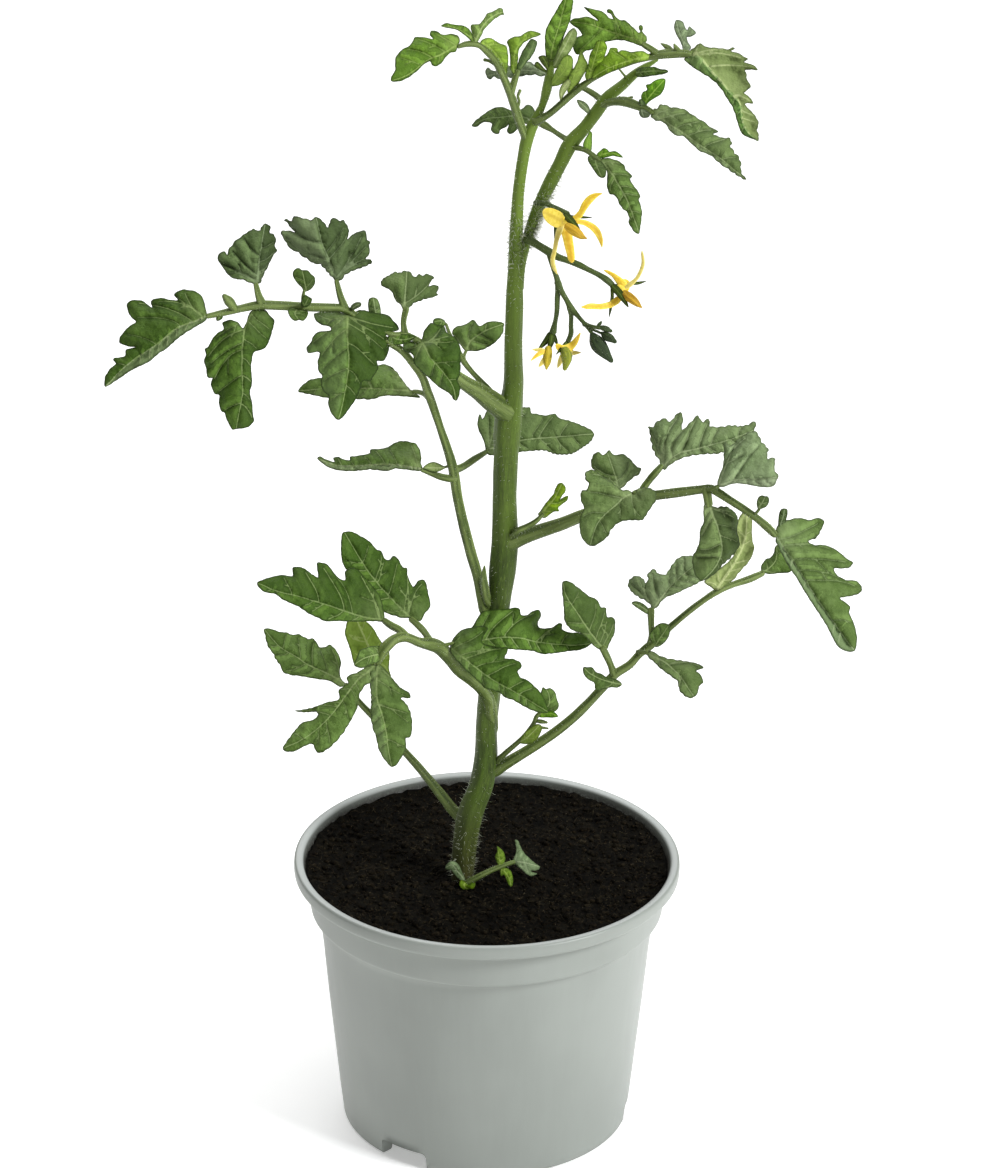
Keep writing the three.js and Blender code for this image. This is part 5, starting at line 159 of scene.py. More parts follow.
    {'name': 'leaf4_tip_small', 'node': 'leaf4_stalk', 'small': True, 'tint': 'dull', 'under': [0, 0], 'at': [86, -17.8, 208.6], 'mid': [[-1.55, -3.51, 1.06], [-0.28, -2.88, 1.22], [0.08, -0.21, -0.37], [0.7, 2.18, -0.86], [0.96, 4.44, -1.28]], 'A': [[-0.85, -2.01], [-0.78, 0.65], [-0.57, 3.02], [0.09, 4.23]], 'B': [[0.74, -1.95], [1.46, 0.73], [1.91, 2.82], [1.74, 4.17]], 'k': [-0.3, -0.3]},
    {'name': 'leaf4_shoot_leaf', 'node': None, 'small': False, 'tint': 'lime', 'under': [0, 0], 'at': [18.6, -8.6, 211.9], 'mid': [[-3.61, -5.11, -9.18], [-1.54, -2.38, -1.14], [0.5, 0.03, 1.26], [1.94, 2.72, 3.73], [2.79, 4.79, 5.6]], 'A': [[-4.22, -4.52], [-3.33, -3.31], [-2.15, -1.49], [-0.69, 0.31], [0.47, 1.81], [0.75, 3], [1.62, 4.48]], 'B': [[-2.41, -5.7], [-1.21, -5.07], [0.26, -3.84], [2.04, -3.51], [1.73, -2.63], [2.6, -1.72], [3.78, -0.81], [4.65, 0.09], [4.64, 0.98], [3.46, 0.67], [2.28, -0.09], [2.86, 0.95], [3.73, 2.15], [4, 3.34], [3.4, 4.21]], 'k': [-0.3, -0.4]},
    {'name': 'leaf5_leaflet_tip', 'node': None, 'small': False, 'tint': 'mid', 'under': [0, 1], 'at': [-94.7, -26.6, 266.6], 'mid': [[13.33, 7.52, 1.25], [8.99, 5.89, 1.06], [4.95, 4.55, 0.94], [-1.78, -0.47, -0.04], [-9.07, -5.18, -0.92], [-16.44, -12.07, -2.36]], 'A': [[12.86, 10.7], [12.08, 13.03], [10.13, 14.81], [7.84, 15.16], [6.55, 15.33], [4.95, 14.65], [4.07, 13.8], [5.17, 12.32], [2.31, 12.54], [0.6, 13.01], [-2.29, 12.51], [-2.6, 11.65], [-2.35, 10.34], [-3.48, 11.09], [-4.89, 12.29], [-6.61, 12.62], [-8.64, 12.38], [-9.53, 11.54], [-9.43, 9.8], [-8.47, 7.75], [-7.06, 6.27], [-8.82, 5.16], [-10.88, 3.19], [-11.78, 1.77], [-11.96, 0.48], [-9.82, -0.58], [-7.53, -1.06], [-10.14, -1.72], [-10.47, -3.43], [-11.92, -3.84], [-13.65, -3.94], [-13.95, -4.51], [-13.11, -5.68], [-14.29, -6.52], [-15.48, -7.93], [-16.38, -9.63]], 'B': [[13.3, 6.65], [9.8, 4.43], [6.89, 2.78], [4.56, 1.11], [1.63, -1.4], [-0.99, -3.06], [-3.33, -5.01], [-6.23, -6.38], [-9.13, -7.76], [-12.06, -9.71], [-14.69, -11.38]], 'k': [-0.6, 0.9]},
    {'name': 'leaf5_leaflet_back_left', 'node': None, 'small': False, 'tint': 'dull', 'under': [0, 0], 'at': [-66.6, -14.6, 288.9], 'mid': [[-1.03, -7.75, 3], [-0.69, -4.61, 1.78], [-0.36, -1.46, 0.56], [0.6, 4.27, -1.66], [1.55, 9.45, -3.66]], 'A': [[-3.04, -7.44], [-4.75, -6.57], [-7.04, -6.26], [-8.47, -5.67], [-9.89, -4.22], [-11.02, -2.49], [-12.15, -0.75], [-11.84, 0.97], [-10.1, 1.67], [-9.53, 0.66], [-8.93, 2.66], [-8.06, 3.23], [-7.46, 4.37], [-6.59, 4.94], [-5.13, 6.07], [-3.38, 7.2], [-1.64, 8.05], [-0.5, 7.45], [0.08, 7.73], [0.68, 8.88]], 'B': [[-0.17, -7.48], [0.73, -5.49], [1.62, -3.78], [2.81, -1.5], [3.7, 0.21], [4.89, 1.93], [4.19, 3.09], [4.65, 4.52], [4.1, 6.26], [2.95, 6.84], [2.99, 8.86]], 'k': [-0.3, -0.5]},
    {'name': 'leaf5_leaflet_down_left', 'node': None, 'small': False, 'tint': 'mid', 'under': [0, 0], 'at': [-71.2, -27.7, 259.4], 'mid': [[3.15, 16.87, -1.27], [0.76, 11.71, 0.4], [-0.06, 6.27, 0.34], [-0.31, 0.53, 0.3], [-0.3, -6.66, 0.26], [-1.11, -11.25, 0.21], [-2.37, -17.28, 0.13]], 'A': [[2.28, 16.3], [1.07, 13.15], [0.18, 11.72], [-1.22, 13.33], [-3.51, 14.1], [-5.69, 13.27], [-5.29, 11.54], [-7.18, 10.42], [-8.81, 8.44], [-10, 6.44], [-10.88, 5.88], [-10.62, 4.14], [-11.23, 2.42], [-10.69, 0.69], [-10.17, -2.35], [-8.87, -2.51], [-9.33, -3.95], [-8.24, -7.13], [-7.09, -7.44], [-7.13, -10.03], [-6.31, -12.34], [-5.74, -12.49], [-4.91, -14.66], [-3.24, -17.56]], 'B': [[4.45, 17.14], [6.61, 16.84], [8.02, 15.1], [9.16, 13.94], [8.51, 10.48], [7.6, 7.9], [6.41, 5.9], [4.66, 5.2], [3.22, 4.79], [2.6, 2.5], [2.27, 0.49], [2.48, -4.12], [1.85, -6.7], [2.37, -9.88], [2.59, -13.34], [2.85, -15.08], [1.09, -16.77]], 'k': [-0.45, -0.4]},
    {'name': 'leaf5_leaflet_back_mid', 'node': None, 'small': False, 'tint': 'dull', 'under': [0, 0], 'at': [-47.9, -7.3, 288.5], 'mid': [[3.03, -8.76, 4.25], [1.06, -3.29, 1.58], [-1.2, 2.21, -1.18], [-2.87, 9.75, -4.55]], 'A': [[1.6, -7.61], [-1.26, -4.43], [-2.13, -3.85], [-3.86, -3.56], [-5.45, -2.39], [-7.04, -1.52], [-8.34, -0.35], [-10.22, 0.38], [-11.38, 1.99], [-12.54, 3.88], [-13.11, 4.9], [-12.67, 5.77], [-10.48, 5.75], [-9.02, 5.45], [-10.47, 6.91], [-11.19, 8.23], [-12.21, 8.67], [-11.61, 9.25], [-9.87, 8.65], [-9.27, 10.1], [-7.53, 9.65], [-5.49, 9.19], [-4.04, 8.89]], 'B': [[4.19, -8.49], [5.36, -7.06], [6.81, -6.21], [8.85, -5.36], [10.6, -4.8], [12.94, -3.66], [13.24, -2.79], [11.5, -2.49], [12.1, -1.63], [12.7, -0.19], [12.42, 0.68], [12.73, 2.42], [11.87, 3], [11.33, 5.62], [8.99, 5.19], [7.53, 4.47], [6.21, 3.32], [6.67, 5.64], [5.83, 7.68], [4.97, 8.85], [3.8, 8.56], [2.35, 9.44], [1.18, 8.57], [0.58, 6.69], [-0.28, 7.71], [-1.71, 9.16]], 'k': [-0.4, -0.35]},
    {'name': 'leaf5_leaflet_down_mid', 'node': None, 'small': False, 'tint': 'mid', 'under': [0, 0], 'at': [-41.9, -25.8, 258.9], 'mid': [[0.8, 16.2, -5.52], [0.76, 11.24, -0.69], [0.86, 6.34, -0.16], [1.12, 2.6, 0.26], [0.65, -2.29, 0.77], [-0.4, -8.04, 1.39], [-1.29, -11.77, 1.8], [-2.18, -14.64, 2.13]], 'A': [[-0.51, 16.21], [-2.24, 16.52], [-5.72, 16.56], [-8.92, 16.01], [-8.63, 14.54], [-7.18, 13.06], [-4.29, 12.16], [-4, 11.28], [-7.77, 10.74], [-9.38, 9.16], [-9.82, 7.87], [-10.99, 6.29], [-10.71, 4.7], [-8.1, 4.97], [-7.24, 4.67], [-7.83, 2.65], [-7.57, -0.81], [-6.7, -1.68], [-7.01, -3.99], [-6.16, -6.58], [-4.72, -7.74], [-5.03, -9.75], [-4.18, -12.48], [-3.04, -14.07]], 'B': [[2.09, 15.61], [3.55, 16.78], [5.3, 17.07], [8.2, 16.2], [12.27, 15.61], [13.85, 14.15], [15.69, 11.51], [13.05, 10.35], [11.59, 9.2], [12.74, 7.46], [12.42, 4.57], [10.95, 2.26], [9.21, 2.27], [9.49, 0.25], [8.02, -2.34], [7.14, -3.49], [5.11, -3.48], [4.52, -5.2], [3.34, -8.07], [1.3, -11.08], [-1.03, -14.08]], 'k': [-0.4, -0.4]},
    {'name': 'leaf5_leaflet_behind', 'node': None, 'small': False, 'tint': 'soft', 'under': [0, 0], 'at': [-39.6, 6.3, 240.4], 'mid': [[16.4, -0.61, 6.12], [11.68, -0.15, 4.46], [6.66, 0.17, 2.63], [-5.23, 0.53, -1.81], [-11.81, 0.26, -4.43], [-17.81, -0.31, -6.95]], 'A': [[14.95, 0.73], [13.79, 2.22], [12.91, 3.41], [10.87, 6.1], [8.81, 7.31], [6.13, 7.33], [0.76, 6.16], [-6.71, 4.42], [-11.21, 3.55], [-14.21, 2.96], [-16.31, 1.48]], 'B': [[18.44, -2.25], [14.02, -2.08], [11.66, -1.92], [7.52, -1.9], [4.56, -2.78], [-0.04, -2.76], [-5.24, -2.74], [-9.12, -2.43], [-13.31, -1.52], [-16.31, -0.91]], 'k': [-0.7, 0.6]},
    {'name': 'leaf5_leaflet_right', 'node': None, 'small': False, 'tint': 'softer', 'under': [0, 0], 'at': [14.1, 13, 222], 'mid': [[-15.32, -3, 3.81], [-10.25, -1.44, 2.73], [-3.97, 0.14, 1.27], [2.34, 0.82, -0.49], [9.87, 1.52, -2.63], [17.13, 2.21, -4.68]], 'A': [[-15.97, -0.61], [-16.91, 1.48], [-18.02, 4.18], [-17.34, 7.81], [-16.56, 6.31], [-15.1, 8.74], [-11.94, 9.39], [-8.33, 9.74], [-4.11, 9.94], [-2.3, 9.82], [-1.98, 8.31], [-0.01, 8.03], [2.26, 7.58], [5.27, 8.11], [6.5, 6.91], [9.83, 6.05], [13.63, 4.59], [16.21, 3.41]], 'B': [[-14.4, -4.48], [-11.1, -4.29], [-8.11, -3.81], [-5.12, -3.47], [-2.12, -3.14], [2.38, -2.96], [5.4, -3.95], [7.81, -4.07], [10.22, -3.89], [13.67, -1.9], [16.23, 0.09]], 'k': [-0.5, 0.5]},
    {'name': 'leaf5_leaflet_left', 'node': None, 'small': False, 'tint': 'soft', 'under': [0, 1], 'at': [-37, 7.2, 216], 'mid': [[16.46, -1.48, 6.73], [11.4, -0.41, 4.86], [5.44, 0.22, 2.45], [-0.55, -0.06, -0.31], [-6.57, -0.33, -3.08], [-11.09, 0.29, -4.83], [-15.01, 2.12, -5.99]], 'A': [[16.2, 0.77], [16.24, 2.86], [15.68, 4.97], [14.8, 6.18], [13.01, 6.8], [10.61, 7.11], [8.5, 6.52], [6.39, 5.32], [3.98, 4.73], [2.18, 4.74], [0.98, 4.45], [0.97, 3.55], [-1.44, 2.96], [-3.25, 2.67], [-5.06, 2.37], [-5.06, 1.47], [-6.57, 1.48], [-7.77, 2.09], [-8.98, 2.39], [-10.19, 2.1], [-9.58, 0.89], [-11.09, 1.2], [-13.2, 2.11], [-14.11, 2.57]], 'B': [[15.85, -1.92], [13.77, -1.76], [11.39, -1.45], [8.71, -1.14], [6.92, -1.58], [6.02, -1.88], [3.93, -1.72], [0.94, -1.41], [-2.06, -1.7], [-5.07, -1.84], [-8.07, -1.67], [-11.09, -0.91], [-13.5, 0.61]], 'k': [-0.9, 0.9]},
    {'name': 'leaf5_leaflet_left_small', 'node': 'leaf5_stalk', 'small': True, 'tint': 'light', 'under': [1, 1], 'at': [-15.1, 1, 217.9], 'mid': [[3.93, 0.44, 0.35], [2.85, 0.09, 0.19], [0.47, -0.22, -0.08], [-2.22, -0.22, -0.13], [-4.91, -0.23, -0.18]], 'A': [[2.55, 0.69], [1.36, 0.38], [0.16, 0.98], [-1.93, 1.57], [-3.72, 0.97]], 'B': [[1.66, -0.36], [0.17, -1.11], [-1.02, -1.41], [-2.82, -1.12]], 'k': [-0.6, 0.6]},
    {'name': 'leaf5_leaflet_s3', 'node': 'leaf5_stalk', 'small': True, 'tint': 'soft', 'under': [0, 0], 'at': [-53.9, -17.2, 281.8], 'mid': [[-0.09, -2.32, 0.03], [0.52, -2.41, 0.03], [0.12, 0.75, 0.07], [-0.56, 3.92, 0.06]], 'A': [[-0.62, -1.25], [-2.04, 0.2], [-3.17, 2.22], [-3.16, 3.37], [-2.28, 4.36], [-1.41, 4.5]], 'B': [[1.67, -1.85], [2.55, -0.99], [3.14, 0.15], [3.02, 1.88], [2.02, 2.75], [1.17, 3.76], [0.16, 3.91]], 'k': [-0.3, -0.3]},
    {'name': 'leaf5_leaflet_s4', 'node': 'leaf5_stalk', 'small': True, 'tint': 'dark', 'under': [0, 0], 'at': [-53.2, -21.4, 277.6], 'mid': [[-0.88, -1.35, -4.74], [0, -0.2, 1.47], [0.88, 1.51, 3.34]], 'A': [[-1.44, -0.19], [-1.13, 1.24], [-0.26, 2.09]], 'B': [[0.27, -1.35], [1.43, -0.21], [1.73, 0.93]], 'k': [0.2, 0.2]},
    {'name': 'leaf5_leaflet_s5', 'node': 'leaf5_stalk', 'small': True, 'tint': 'soft', 'under': [0, 0], 'at': [-55.8, -20.7, 273.8], 'mid': [[0.24, 1.69, -2.53], [-0.64, -0.03, 0.75], [0.48, -1.76, 1.84]], 'A': [[-1.19, 1.99], [-2.64, 1.14], [-2.09, -0.88], [-0.67, -2.04]], 'B': [[1.68, 1.39], [3.11, 0.51], [2.79, -0.92], [1.63, -2.06]], 'k': [0.2, 0.2]},
    {'name': 'leaf5_leaflet_s7', 'node': 'leaf5_stalk', 'small': True, 'tint': 'softer', 'under': [0, 0], 'at': [-33.4, -12.1, 269.6], 'mid': [[0.23, -4.7, 0.14], [0.56, -4.28, 0.3], [0.28, 0.06, -0.33], [-0.28, 2.67, -0.22], [-0.85, 6.15, -0.06]], 'A': [[-0.31, -2.83], [-2.03, 1.81], [-2.31, 3.84], [-2.01, 5.57]], 'B': [[1.14, -2.84], [1.45, 1.22], [1.17, 3.54], [0.31, 5.57]], 'k': [-0.3, -0.3]},
    {'name': 'leaf5_leaflet_s6', 'node': 'leaf5_stalk', 'small': True, 'tint': 'softest', 'under': [0, 0], 'at': [-39.6, -16.1, 274.2], 'mid': [[-1.37, -1.28, -1.8], [-0.6, -0.37, -1.44], [-0.02, 0.2, 0.52], [2.01, 1.34, 2.58]], 'A': [[-0.88, 0.49], [-0.01, 1.35], [1.15, 1.64]], 'B': [[-0.02, -0.66], [1.14, -0.09], [2, 0.48]], 'k': [-0.2, 0.2]},
    {'name': 'leaf5_leaflet_s8', 'node': 'leaf5_stalk', 'small': True, 'tint': 'mid', 'under': [0, 0], 'at': [-78.3, -22.7, 273.1], 'mid': [[0.4, 1.09, 0.29], [0.09, -0.05, -0.19], [-0.51, -0.9, -0.04]], 'A': [[-0.47, 0.82], [-0.78, -0.33]], 'B': [[1.25, 0.79], [0.94, -0.35]], 'k': [0.2, 0.2]},
    {'name': 'leaf6_leaflet_up', 'node': None, 'small': False, 'tint': 'softer', 'under': [0, 0], 'at': [-24.9, -9.6, 277.2], 'mid': [[-0.43, -5.53, 2.76], [-0.14, -2.06, 1], [0.16, 1.7, -0.85], [0.45, 5.76, -2.84]], 'A': [[-1.59, -3.8], [-2.75, -2.93], [-3.33, -1.78], [-3.91, -0.33], [-5.08, 0.54], [-7.12, 1.7], [-6.83, 3.15], [-5.67, 4.03], [-4.5, 4.61], [-3.04, 5.48], [-1.88, 5.18], [-0.71, 5.62]], 'B': [[1.31, -4.67], [2.47, -3.51], [4.22, -2.94], [5.68, -2.36], [7.72, -1.92], [9.48, -1.2], [8.9, -0.62], [9.49, -0.04], [9.49, 1.42], [8.62, 1.71], [7.44, 1.42], [6.86, 1.42], [7.45, 2.87], [8.33, 3.75], [7.16, 4.62], [5.99, 4.91], [5.11, 4.32], [3.95, 4.9], [3.07, 4.03], [2.2, 4.31], [1.61, 5.18]], 'k': [-0.5, -0.6]},
    {'name': 'leaf6_leaflet_front', 'node': None, 'small': False, 'tint': 'mid', 'under': [0, 0], 'at': [-15.1, -22.7, 258.4], 'mid': [[-5.05, 7.74, -6.37], [-3.57, 5.4, -0.57], [-2.41, 3.09, -0.06], [1.36, -1.23, 1.4], [4.25, -5.54, 2.57], [5.12, -9.57, 3.25]], 'A': [[-4.61, 9.2], [-4.18, 10.65], [-3.32, 11.82], [-2.16, 12.99], [-0.41, 12.42], [1.63, 12.14], [2.5, 10.07], [4.24, 9.2], [5.69, 7.46], [6.27, 6.01], [6.41, 1.68], [6.27, -2.08], [5.55, -3.52], [6.27, -5.54], [5.99, -8.13]], 'B': [[-6.79, 7.74], [-10, 7.45], [-9.99, 5.12], [-7.34, 3.66], [-7.04, 1.35], [-5.3, -0.67], [-2.4, -3.26], [0.5, -5.84], [3.39, -7.56], [4.26, -8.99]], 'k': [-0.35, -0.3]},
    {'name': 'leaf6_leaflet_back', 'node': None, 'small': False, 'tint': 'soft', 'under': [0, 0], 'at': [-2.7, 6.3, 257.7], 'mid': [[-4.68, -4.44, 2.94], [-3.52, -1.78, 1.97], [-0.58, 0.6, 0.34], [2.37, 2.1, -1.3], [6.52, 3.61, -3.65]], 'A': [[-6.17, -2.98], [-7.67, -0.92], [-8.88, 1.14], [-7.71, 2.62], [-5.34, 3.23], [-2.39, 4.73], [-0.9, 2.96], [1.61, 4.17], [3.84, 4.34], [5.32, 4.2]], 'B': [[-3.79, -4.43], [-0.84, -4.29], [2.4, -2.92], [3.87, -1.88], [5.64, 0.06], [6.23, 0.95], [6.37, 2.43]], 'k': [-0.6, 0.4]},
    {'name': 'leaf6_shoot_leaf', 'node': 'leaf6_stalk', 'small': True, 'tint': 'dark', 'under': [0, 0], 'at': [-15, -1.9, 264.9], 'mid': [[1.78, -0.54, -1.12], [0.31, 0.33, 0.06], [-2.04, 0.03, 1.15]], 'A': [[1.19, 0.63], [-0.28, 1.21], [-1.75, 0.91]], 'B': [[1.19, -1.13], [-0.28, -1.13], [-1.74, -0.84]], 'k': [-0.3, 0.3]},
    {'name': 'leaf6_bract', 'node': 'leaf6_stalk', 'small': True, 'tint': 'mid', 'under': [0, 0], 'at': [-25.8, -17.5, 265.8], 'mid': [[-3.68, 0.91, -0.31], [-1.66, -0.54, -0.46], [1.24, -0.68, -0.06], [4.13, 0.19, 0.72]], 'A': [[-1.95, 0.77], [0.08, 0.91], [2.4, 0.76]], 'B': [[-3.97, -1.11], [-2.53, -2.27], [0.94, -1.84], [2.97, -0.83]], 'k': [-0.3, 0.3]},
    {'name': 'leaf8_leaflet_tip', 'node': None, 'small': False, 'tint': 'fresh', 'under': [0, 0], 'at': [-18.5, -18.8, 348.4], 'mid': [[8.71, 4.85, -5.01], [7.01, 4, -4.03], [4.19, 2.31, -2.43], [0.25, 0.62, -0.2], [-3.39, -2.17, 1.92], [-6.75, -4.13, 3.84], [-10.09, -5.24, 5.77]], 'A': [[9.28, 5.97], [8.72, 7.37], [6.74, 7.93], [4.48, 7.64], [3.07, 8.47], [1.09, 8.75], [0.81, 7.62], [1.66, 6.5], [-1.16, 7.05], [-3.7, 6.76], [-3.98, 5.92], [-5.1, 4.51], [-6.78, 3.67], [-8.73, 1.43], [-9, -0.52], [-8.99, -2.47], [-10.1, -4.13]], 'B': [[8.14, 3.16], [6.45, 2.6], [5.32, 1.48], [4.47, 0.36], [2.78, -1.04], [1.38, -0.77], [0.81, 0.35], [-0.87, -0.5], [-2.83, -2.45], [-5.07, -4.12], [-7.58, -5.24]], 'k': [-0.5, 0.6]},
    {'name': 'leaf8_leaflet_left', 'node': 'leaf8_stalk', 'small': True, 'tint': 'fresh', 'under': [0, 0], 'at': [-8.8, -12.1, 354.6], 'mid': [[3.23, -2.44, -1.97], [3.4, -1.78, -1.79], [1.13, 0.17, -0.19], [-1.98, 1.82, 1.28], [-5.92, 2.36, 2.57]], 'A': [[2.82, 0.18], [1.97, 1.57], [0.27, 2.54], [-1.42, 2.67], [-3.11, 2.93], [-4.52, 3.2]], 'B': [[1.98, -1.22], [0.28, 0.16], [-1.42, 1.27], [-3.1, 1.68], [-4.79, 1.95]], 'k': [-0.3, 0.5]},
    {'name': 'leaf8_leaflet_upright', 'node': 'leaf8_stalk', 'small': True, 'tint': 'light', 'under': [0, 0], 'at': [-2.1, -8.3, 355.7], 'mid': [[-2.96, -4.64, 1.07], [-2.77, -3.84, 1.29], [-1.66, -1.04, 0.89], [0.3, 1.78, -0.15], [2.55, 3.48, -1.16], [4.81, 4.34, -2.19]], 'A': [[-3.91, -1.89], [-4.21, 0.62], [-1.95, 0.92], [-0.83, 2.05], [0.29, 3.74], [2.26, 4.6], [3.67, 5.45], [4.81, 5.18]], 'B': [[-1.64, -3], [-0.53, -0.75], [1.15, 1.22], [2.84, 2.64], [4.25, 3.49], [5.11, 3.5]], 'k': [-0.3, -0.5]},
    {'name': 'leaf8_leaflet_inner', 'node': 'leaf8_stalk', 'small': True, 'tint': 'bright', 'under': [0, 0], 'at': [-0.1, -7.3, 347.3], 'mid': [[-3.63, 2.84, 3.61], [-3.35, 3.4, 3.77], [-1.08, 2.3, 1.33], [1.2, 0.07, -0.68], [3.22, -3.01, -3.16], [3.82, -5.56, -5.01]], 'A': [[-3.07, 4.24], [-1.67, 4.82], [-0.25, 4.7], [0.89, 4.01], [2.31, 3.18], [3.74, 2.63], [4.33, 0.38], [4.36, -2.44], [4.1, -4.71]], 'B': [[-2.21, 1.73], [-0.79, 0.34], [0.65, -1.34], [2.09, -3.59], [2.96, -5.28]], 'k': [-0.2, 0.3]},
    {'name': 'leaf8_leaflet_hook', 'node': 'leaf8_stalk', 'small': True, 'tint': 'bright', 'under': [0, 0], 'at': [7.9, -2.4, 345.5], 'mid': [[-1.21, -5.97, -0.06], [-1.9, -5.73, 0.02], [-1.94, -1.48, 0.17], [-1.41, 1.91, 0.27], [0.84, 4.76, 0.16], [5.67, 6.51, -0.65]], 'A': [[-2.77, -3.75], [-3.1, -0.08], [-3.41, 2.46], [-4, 4.15], [-2.3, 5.58], [-0.31, 5.88], [2.24, 7.32], [4.52, 7.06]], 'B': [[-1.06, -3.74], [-0.81, -0.91], [-0.55, 1.92], [0.85, 3.91], [3.12, 5.35], [4.82, 5.93]], 'k': [-0.3, -0.3]},
    {'name': 'leaf8_leaflet_dark', 'node': 'leaf8_stalk', 'small': True, 'tint': 'dark', 'under': [0, 0], 'at': [9.6, -5.9, 346.4], 'mid': [[-2.2, -4.2, -3.17], [-0.81, -1.63, -1.25], [0.59, 0.92, 0.68], [2.24, 4.86, 3.57]], 'A': [[-2.79, -3.07], [-2.24, -0.8], [-1.41, 1.46], [-0.01, 3.72], [1.1, 5.13]], 'B': [[-1.36, -3.34], [0.04, -1.34], [1.45, 0.36], [2.55, 2.62], [2.81, 4.31]], 'k': [-0.3, -0.3]},
    {'name': 'apex_leaf_main', 'node': 'main_stem', 'small': True, 'tint': 'fresh', 'under': [0, 0], 'at': [18.3, 0.8, 352.4], 'mid': [[-2.03, -9.5, -1.8], [-1.25, -4.09, 0.45], [0.66, 2.42, 0.59], [2.8, 11.19, 0.81]], 'A': [[-3.2, -7.23], [-3.54, -3.27], [-3.3, 0.12], [-2.19, 2.67], [-0.53, 5.51], [0.86, 8.06], [1.97, 9.77]], 'B': [[-0.06, -7.2], [1.03, -3.79], [2.4, -0.09], [3.5, 3.03], [4.03, 5.86], [4.27, 8.4], [3.68, 10.07]], 'k': [0.4, -0.5]},
    {'name': 'apex_leaf_right', 'node': 'main_stem', 'small': True, 'tint': 'light', 'under': [1, 1], 'at': [19.3, -0.8, 346.8], 'mid': [[-2.99, -4.12, -1.96], [-2.19, -4.22, -2], [-0.23, -1.08, 1.78], [1.71, 2.62, 1.39], [3.64, 6.6, 1]], 'A': [[-1.92, -2.52], [-0.82, 0.33], [0.56, 3.17], [2.23, 5.73]], 'B': [[-1.32, -4.78], [0.93, -2.19], [2.88, 0.38], [4.27, 3.22], [4.52, 5.48]], 'k': [-0.3, -0.4]},
    {'name': 'apex_leaf_low', 'node': 'main_stem', 'small': True, 'tint': 'bright', 'under': [0, 0], 'at': [18.4, -3.4, 340.7], 'mid': [[-3.05, -3.19, -4.43], [-2.39, -3.32, -4.48], [0.16, -1.01, -0.49], [2.39, 1.85, 2.77], [2.9, 5.5, 6.36]], 'A': [[-1.56, -1.03], [-0.45, 1.25], [0.66, 3.52], [1.77, 5.21]], 'B': [[-0.38, -3.29], [2.17, -2.12], [3.85, -0.39], [4.37, 2.44], [4.04, 4.96]], 'k': [-0.3, -0.3]},
    {'name': 'apex_leaf_side', 'node': 'leaf9_stalk', 'small': True, 'tint': 'bright', 'under': [0, 0], 'at': [23.3, -6, 341.4], 'mid': [[-1.29, -5.74, -2.68], [-0.77, -2.62, -1.83], [0.31, 1.36, 0.62], [1.63, 6.99, 4.09]], 'A': [[-2.17, -4.34], [-2.2, -2.07], [-1.38, 0.2], [0.28, 3.05], [1.09, 5.58]], 'B': [[-0.44, -5.45], [0.67, -3.16], [2.33, -0.31], [3.7, 2.53], [2.51, 5.32]], 'k': [-0.2, -0.3]},
    {'name': 'apex_leaf_fold', 'node': 'leaf9_stalk', 'small': True, 'tint': 'veined', 'under': [0, 0], 'at': [20.5, -5.2, 336.7], 'mid': [[-1.01, -3.75, -2.14], [-0.77, -0.34, -0.36], [0.34, 1.38, 0.72], [1.46, 2.8, 1.64]], 'A': [[-1.61, -1.48], [-1.36, 0.51], [-0.24, 2.22], [0.89, 3.08]], 'B': [[-0.74, -2.6], [0.09, -0.89], [1.21, 0.82], [1.75, 2.24]], 'k': [-0.2, -0.3]},
    {'name': 'leaf9_leaflet_back', 'node': None, 'small': False, 'tint': 'fresh', 'under': [0, 0], 'at': [33.4, -2.7, 353], 'mid': [[9.44, -3.12, 5.4], [6.59, -1.76, 3.77], [4.03, -0.96, 2.29], [-1.68, 0.63, -1.01], [-6.56, 2.25, -3.79], [-11.73, 2.74, -6.9]], 'A': [[10.27, -2.12], [10.11, -1], [9.25, -0.04], [8.82, 0.52], [9.06, 1.22], [8.88, 1.98], [8.31, 2.2], [7.86, 1.77], [8.02, 0.93], [8.34, 0.37], [7.98, -0.06], [6.83, 1.05], [5.39, 2.29], [3.95, 3.4], [2.53, 3.52], [1.81, 3.93], [0.94, 4.91], [0.21, 6.17], [-0.52, 6.58], [-1.22, 6.29], [-1.07, 5.58], [-0.35, 5.31], [0.38, 4.33], [0.68, 3.77], [-0.32, 3.9], [-1.48, 5.01], [-2.64, 5.85], [-3.79, 6.11], [-6.08, 6.64], [-7.81, 7.05], [-6.05, 5.23], [-3.73, 3.28], [-4.88, 3.69], [-6.6, 4.23], [-9.46, 3.91], [-10.89, 3.6]], 'B': [[8.89, -3.69], [7.18, -3.16], [4.91, -2.49], [2.64, -2.11], [-0.19, -2.44], [-2.45, -3.04], [-4.41, -4.48], [-5.83, -5.07], [-7.25, -5.38], [-8.38, -6.25], [-9.81, -6.28], [-10.55, -4.88], [-10.59, -3.19], [-9.91, -1.76], [-8.21, -0.89], [-8.8, 0.24], [-9.97, 1.21], [-11.14, 1.9]], 'k': [-0.5, 0.35]},
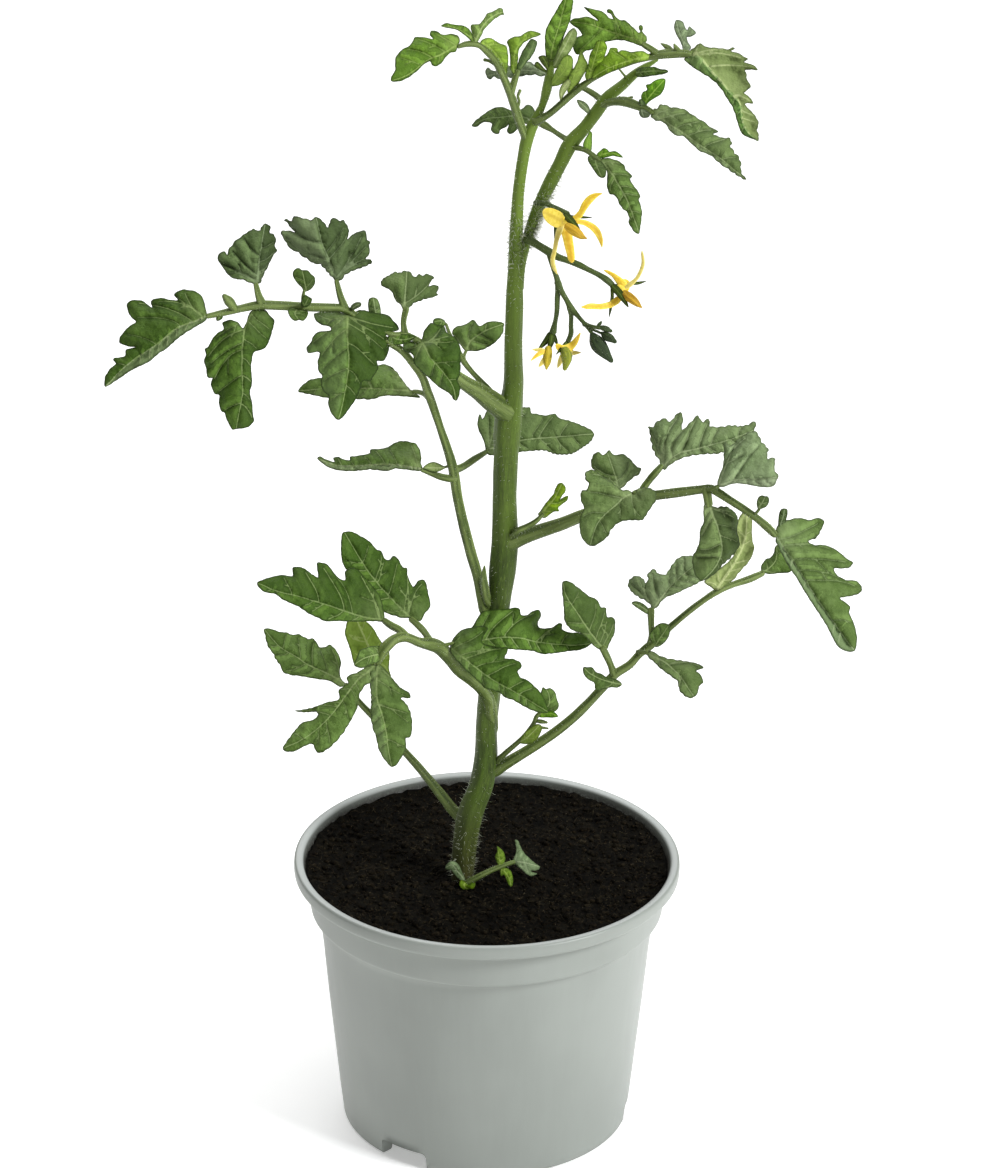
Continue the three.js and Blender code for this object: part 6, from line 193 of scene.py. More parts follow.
    {'name': 'leaf9_leaflet_low', 'node': None, 'small': False, 'tint': 'bright', 'under': [0, 0], 'at': [36.2, -10.1, 345.4], 'mid': [[9.34, 2.72, 0.74], [5.38, 2.23, 2.09], [1.17, 1.04, 0.91], [-2.48, -0.29, -0.22], [-5.29, -1.75, -1.26], [-8.1, -3.63, -2.46]], 'A': [[7.91, 3.4], [5.63, 4.2], [3.09, 3.88], [1.67, 4.13], [0.25, 4.39], [-0.87, 3.81], [-1.03, 4.79], [-3.16, 4.76], [-3.56, 3.77], [-3.97, 2.92], [-5.09, 2.06], [-6.48, 0.63], [-7.58, -1.36]], 'B': [[7.66, 1.71], [4.84, 1.1], [2.6, 0.36], [0.35, -0.52], [-2.17, -1.55], [-4.14, -2.43], [-5.83, -3.3]], 'k': [-0.3, 0.3]},
    {'name': 'leaf9_leaflet_young', 'node': 'leaf9_stalk', 'small': True, 'tint': 'bright', 'under': [0, 0], 'at': [28.6, -8.9, 346.3], 'mid': [[-1.59, -5.64, -4.69], [-0.51, -1.95, -1.58], [0.55, 1.73, 1.44], [1.6, 5.93, 4.9]], 'A': [[-2.47, -4.24], [-1.67, -1.12], [-1.15, 1.98], [-0.05, 3.96], [0.76, 5.64]], 'B': [[-0.46, -4.77], [1.22, -3.61], [2.6, -1.33], [3.1, 1.77], [3.62, 4.01], [2.74, 5.67]], 'k': [-0.2, -0.4]},
    {'name': 'leaf9_leaflet_up', 'node': 'leaf9_stalk', 'small': True, 'tint': 'grey', 'under': [0, 0], 'at': [52.9, -10.1, 353.9], 'mid': [[1.11, -4.73, 1.84], [0.74, -1.38, 0.46], [-0.47, 1.39, -0.62], [-1.4, 4.73, -1.83]], 'A': [[0.49, -2.51], [-0.12, -1.12], [-1.3, 0.81], [-1.92, 2.76], [-1.67, 4.17]], 'B': [[3.04, -3.02], [2.15, -1.35], [1.83, 0.04], [2.68, 0.06], [4.34, 1.21], [3.18, 2.45], [2.32, 2.99], [1.78, 2], [1.19, 2.83], [0.59, 4.22], [-0.56, 4.75]], 'k': [0.2, -0.5]},
    {'name': 'leaf9_leaflet_tip', 'node': None, 'small': False, 'tint': 'veined2', 'under': [1, 0], 'at': [65.6, -23.8, 341.2], 'mid': [[-10.61, 10.86, -6.38], [-8.04, 10.07, -4.68], [-5.99, 7.88, -3.37], [-3.95, 5.69, -2.05], [-1.93, 3.78, -0.64], [0.11, 1.32, 0.59], [2.42, -0.85, 1.9], [3.88, -2.75, 2.29], [4.24, -5.25, 2.58], [4.89, -8.01, 2.77], [6.37, -10.48, 2.99], [9.23, -12.62, 4.28]], 'A': [[-10.66, 12.12], [-9.55, 12.85], [-8.74, 13.71], [-7.9, 14.15], [-6.18, 13.21], [-3.64, 12.99], [-1.1, 12.78], [0.59, 12.82], [1.42, 13.4], [1.99, 13], [0.89, 12.26], [1.74, 12], [3.45, 11.48], [4.6, 10.67], [5.74, 10.14], [4.64, 9.27], [6.34, 8.75], [8.05, 7.95], [8.63, 7.12], [6.39, 7.21], [4.99, 7.03], [5.44, 5.92], [5.63, 4.25], [6.5, 3.16], [6.67, 2.33], [5.71, 1.46], [4.9, 0.61], [6.04, -0.2], [6.91, -1.01], [7.51, -2.25], [5.82, -2.15], [5.27, -2.44], [6.73, -4.08], [8.47, -5.99], [9.23, -7.64], [8.86, -9.58], [9.32, -10.96]], 'B': [[-12.26, 9.69], [-10.51, 8.05], [-7.62, 6.16], [-4.76, 4.55], [-2.74, 2.92], [-1.28, 1.29], [-0.1, -0.63], [1.65, -3.09], [2.87, -6.11], [3.8, -8.87], [4.69, -10.66], [6.4, -11.59], [8.09, -12.09]], 'k': [-0.5, 0.4]},
    {'name': 'leaf10_leaflet_tip', 'node': None, 'small': False, 'tint': 'softer', 'under': [0, 0], 'at': [58.1, -10.8, 323], 'mid': [[-12.55, 8.25, -4.96], [-9.92, 6.6, -3.93], [-6.99, 4.67, -2.79], [-3.5, 2.62, -1.41], [1.16, -0.54, 0.43], [6.95, -4.08, 2.73], [10.72, -7.09, 4.24], [14.49, -10.1, 5.76]], 'A': [[-12.3, 9.4], [-11.17, 9.72], [-10.62, 10.59], [-9.19, 10.62], [-7.74, 10.08], [-5.73, 9.85], [-4, 9.6], [-1.96, 8.5], [0.08, 7.12], [1.82, 6.31], [3.87, 4.64], [5.6, 3.83], [6.19, 3.28], [4.78, 2.67], [5.93, 2.13], [7.66, 1.6], [9.37, 1.64], [10.26, 0.25], [9.7, -0.33], [10.89, -2.29], [12.35, -3.95], [12.97, -5.91], [13.01, -7.89]], 'B': [[-13.08, 7.1], [-11.91, 6.27], [-10.47, 6.02], [-9.02, 5.48], [-8.12, 4.08], [-6.93, 2.68], [-5.19, 1.87], [-3.76, 1.9], [-2.59, 0.94], [-0.84, -0.58], [1.21, -2.23], [3.51, -3.03], [5.24, -4.12], [6.99, -5.63], [9.3, -7.13], [11.9, -8.76]], 'k': [-0.55, 0.5]},
    {'name': 'leaf10_leaflet_bright', 'node': 'leaf10_stalk', 'small': True, 'tint': 'bright2', 'under': [0, 0], 'at': [45.6, 0.1, 333.9], 'mid': [[-2.45, -3.89, 0.88], [-1.92, -2.38, 1.31], [-0.53, -0.36, 1.14], [1.42, 1.96, -0.73], [3.65, 4.57, -2.86]], 'A': [[-2.79, -1.83], [-3.1, -0.69], [-2.57, 0.74], [-1.43, 1.33], [-1.76, 2.75], [-0.62, 3.06], [0.51, 3.94], [1.93, 4.54]], 'B': [[-0.78, -2.07], [0.91, -0.9], [2.33, -0.02], [3.16, 1.14], [3.69, 2.86]], 'k': [-0.4, -0.4]},
    {'name': 'leaf10_leaflet_twist', 'node': 'leaf10_stalk', 'small': True, 'tint': 'grey', 'under': [0, 0], 'at': [42.9, -4.1, 329.8], 'mid': [[-0.2, 1.35, -2.17], [-0.17, 0.21, 0.77], [0.44, -1.49, 1.52]], 'A': [[-0.76, 0.76], [-1.02, -0.09], [-0.42, -1.22]], 'B': [[1.25, 0.52], [2.13, -0.32], [1.86, -1.17]], 'k': [-0.3, -0.3]},
    {'name': 'leaf10_leaflet_twist_b', 'node': 'leaf10_stalk', 'small': True, 'tint': 'dark', 'under': [0, 0], 'at': [42.8, -1.6, 331.9], 'mid': [[0.27, -1.1, -0.23], [-0.04, -0.25, 0.59], [-0.36, 1.17, -0.26]], 'A': [[-0.6, -0.83], [-0.9, 0.02], [-0.92, 0.87]], 'B': [[0.84, -0.8], [0.82, 0.05], [0.22, 0.9]], 'k': [-0.3, -0.3]},
    {'name': 'leaf10_leaflet_hanging', 'node': None, 'small': False, 'tint': 'soft', 'under': [0, 0], 'at': [37.1, -9.3, 307.1], 'mid': [[-6.29, 9.62, -2.26], [-4.53, 7.93, -1.7], [-2.75, 5.67, -1.12], [-0.97, 2.84, -0.5], [1.42, -1.12, 0.34], [3.22, -5.09, 1.08], [4.44, -8.5, 1.67], [5.36, -11.33, 2.15]], 'A': [[-4.58, 10.22], [-2.85, 9.97], [-1.11, 9.43], [0.64, 8.32], [1.25, 6.89], [3.01, 5.21], [2.45, 4.34], [3.35, 2.63], [4.53, 1.22], [5.43, -0.48], [5.16, -1.63], [5.78, -3.62], [6.11, -5.61], [5.87, -7.9], [5.62, -9.91]], 'B': [[-5.68, 8.19], [-4.21, 6.5], [-4.15, 3.92], [-4.1, 1.64], [-3.2, -0.06], [-2.05, -0.33], [-1.17, -1.17], [-0.56, -2.59], [0.62, -4.28], [1.79, -5.12], [2.39, -6.53], [2.43, -8.25], [3.32, -9.94], [4.49, -11.06]], 'k': [-0.5, 0.3]},
    {'name': 'leaf10_leaflet_left_lobe', 'node': 'leaf10_lower_stalk', 'small': True, 'tint': 'soft', 'under': [0, 0], 'at': [30.4, -5.5, 313.8], 'mid': [[-0.92, 2.96, -1.46], [-0.59, 0.97, -0.64], [0.31, -1.02, 0.5], [1.2, -3.01, 1.64]], 'A': [[-2.08, 3.52], [-2.94, 2.93], [-2.91, 1.79], [-2.02, 0.37], [-0.84, -1.33], [0.04, -2.46]], 'B': [[0.53, 2.13], [1.41, 1.28], [2.3, -0.13], [2.33, -1.56], [2.06, -2.71]], 'k': [-0.3, 0.2]},
    {'name': 'leaf10_leaflet_bright_up', 'node': 'leaf10_lower_stalk', 'small': True, 'tint': 'bright2', 'under': [0, 0], 'at': [27.6, 0.5, 319.4], 'mid': [[-0.02, -2.75, 1.06], [-0.34, -1.04, 0.81], [-0.08, 0.68, -0.15], [0.45, 3.27, -1.61]], 'A': [[-0.9, -2.2], [-1.49, -1.06], [-1.23, 0.38], [-0.39, 1.83]], 'B': [[0.84, -2.45], [1.1, -1.02], [1.06, 1.27], [1.03, 2.71]], 'k': [-0.3, -0.3]},
    {'name': 'leaf10_leaflet_bright_right', 'node': 'leaf10_lower_stalk', 'small': True, 'tint': 'bright2', 'under': [0, 0], 'at': [32.9, -3.5, 316.6], 'mid': [[-2.72, -0.65, -0.09], [-2.51, -0.32, 0.01], [-0.8, 0.57, 0.46], [1.5, 0.9, 0.18], [4.69, -0.34, -0.76]], 'A': [[-2.81, 0.54], [-1.97, 1.41], [-0.83, 2.29], [0.33, 1.74], [0.62, 1.31], [2.35, 1.48], [3.8, 0.65]], 'B': [[-1.64, -0.73], [0.37, -0.27], [1.8, 0.04], [3.24, -0.22]], 'k': [-0.4, 0.4]},
    {'name': 'leaf10_bud_left', 'node': 'side_branch', 'small': True, 'tint': 'softest', 'under': [0, 0], 'at': [26.4, 4.8, 328.8], 'mid': [[1.65, -1.82, -1.7], [0.76, -0.68, -0.15], [-0.41, 0.45, 0.54], [-2.16, 1.85, 1.44]], 'A': [[0.78, -1.83], [-0.38, -0.98], [-1.56, 0.14]], 'B': [[1.64, -0.95], [1.03, 0.47], [-0.43, 1.59]], 'k': [-0.3, -0.3]},
    {'name': 'leaf10_leaflet_branch_end', 'node': 'side_branch', 'small': True, 'tint': 'dark', 'under': [0, 0], 'at': [45, 2.9, 339.9], 'mid': [[-4.59, -0.44, -4.19], [-2, -0.11, 0.01], [1.43, 0.24, 1.45], [5.15, 0.17, 2.87]], 'A': [[-3.75, 0.71], [-2.61, 1.16], [-0.6, 1.34], [1.4, 1.38], [2.85, 0.84], [4.28, 0.72]], 'B': [[-3.4, -1.56], [-1.68, -1.52], [0.03, -1.21], [2.32, -0.88], [4.02, -0.56]], 'k': [-0.6, 0.6]},
    {'name': 'apex_bud_a', 'node': 'main_stem', 'small': True, 'tint': 'sepal', 'under': [0, 0], 'at': [14.9, -1.5, 343.5], 'mid': [[1.09, -2.27, -2.23], [0.05, 0.27, 0.66], [-1.11, 2.09, 1.66]], 'A': [[-0.65, -0.59], [-1.52, 0.54], [-2.02, 1.66]], 'B': [[1.06, -0.28], [0.75, 1.13], [-0.12, 2.11]], 'k': [-0.3, -0.3]},
    {'name': 'apex_bud_b', 'node': 'main_stem', 'small': True, 'tint': 'sepal', 'under': [0, 0], 'at': [14.3, -1.3, 341.6], 'mid': [[1.73, -1.15, -1.7], [1.12, -1.07, -1.68], [-0.61, 0.47, 1.21], [-2.34, 1.72, 2.09]], 'A': [[-0.46, -0.38], [-1.61, 0.18], [-2.47, 0.87]], 'B': [[0.1, 0.48], [-0.91, 1.6], [-1.77, 2.15]], 'k': [-0.3, -0.3]},
    {'name': 'rear_leaf', 'node': 'rear_leaf', 'small': True, 'tint': 'dark2', 'under': [0, 0], 'at': [3.8, 18.6, 320.4], 'mid': [[8.49, -0.52, 4.64], [6.15, 0.61, 3.57], [2.65, 1.16, 1.81], [-1.73, 0.69, -0.72], [-5.83, 0.22, -3.09], [-9.94, -1.86, -6.21]], 'A': [[8.47, 2.37], [7.58, 4.1], [6.12, 4.38], [4.68, 3.21], [2.93, 2.33], [0.59, 3.18], [-1.17, 3.75], [-3.51, 3.44], [-5.56, 2.26], [-7.6, 0.79], [-9.36, -0.69]], 'B': [[7.04, -1.11], [5.87, -1.13], [4.41, -0.56], [3.56, -2.31], [2.11, -3.77], [0.95, -4.07], [0.36, -3.21], [0.92, -1.17], [0.06, -2.05], [-1.69, -2.94], [-1.97, -4.1], [-3.44, -3.83], [-4.33, -2.97], [-4.05, -1.22], [-5.82, -0.66], [-7.58, -1.26], [-8.46, -2.14]], 'k': [-0.4, 0.4]},
    {'name': 'rear_leaf_small', 'node': 'rear_leaf_small', 'small': True, 'tint': 'grey', 'under': [0, 0], 'at': [7.4, 21.7, 333.8], 'mid': [[8.53, -0.29, 5.82], [4.75, 0.53, 3.42], [0.39, 0.78, 0.53], [-3.99, 0.16, -2.64], [-9.57, -1.06, -6.83]], 'A': [[7.07, 1.42], [4.74, 2.27], [3.28, 3.12], [1.24, 2.82], [-1.08, 1.93], [-2.55, 2.2], [-4.59, 1.32], [-6.35, 0.72], [-8.11, 0.56], [-9.01, 1.57], [-9.59, 0.4]], 'B': [[7.08, -0.88], [4.76, -0.62], [2.73, -0.64], [0.99, -0.95], [-1.92, -1.56], [-3.97, -1.29], [-5.43, -1.89], [-7.21, -1.32], [-8.38, -1.92]], 'k': [-0.5, 0.5]},
    {'name': 'sprout_leaf_up', 'node': 'base_sprout', 'small': True, 'tint': 'bright', 'under': [0, 0], 'at': [3.7, -9.6, 92.5], 'mid': [[0.37, -3.13, -0.57], [0.35, -1.29, -0.26], [0.03, 0.87, 0.14], [-0.62, 3.63, 0.65]], 'A': [[-0.26, -2.22], [-0.88, -0.99], [-1.21, 0.55], [-0.6, 2.09]], 'B': [[1.29, -2.51], [1.9, -0.96], [1.88, 0.58], [1.25, 2.11], [0.31, 3.03]], 'k': [-0.3, -0.3]},
    {'name': 'sprout_leaf_down', 'node': 'base_sprout', 'small': True, 'tint': 'bright', 'under': [0, 0], 'at': [6, -12.4, 87.6], 'mid': [[-1.93, 2.51, -0.79], [-0.38, 1.29, -0.2], [0.87, -0.54, 0.26], [1.52, -3.3, 0.63]], 'A': [[-0.08, 2.53], [1.16, 1.92], [1.79, 0.7], [2.11, -1.15], [1.97, -2.69]], 'B': [[-1.92, 1.27], [-1.6, 0.05], [-0.68, 0.36], [-0.05, -0.86], [0.58, -2.39]], 'k': [-0.3, 0.3]},
    {'name': 'sprout_leaf_end', 'node': 'base_sprout', 'small': True, 'tint': 'pale', 'under': [0, 0], 'at': [12.2, -8.5, 90], 'mid': [[-3.82, 0.45, 0.27], [-1.65, 0.48, 0.26], [1.14, -0.11, -0.07], [4.24, -0.99, -0.56]], 'A': [[-3.83, 1.68], [-3.24, 3.54], [-3.27, 5.4], [-3.6, 7.26], [-2.67, 6.96], [-1.71, 4.8], [-0.45, 2.96], [1.12, 1.44], [2.68, 0.22]], 'B': [[-2.87, -0.77], [-1.31, -1.99], [-0.07, -3.05], [1.18, -3.8], [3.34, -3.16], [1.47, -2.26], [3.63, -1.92]], 'k': [-0.45, 0.2]},
    {'name': 'sprout_leaf_left', 'node': 'base_sprout', 'small': True, 'tint': 'pale', 'under': [0, 0], 'at': [-9.1, -12.2, 88.2], 'mid': [[2.71, -2.84, -1.87], [2.4, -2.23, -1.55], [0.23, 0.54, 0.62], [-1.63, 2.68, 1.72], [-3.78, 1.75, 1.21]], 'A': [[1.46, 0.54], [0.22, 3], [-1.33, 3.91], [-2.87, 3.29]], 'B': [[0.86, -1.92], [-0.69, -0.39], [-1.93, 1.14], [-3.16, 1.14]], 'k': [-0.3, 0.3]},
    {'name': 'sprout_leaf_front', 'node': 'base_sprout', 'small': True, 'tint': 'lime', 'under': [0, 0], 'at': [-6.1, -14.6, 85.3], 'mid': [[0.04, 1.17, -2.28], [-0.88, 0.24, 0.08], [-0.26, -0.68, 0.62], [0.98, -0.98, 1.64]], 'A': [[-1.81, 1.78], [-2.42, 0.54], [-1.8, -0.68], [-0.56, -1.29]], 'B': [[1.58, 2.41], [2.51, 1.18], [2.51, -0.05], [1.9, -0.97]], 'k': [-0.3, 0.3]},
    {'name': 'f1_petal_left', 'node': 'flower1_corolla', 'small': True, 'tint': 'petalshade', 'under': [0, 0], 'at': [17.8, -13.4, 301.5], 'mid': [[3.23, -1.26, -4.04], [1.2, -0.71, -1.64], [-1.11, 0.4, 1.45], [-3.26, 1.37, 4.29]], 'A': [[2.33, 1.02], [0.88, 1.86], [-0.85, 2.4], [-2.56, 2.23]], 'B': [[2.68, -2.7], [0.67, -3.15], [-1.36, -2.17], [-2.81, -0.47]], 'k': [-0.3, -0.3]},
    {'name': 'f1_petal_up', 'node': 'flower1_corolla', 'small': True, 'tint': 'petal', 'under': [0, 0], 'at': [26, -9.2, 302.5], 'mid': [[-4.27, -3.73, -0.26], [-4.05, -3.27, -0.12], [-0.91, -1.79, -0.28], [0.77, 1.1, 0.09], [2.74, 3.42, 0.31], [5.75, 4.47, 0.08]], 'A': [[-2.91, -2.39], [-1.21, -0.79], [-0.1, 1.66], [1.59, 3.69], [3.59, 4.58]], 'B': [[-2.6, -3.54], [-0.32, -2.64], [1.37, -0.03], [2.77, 1.85], [4.47, 3.59]], 'k': [-0.3, -0.3]},
    {'name': 'f1_petal_right', 'node': 'flower1_corolla', 'small': True, 'tint': 'petal', 'under': [0, 0], 'at': [28.3, -7.4, 295.2], 'mid': [[-6.3, 2.78, 3.9], [-1.69, 2.43, 1.89], [1.22, 0.89, 0.09], [3, -1.38, -1.77], [3.65, -4.84, -4.24]], 'A': [[-5.16, 3.37], [-1.41, 3.15], [1.2, 2.04], [2.97, 0.35], [3.9, -2.52]], 'B': [[-4.56, 2.09], [-1.67, 1.56], [0.66, 0.02], [2.15, -1.97], [3.35, -4.27]], 'k': [-0.3, -0.3]},
    {'name': 'f1_petal_down', 'node': 'flower1_corolla', 'small': True, 'tint': 'petalgold', 'under': [0, 0], 'at': [22.3, -11, 292.7], 'mid': [[-0.95, 6.04, 1], [-0.3, 1.45, 0.26], [0.33, -1.98, -0.29], [0.97, -5.72, -0.89]], 'A': [[-2.36, 4.3], [-1.73, 0.86], [-0.81, -2.58], [0.09, -5.15]], 'B': [[0.52, 4.34], [1.15, 0.9], [1.64, -2.54], [1.68, -4.84]], 'k': [-0.3, -0.3]},
    {'name': 'f1_petal_curl', 'node': 'flower1_corolla', 'small': True, 'tint': 'petalpale', 'under': [0, 0], 'at': [19.1, -12, 291.6], 'mid': [[1.89, 7.87, 0.52], [1.66, 7.41, 0.37], [-0.42, 2.21, 0.13], [-0.81, -0.66, -0.07], [-1.49, -3.55, -0.25], [-1.02, -5.84, -0.41], [0.01, -7.7, -0.5]], 'A': [[-0.05, 6.24], [-1.01, 2.78], [-1.53, -0.67], [-2.15, -3.56], [-1.51, -6.14]], 'B': [[1.41, 5.11], [0.3, 2.22], [-0.23, -0.66], [-0.77, -3.54], [-0.3, -5.83]], 'k': [-0.3, -0.3]},
    {'name': 'f1_sepal_front', 'node': 'side_branch', 'small': True, 'tint': 'sepal', 'under': [0, 0], 'at': [23, -11.4, 299.5], 'mid': [[-2.28, 2.28, -3.62], [-0.22, 0.16, 1.63], [2.4, -2.38, 1.91]], 'A': [[-2.57, 1.39], [-0.95, -0.57]], 'B': [[-1.37, 2.54], [0.51, 0.89]], 'k': [-0.25, -0.25]},
    {'name': 'f1_sepal_right', 'node': 'side_branch', 'small': True, 'tint': 'sepal', 'under': [0, 0], 'at': [25, -6.8, 299.5], 'mid': [[-3.03, 0.55, 1.51], [-2.45, -0.01, 1.31], [1.31, -0.33, -0.7], [4.06, -0.34, -2.09]], 'A': [[-1.91, -0.36], [1.29, -0.7]], 'B': [[-1.86, 0.24], [1.33, 0.05]], 'k': [-0.25, -0.25]},
    {'name': 'f1_sepal_down', 'node': 'side_branch', 'small': True, 'tint': 'sepal', 'under': [0, 0], 'at': [19.1, -7.8, 296.8], 'mid': [[1.05, 4.33, 0.18], [0.54, 3.15, -0.2], [-0.34, 0.55, 0.72], [-0.39, -2.33, 0.09], [-0.62, -5.79, -0.65]], 'A': [[-0.16, 2.95], [-1.08, 0.67], [-1.14, -2.3]], 'B': [[0.98, 2.56], [0.4, 0.42], [0.36, -2.36]], 'k': [-0.25, -0.25]},
    {'name': 'f2_petal_up', 'node': 'flower2_corolla', 'small': True, 'tint': 'petal', 'under': [0, 0], 'at': [35.4, -12, 282.5], 'mid': [[2.43, -2.8, -0.08], [1.23, -0.51, 0.13], [-0.83, 1.18, 0.05], [-3.02, 2.29, -0.17]], 'A': [[0.97, -1.67], [-0.52, 0.32], [-2.28, 1.58]], 'B': [[3.85, -1.33], [2.08, 0.22], [0.03, 1.48], [-2.01, 2.31]], 'k': [-0.3, -0.3]},
    {'name': 'f2_petal_back', 'node': 'flower2_corolla', 'small': True, 'tint': 'petal', 'under': [0, 0], 'at': [38.7, -12.5, 280.6], 'mid': [[-1.16, -1.17, 0.07], [-0.03, 0.01, 0], [1.1, 1.18, -0.15]], 'A': [[-1.78, 0.84], [-0.07, 1.74]], 'B': [[0.31, -2.29], [1.43, -0.54]], 'k': [-0.3, -0.3]},
    {'name': 'f2_petal_right', 'node': 'flower2_corolla', 'small': True, 'tint': 'petalpale', 'under': [0, 0], 'at': [41.9, -11.5, 284.3], 'mid': [[-3.74, -5.02, 0], [-0.62, -2.65, -0.23], [0.79, -0.89, -0.21], [1.87, 2.31, 0.06], [1.49, 6.18, 0.49]], 'A': [[-2.34, -3.26], [-0.63, -1.93], [0.48, -0.17], [1.37, 2.58], [1.22, 5.46]], 'B': [[-1.73, -4.54], [0.25, -2.63], [1.37, -0.88], [2.37, 2.03], [2, 5.19]], 'k': [-0.3, -0.3]},
    {'name': 'f2_petal_low', 'node': 'flower2_corolla', 'small': True, 'tint': 'petal', 'under': [0, 0], 'at': [33, -15.3, 276.5], 'mid': [[5.2, 2.98, -1.31], [4.77, 2.54, -1.45], [1.94, -0.69, -1.03], [-0.93, -1.46, -0.04], [-3.82, -1.37, 1.22], [-6.98, -1.71, 2.46]], 'A': [[3.34, 1.64], [1.06, 0.02], [-1.53, -0.66], [-4.41, -0.6], [-6.13, -1.26]], 'B': [[4.53, 0.22], [2.54, -1.4], [-0.34, -2.26], [-3.23, -2.31], [-5.53, -2.26]], 'k': [-0.3, -0.3]},
    {'name': 'f2_sepal_front', 'node': 'truss_stalk', 'small': True, 'tint': 'sepal', 'under': [0, 0], 'at': [37.2, -15, 278.4], 'mid': [[-2.66, 3.14, -1.99], [0, 0.3, 1.08], [2.54, -3.54, 0.79]], 'A': [[-2.87, 2.15], [-0.82, -0.33]], 'B': [[-1.65, 3.28], [0.82, 0.94]], 'k': [-0.25, -0.25]},
    {'name': 'f2_sepal_down', 'node': 'truss_stalk', 'small': True, 'tint': 'sepal', 'under': [0, 0], 'at': [34.8, -10.8, 274.9], 'mid': [[0.17, 4.5, 2.86], [0.29, 1.33, 1.32], [0, -1.28, -0.8], [-0.52, -4.64, -3.53]], 'A': [[-0.21, 4.01], [-0.2, 1.34], [-0.49, -1.22]], 'B': [[0.58, 4.04], [0.78, 1.31], [0.48, -1.35]], 'k': [-0.25, -0.25]},
    {'name': 'f2_sepal_right', 'node': 'truss_stalk', 'small': True, 'tint': 'sepal', 'under': [0, 0], 'at': [40.3, -10.4, 280.3], 'mid': [[-5.03, -0.49, 1.71], [-2.42, -0.72, 0.69], [0.46, -0.03, -0.13], [2.48, 0.24, -0.76], [4.64, 0.86, -1.35]], 'A': [[-4.67, -0.87], [-2.38, -1.16], [0.54, -0.46], [2.57, -0.18]], 'B': [[-4.61, -0.18], [-2.46, -0.29], [0.37, 0.39], [2.39, 0.67]], 'k': [-0.25, -0.25]},
    {'name': 'f3_sepal_left', 'node': 'truss_stalk', 'small': True, 'tint': 'sepal', 'under': [0, 0], 'at': [15.8, -11, 262.6], 'mid': [[1.83, 2.67, -0.11], [0.26, 0.04, -0.09], [-2.18, -2.76, 0.08]], 'A': [[0.99, 2.63], [-0.44, 0.55]], 'B': [[2.2, 1.92], [0.97, -0.48]], 'k': [-0.25, -0.25]},
    {'name': 'f3_sepal_mid', 'node': 'truss_stalk', 'small': True, 'tint': 'sepal', 'under': [0, 0], 'at': [17.4, -11.7, 262.6], 'mid': [[0.51, 2.91, -0.75], [0.11, 0, 0.3], [-0.72, -2.92, 0.33]], 'A': [[-0.31, 2.58], [-0.83, 0.2]], 'B': [[1.21, 2.37], [1.05, -0.2]], 'k': [-0.25, -0.25]},
    {'name': 'f3_sepal_right', 'node': 'truss_stalk', 'small': True, 'tint': 'sepal', 'under': [0, 0], 'at': [18.7, -9.6, 263], 'mid': [[-0.91, 1.81, 1.1], [-0.47, 1.52, 0.99], [0.29, -0.79, -0.47], [0.9, -2.54, -1.58]], 'A': [[-0.73, 1.05], [-0.17, -0.95]], 'B': [[0.02, 1.3], [0.76, -0.64]], 'k': [-0.25, -0.25]},
    {'name': 'f3_petal_a', 'node': 'flower3_corolla', 'small': True, 'tint': 'petal', 'under': [0, 0], 'at': [14, -15.4, 260], 'mid': [[2.63, 1.1, -1.32], [0.6, 0.78, -0.13], [-0.84, -0.1, 0.44], [-2.41, -1.86, 1.04]], 'A': [[1.18, 1.37], [-0.56, 0.62]], 'B': [[1.19, 0.07], [-0.25, -0.68]], 'k': [-0.3, -0.3]},
    {'name': 'f3_petal_b', 'node': 'flower3_corolla', 'small': True, 'tint': 'petalpale', 'under': [0, 0], 'at': [14.4, -14.4, 261], 'mid': [[2.24, -0.19, -0.73], [0.2, 0.08, 0.07], [-2.41, 0.19, 0.74]], 'A': [[0.49, 0.66], [-1.26, 0.55]], 'B': [[0.21, -0.5], [-1.54, -0.23]], 'k': [-0.3, -0.3]},
    {'name': 'f3_petal_c', 'node': 'flower3_corolla', 'small': True, 'tint': 'petalpale', 'under': [0, 0], 'at': [15.3, -15.1, 258], 'mid': [[1.35, 2, -0.36], [-0.08, -0.05, -0.05], [-1.37, -1.81, 0.3]], 'A': [[0.19, 1.4], [-0.95, -0.35]], 'B': [[1.08, 0.25], [-0.06, -1.21]], 'k': [-0.3, -0.3]},
    {'name': 'f4_petal_a', 'node': 'flower4_corolla', 'small': True, 'tint': 'petal', 'under': [0, 0], 'at': [23.8, -14, 263.3], 'mid': [[-2.79, -2.47, 0.29], [-0.49, -0.98, -1.03], [0.94, 0.49, -0.23], [2.21, 2.97, 1.04]], 'A': [[-3.98, -0.75], [-2.24, -0.72], [-0.51, 0.32], [0.92, 1.79]], 'B': [[-1.9, -3.62], [-0.46, -2.58], [0.97, -0.96], [1.81, 0.79]], 'k': [-0.3, -0.3]},
    {'name': 'f4_petal_b', 'node': 'flower4_corolla', 'small': True, 'tint': 'petal', 'under': [0, 0], 'at': [20.2, -14.8, 262], 'mid': [[1.37, -0.65, -0.01], [-0.09, -0.09, -0.35], [-1.41, 0.76, 0.51]], 'A': [[0.48, 0.79], [-0.69, 1.2]], 'B': [[0.22, -1.25], [-0.95, -0.69]], 'k': [-0.3, -0.3]},
    {'name': 'f4_petal_c', 'node': 'flower4_corolla', 'small': True, 'tint': 'petalpale', 'under': [0, 0], 'at': [20.4, -14.4, 258], 'mid': [[0.9, 2.37, 1.83], [0.06, 0.04, -0.68], [-0.92, -2.3, -1.26]], 'A': [[-0.25, 1.49], [-0.95, -0.55]], 'B': [[0.93, 0.34], [0.08, -1.41]], 'k': [-0.3, -0.3]},
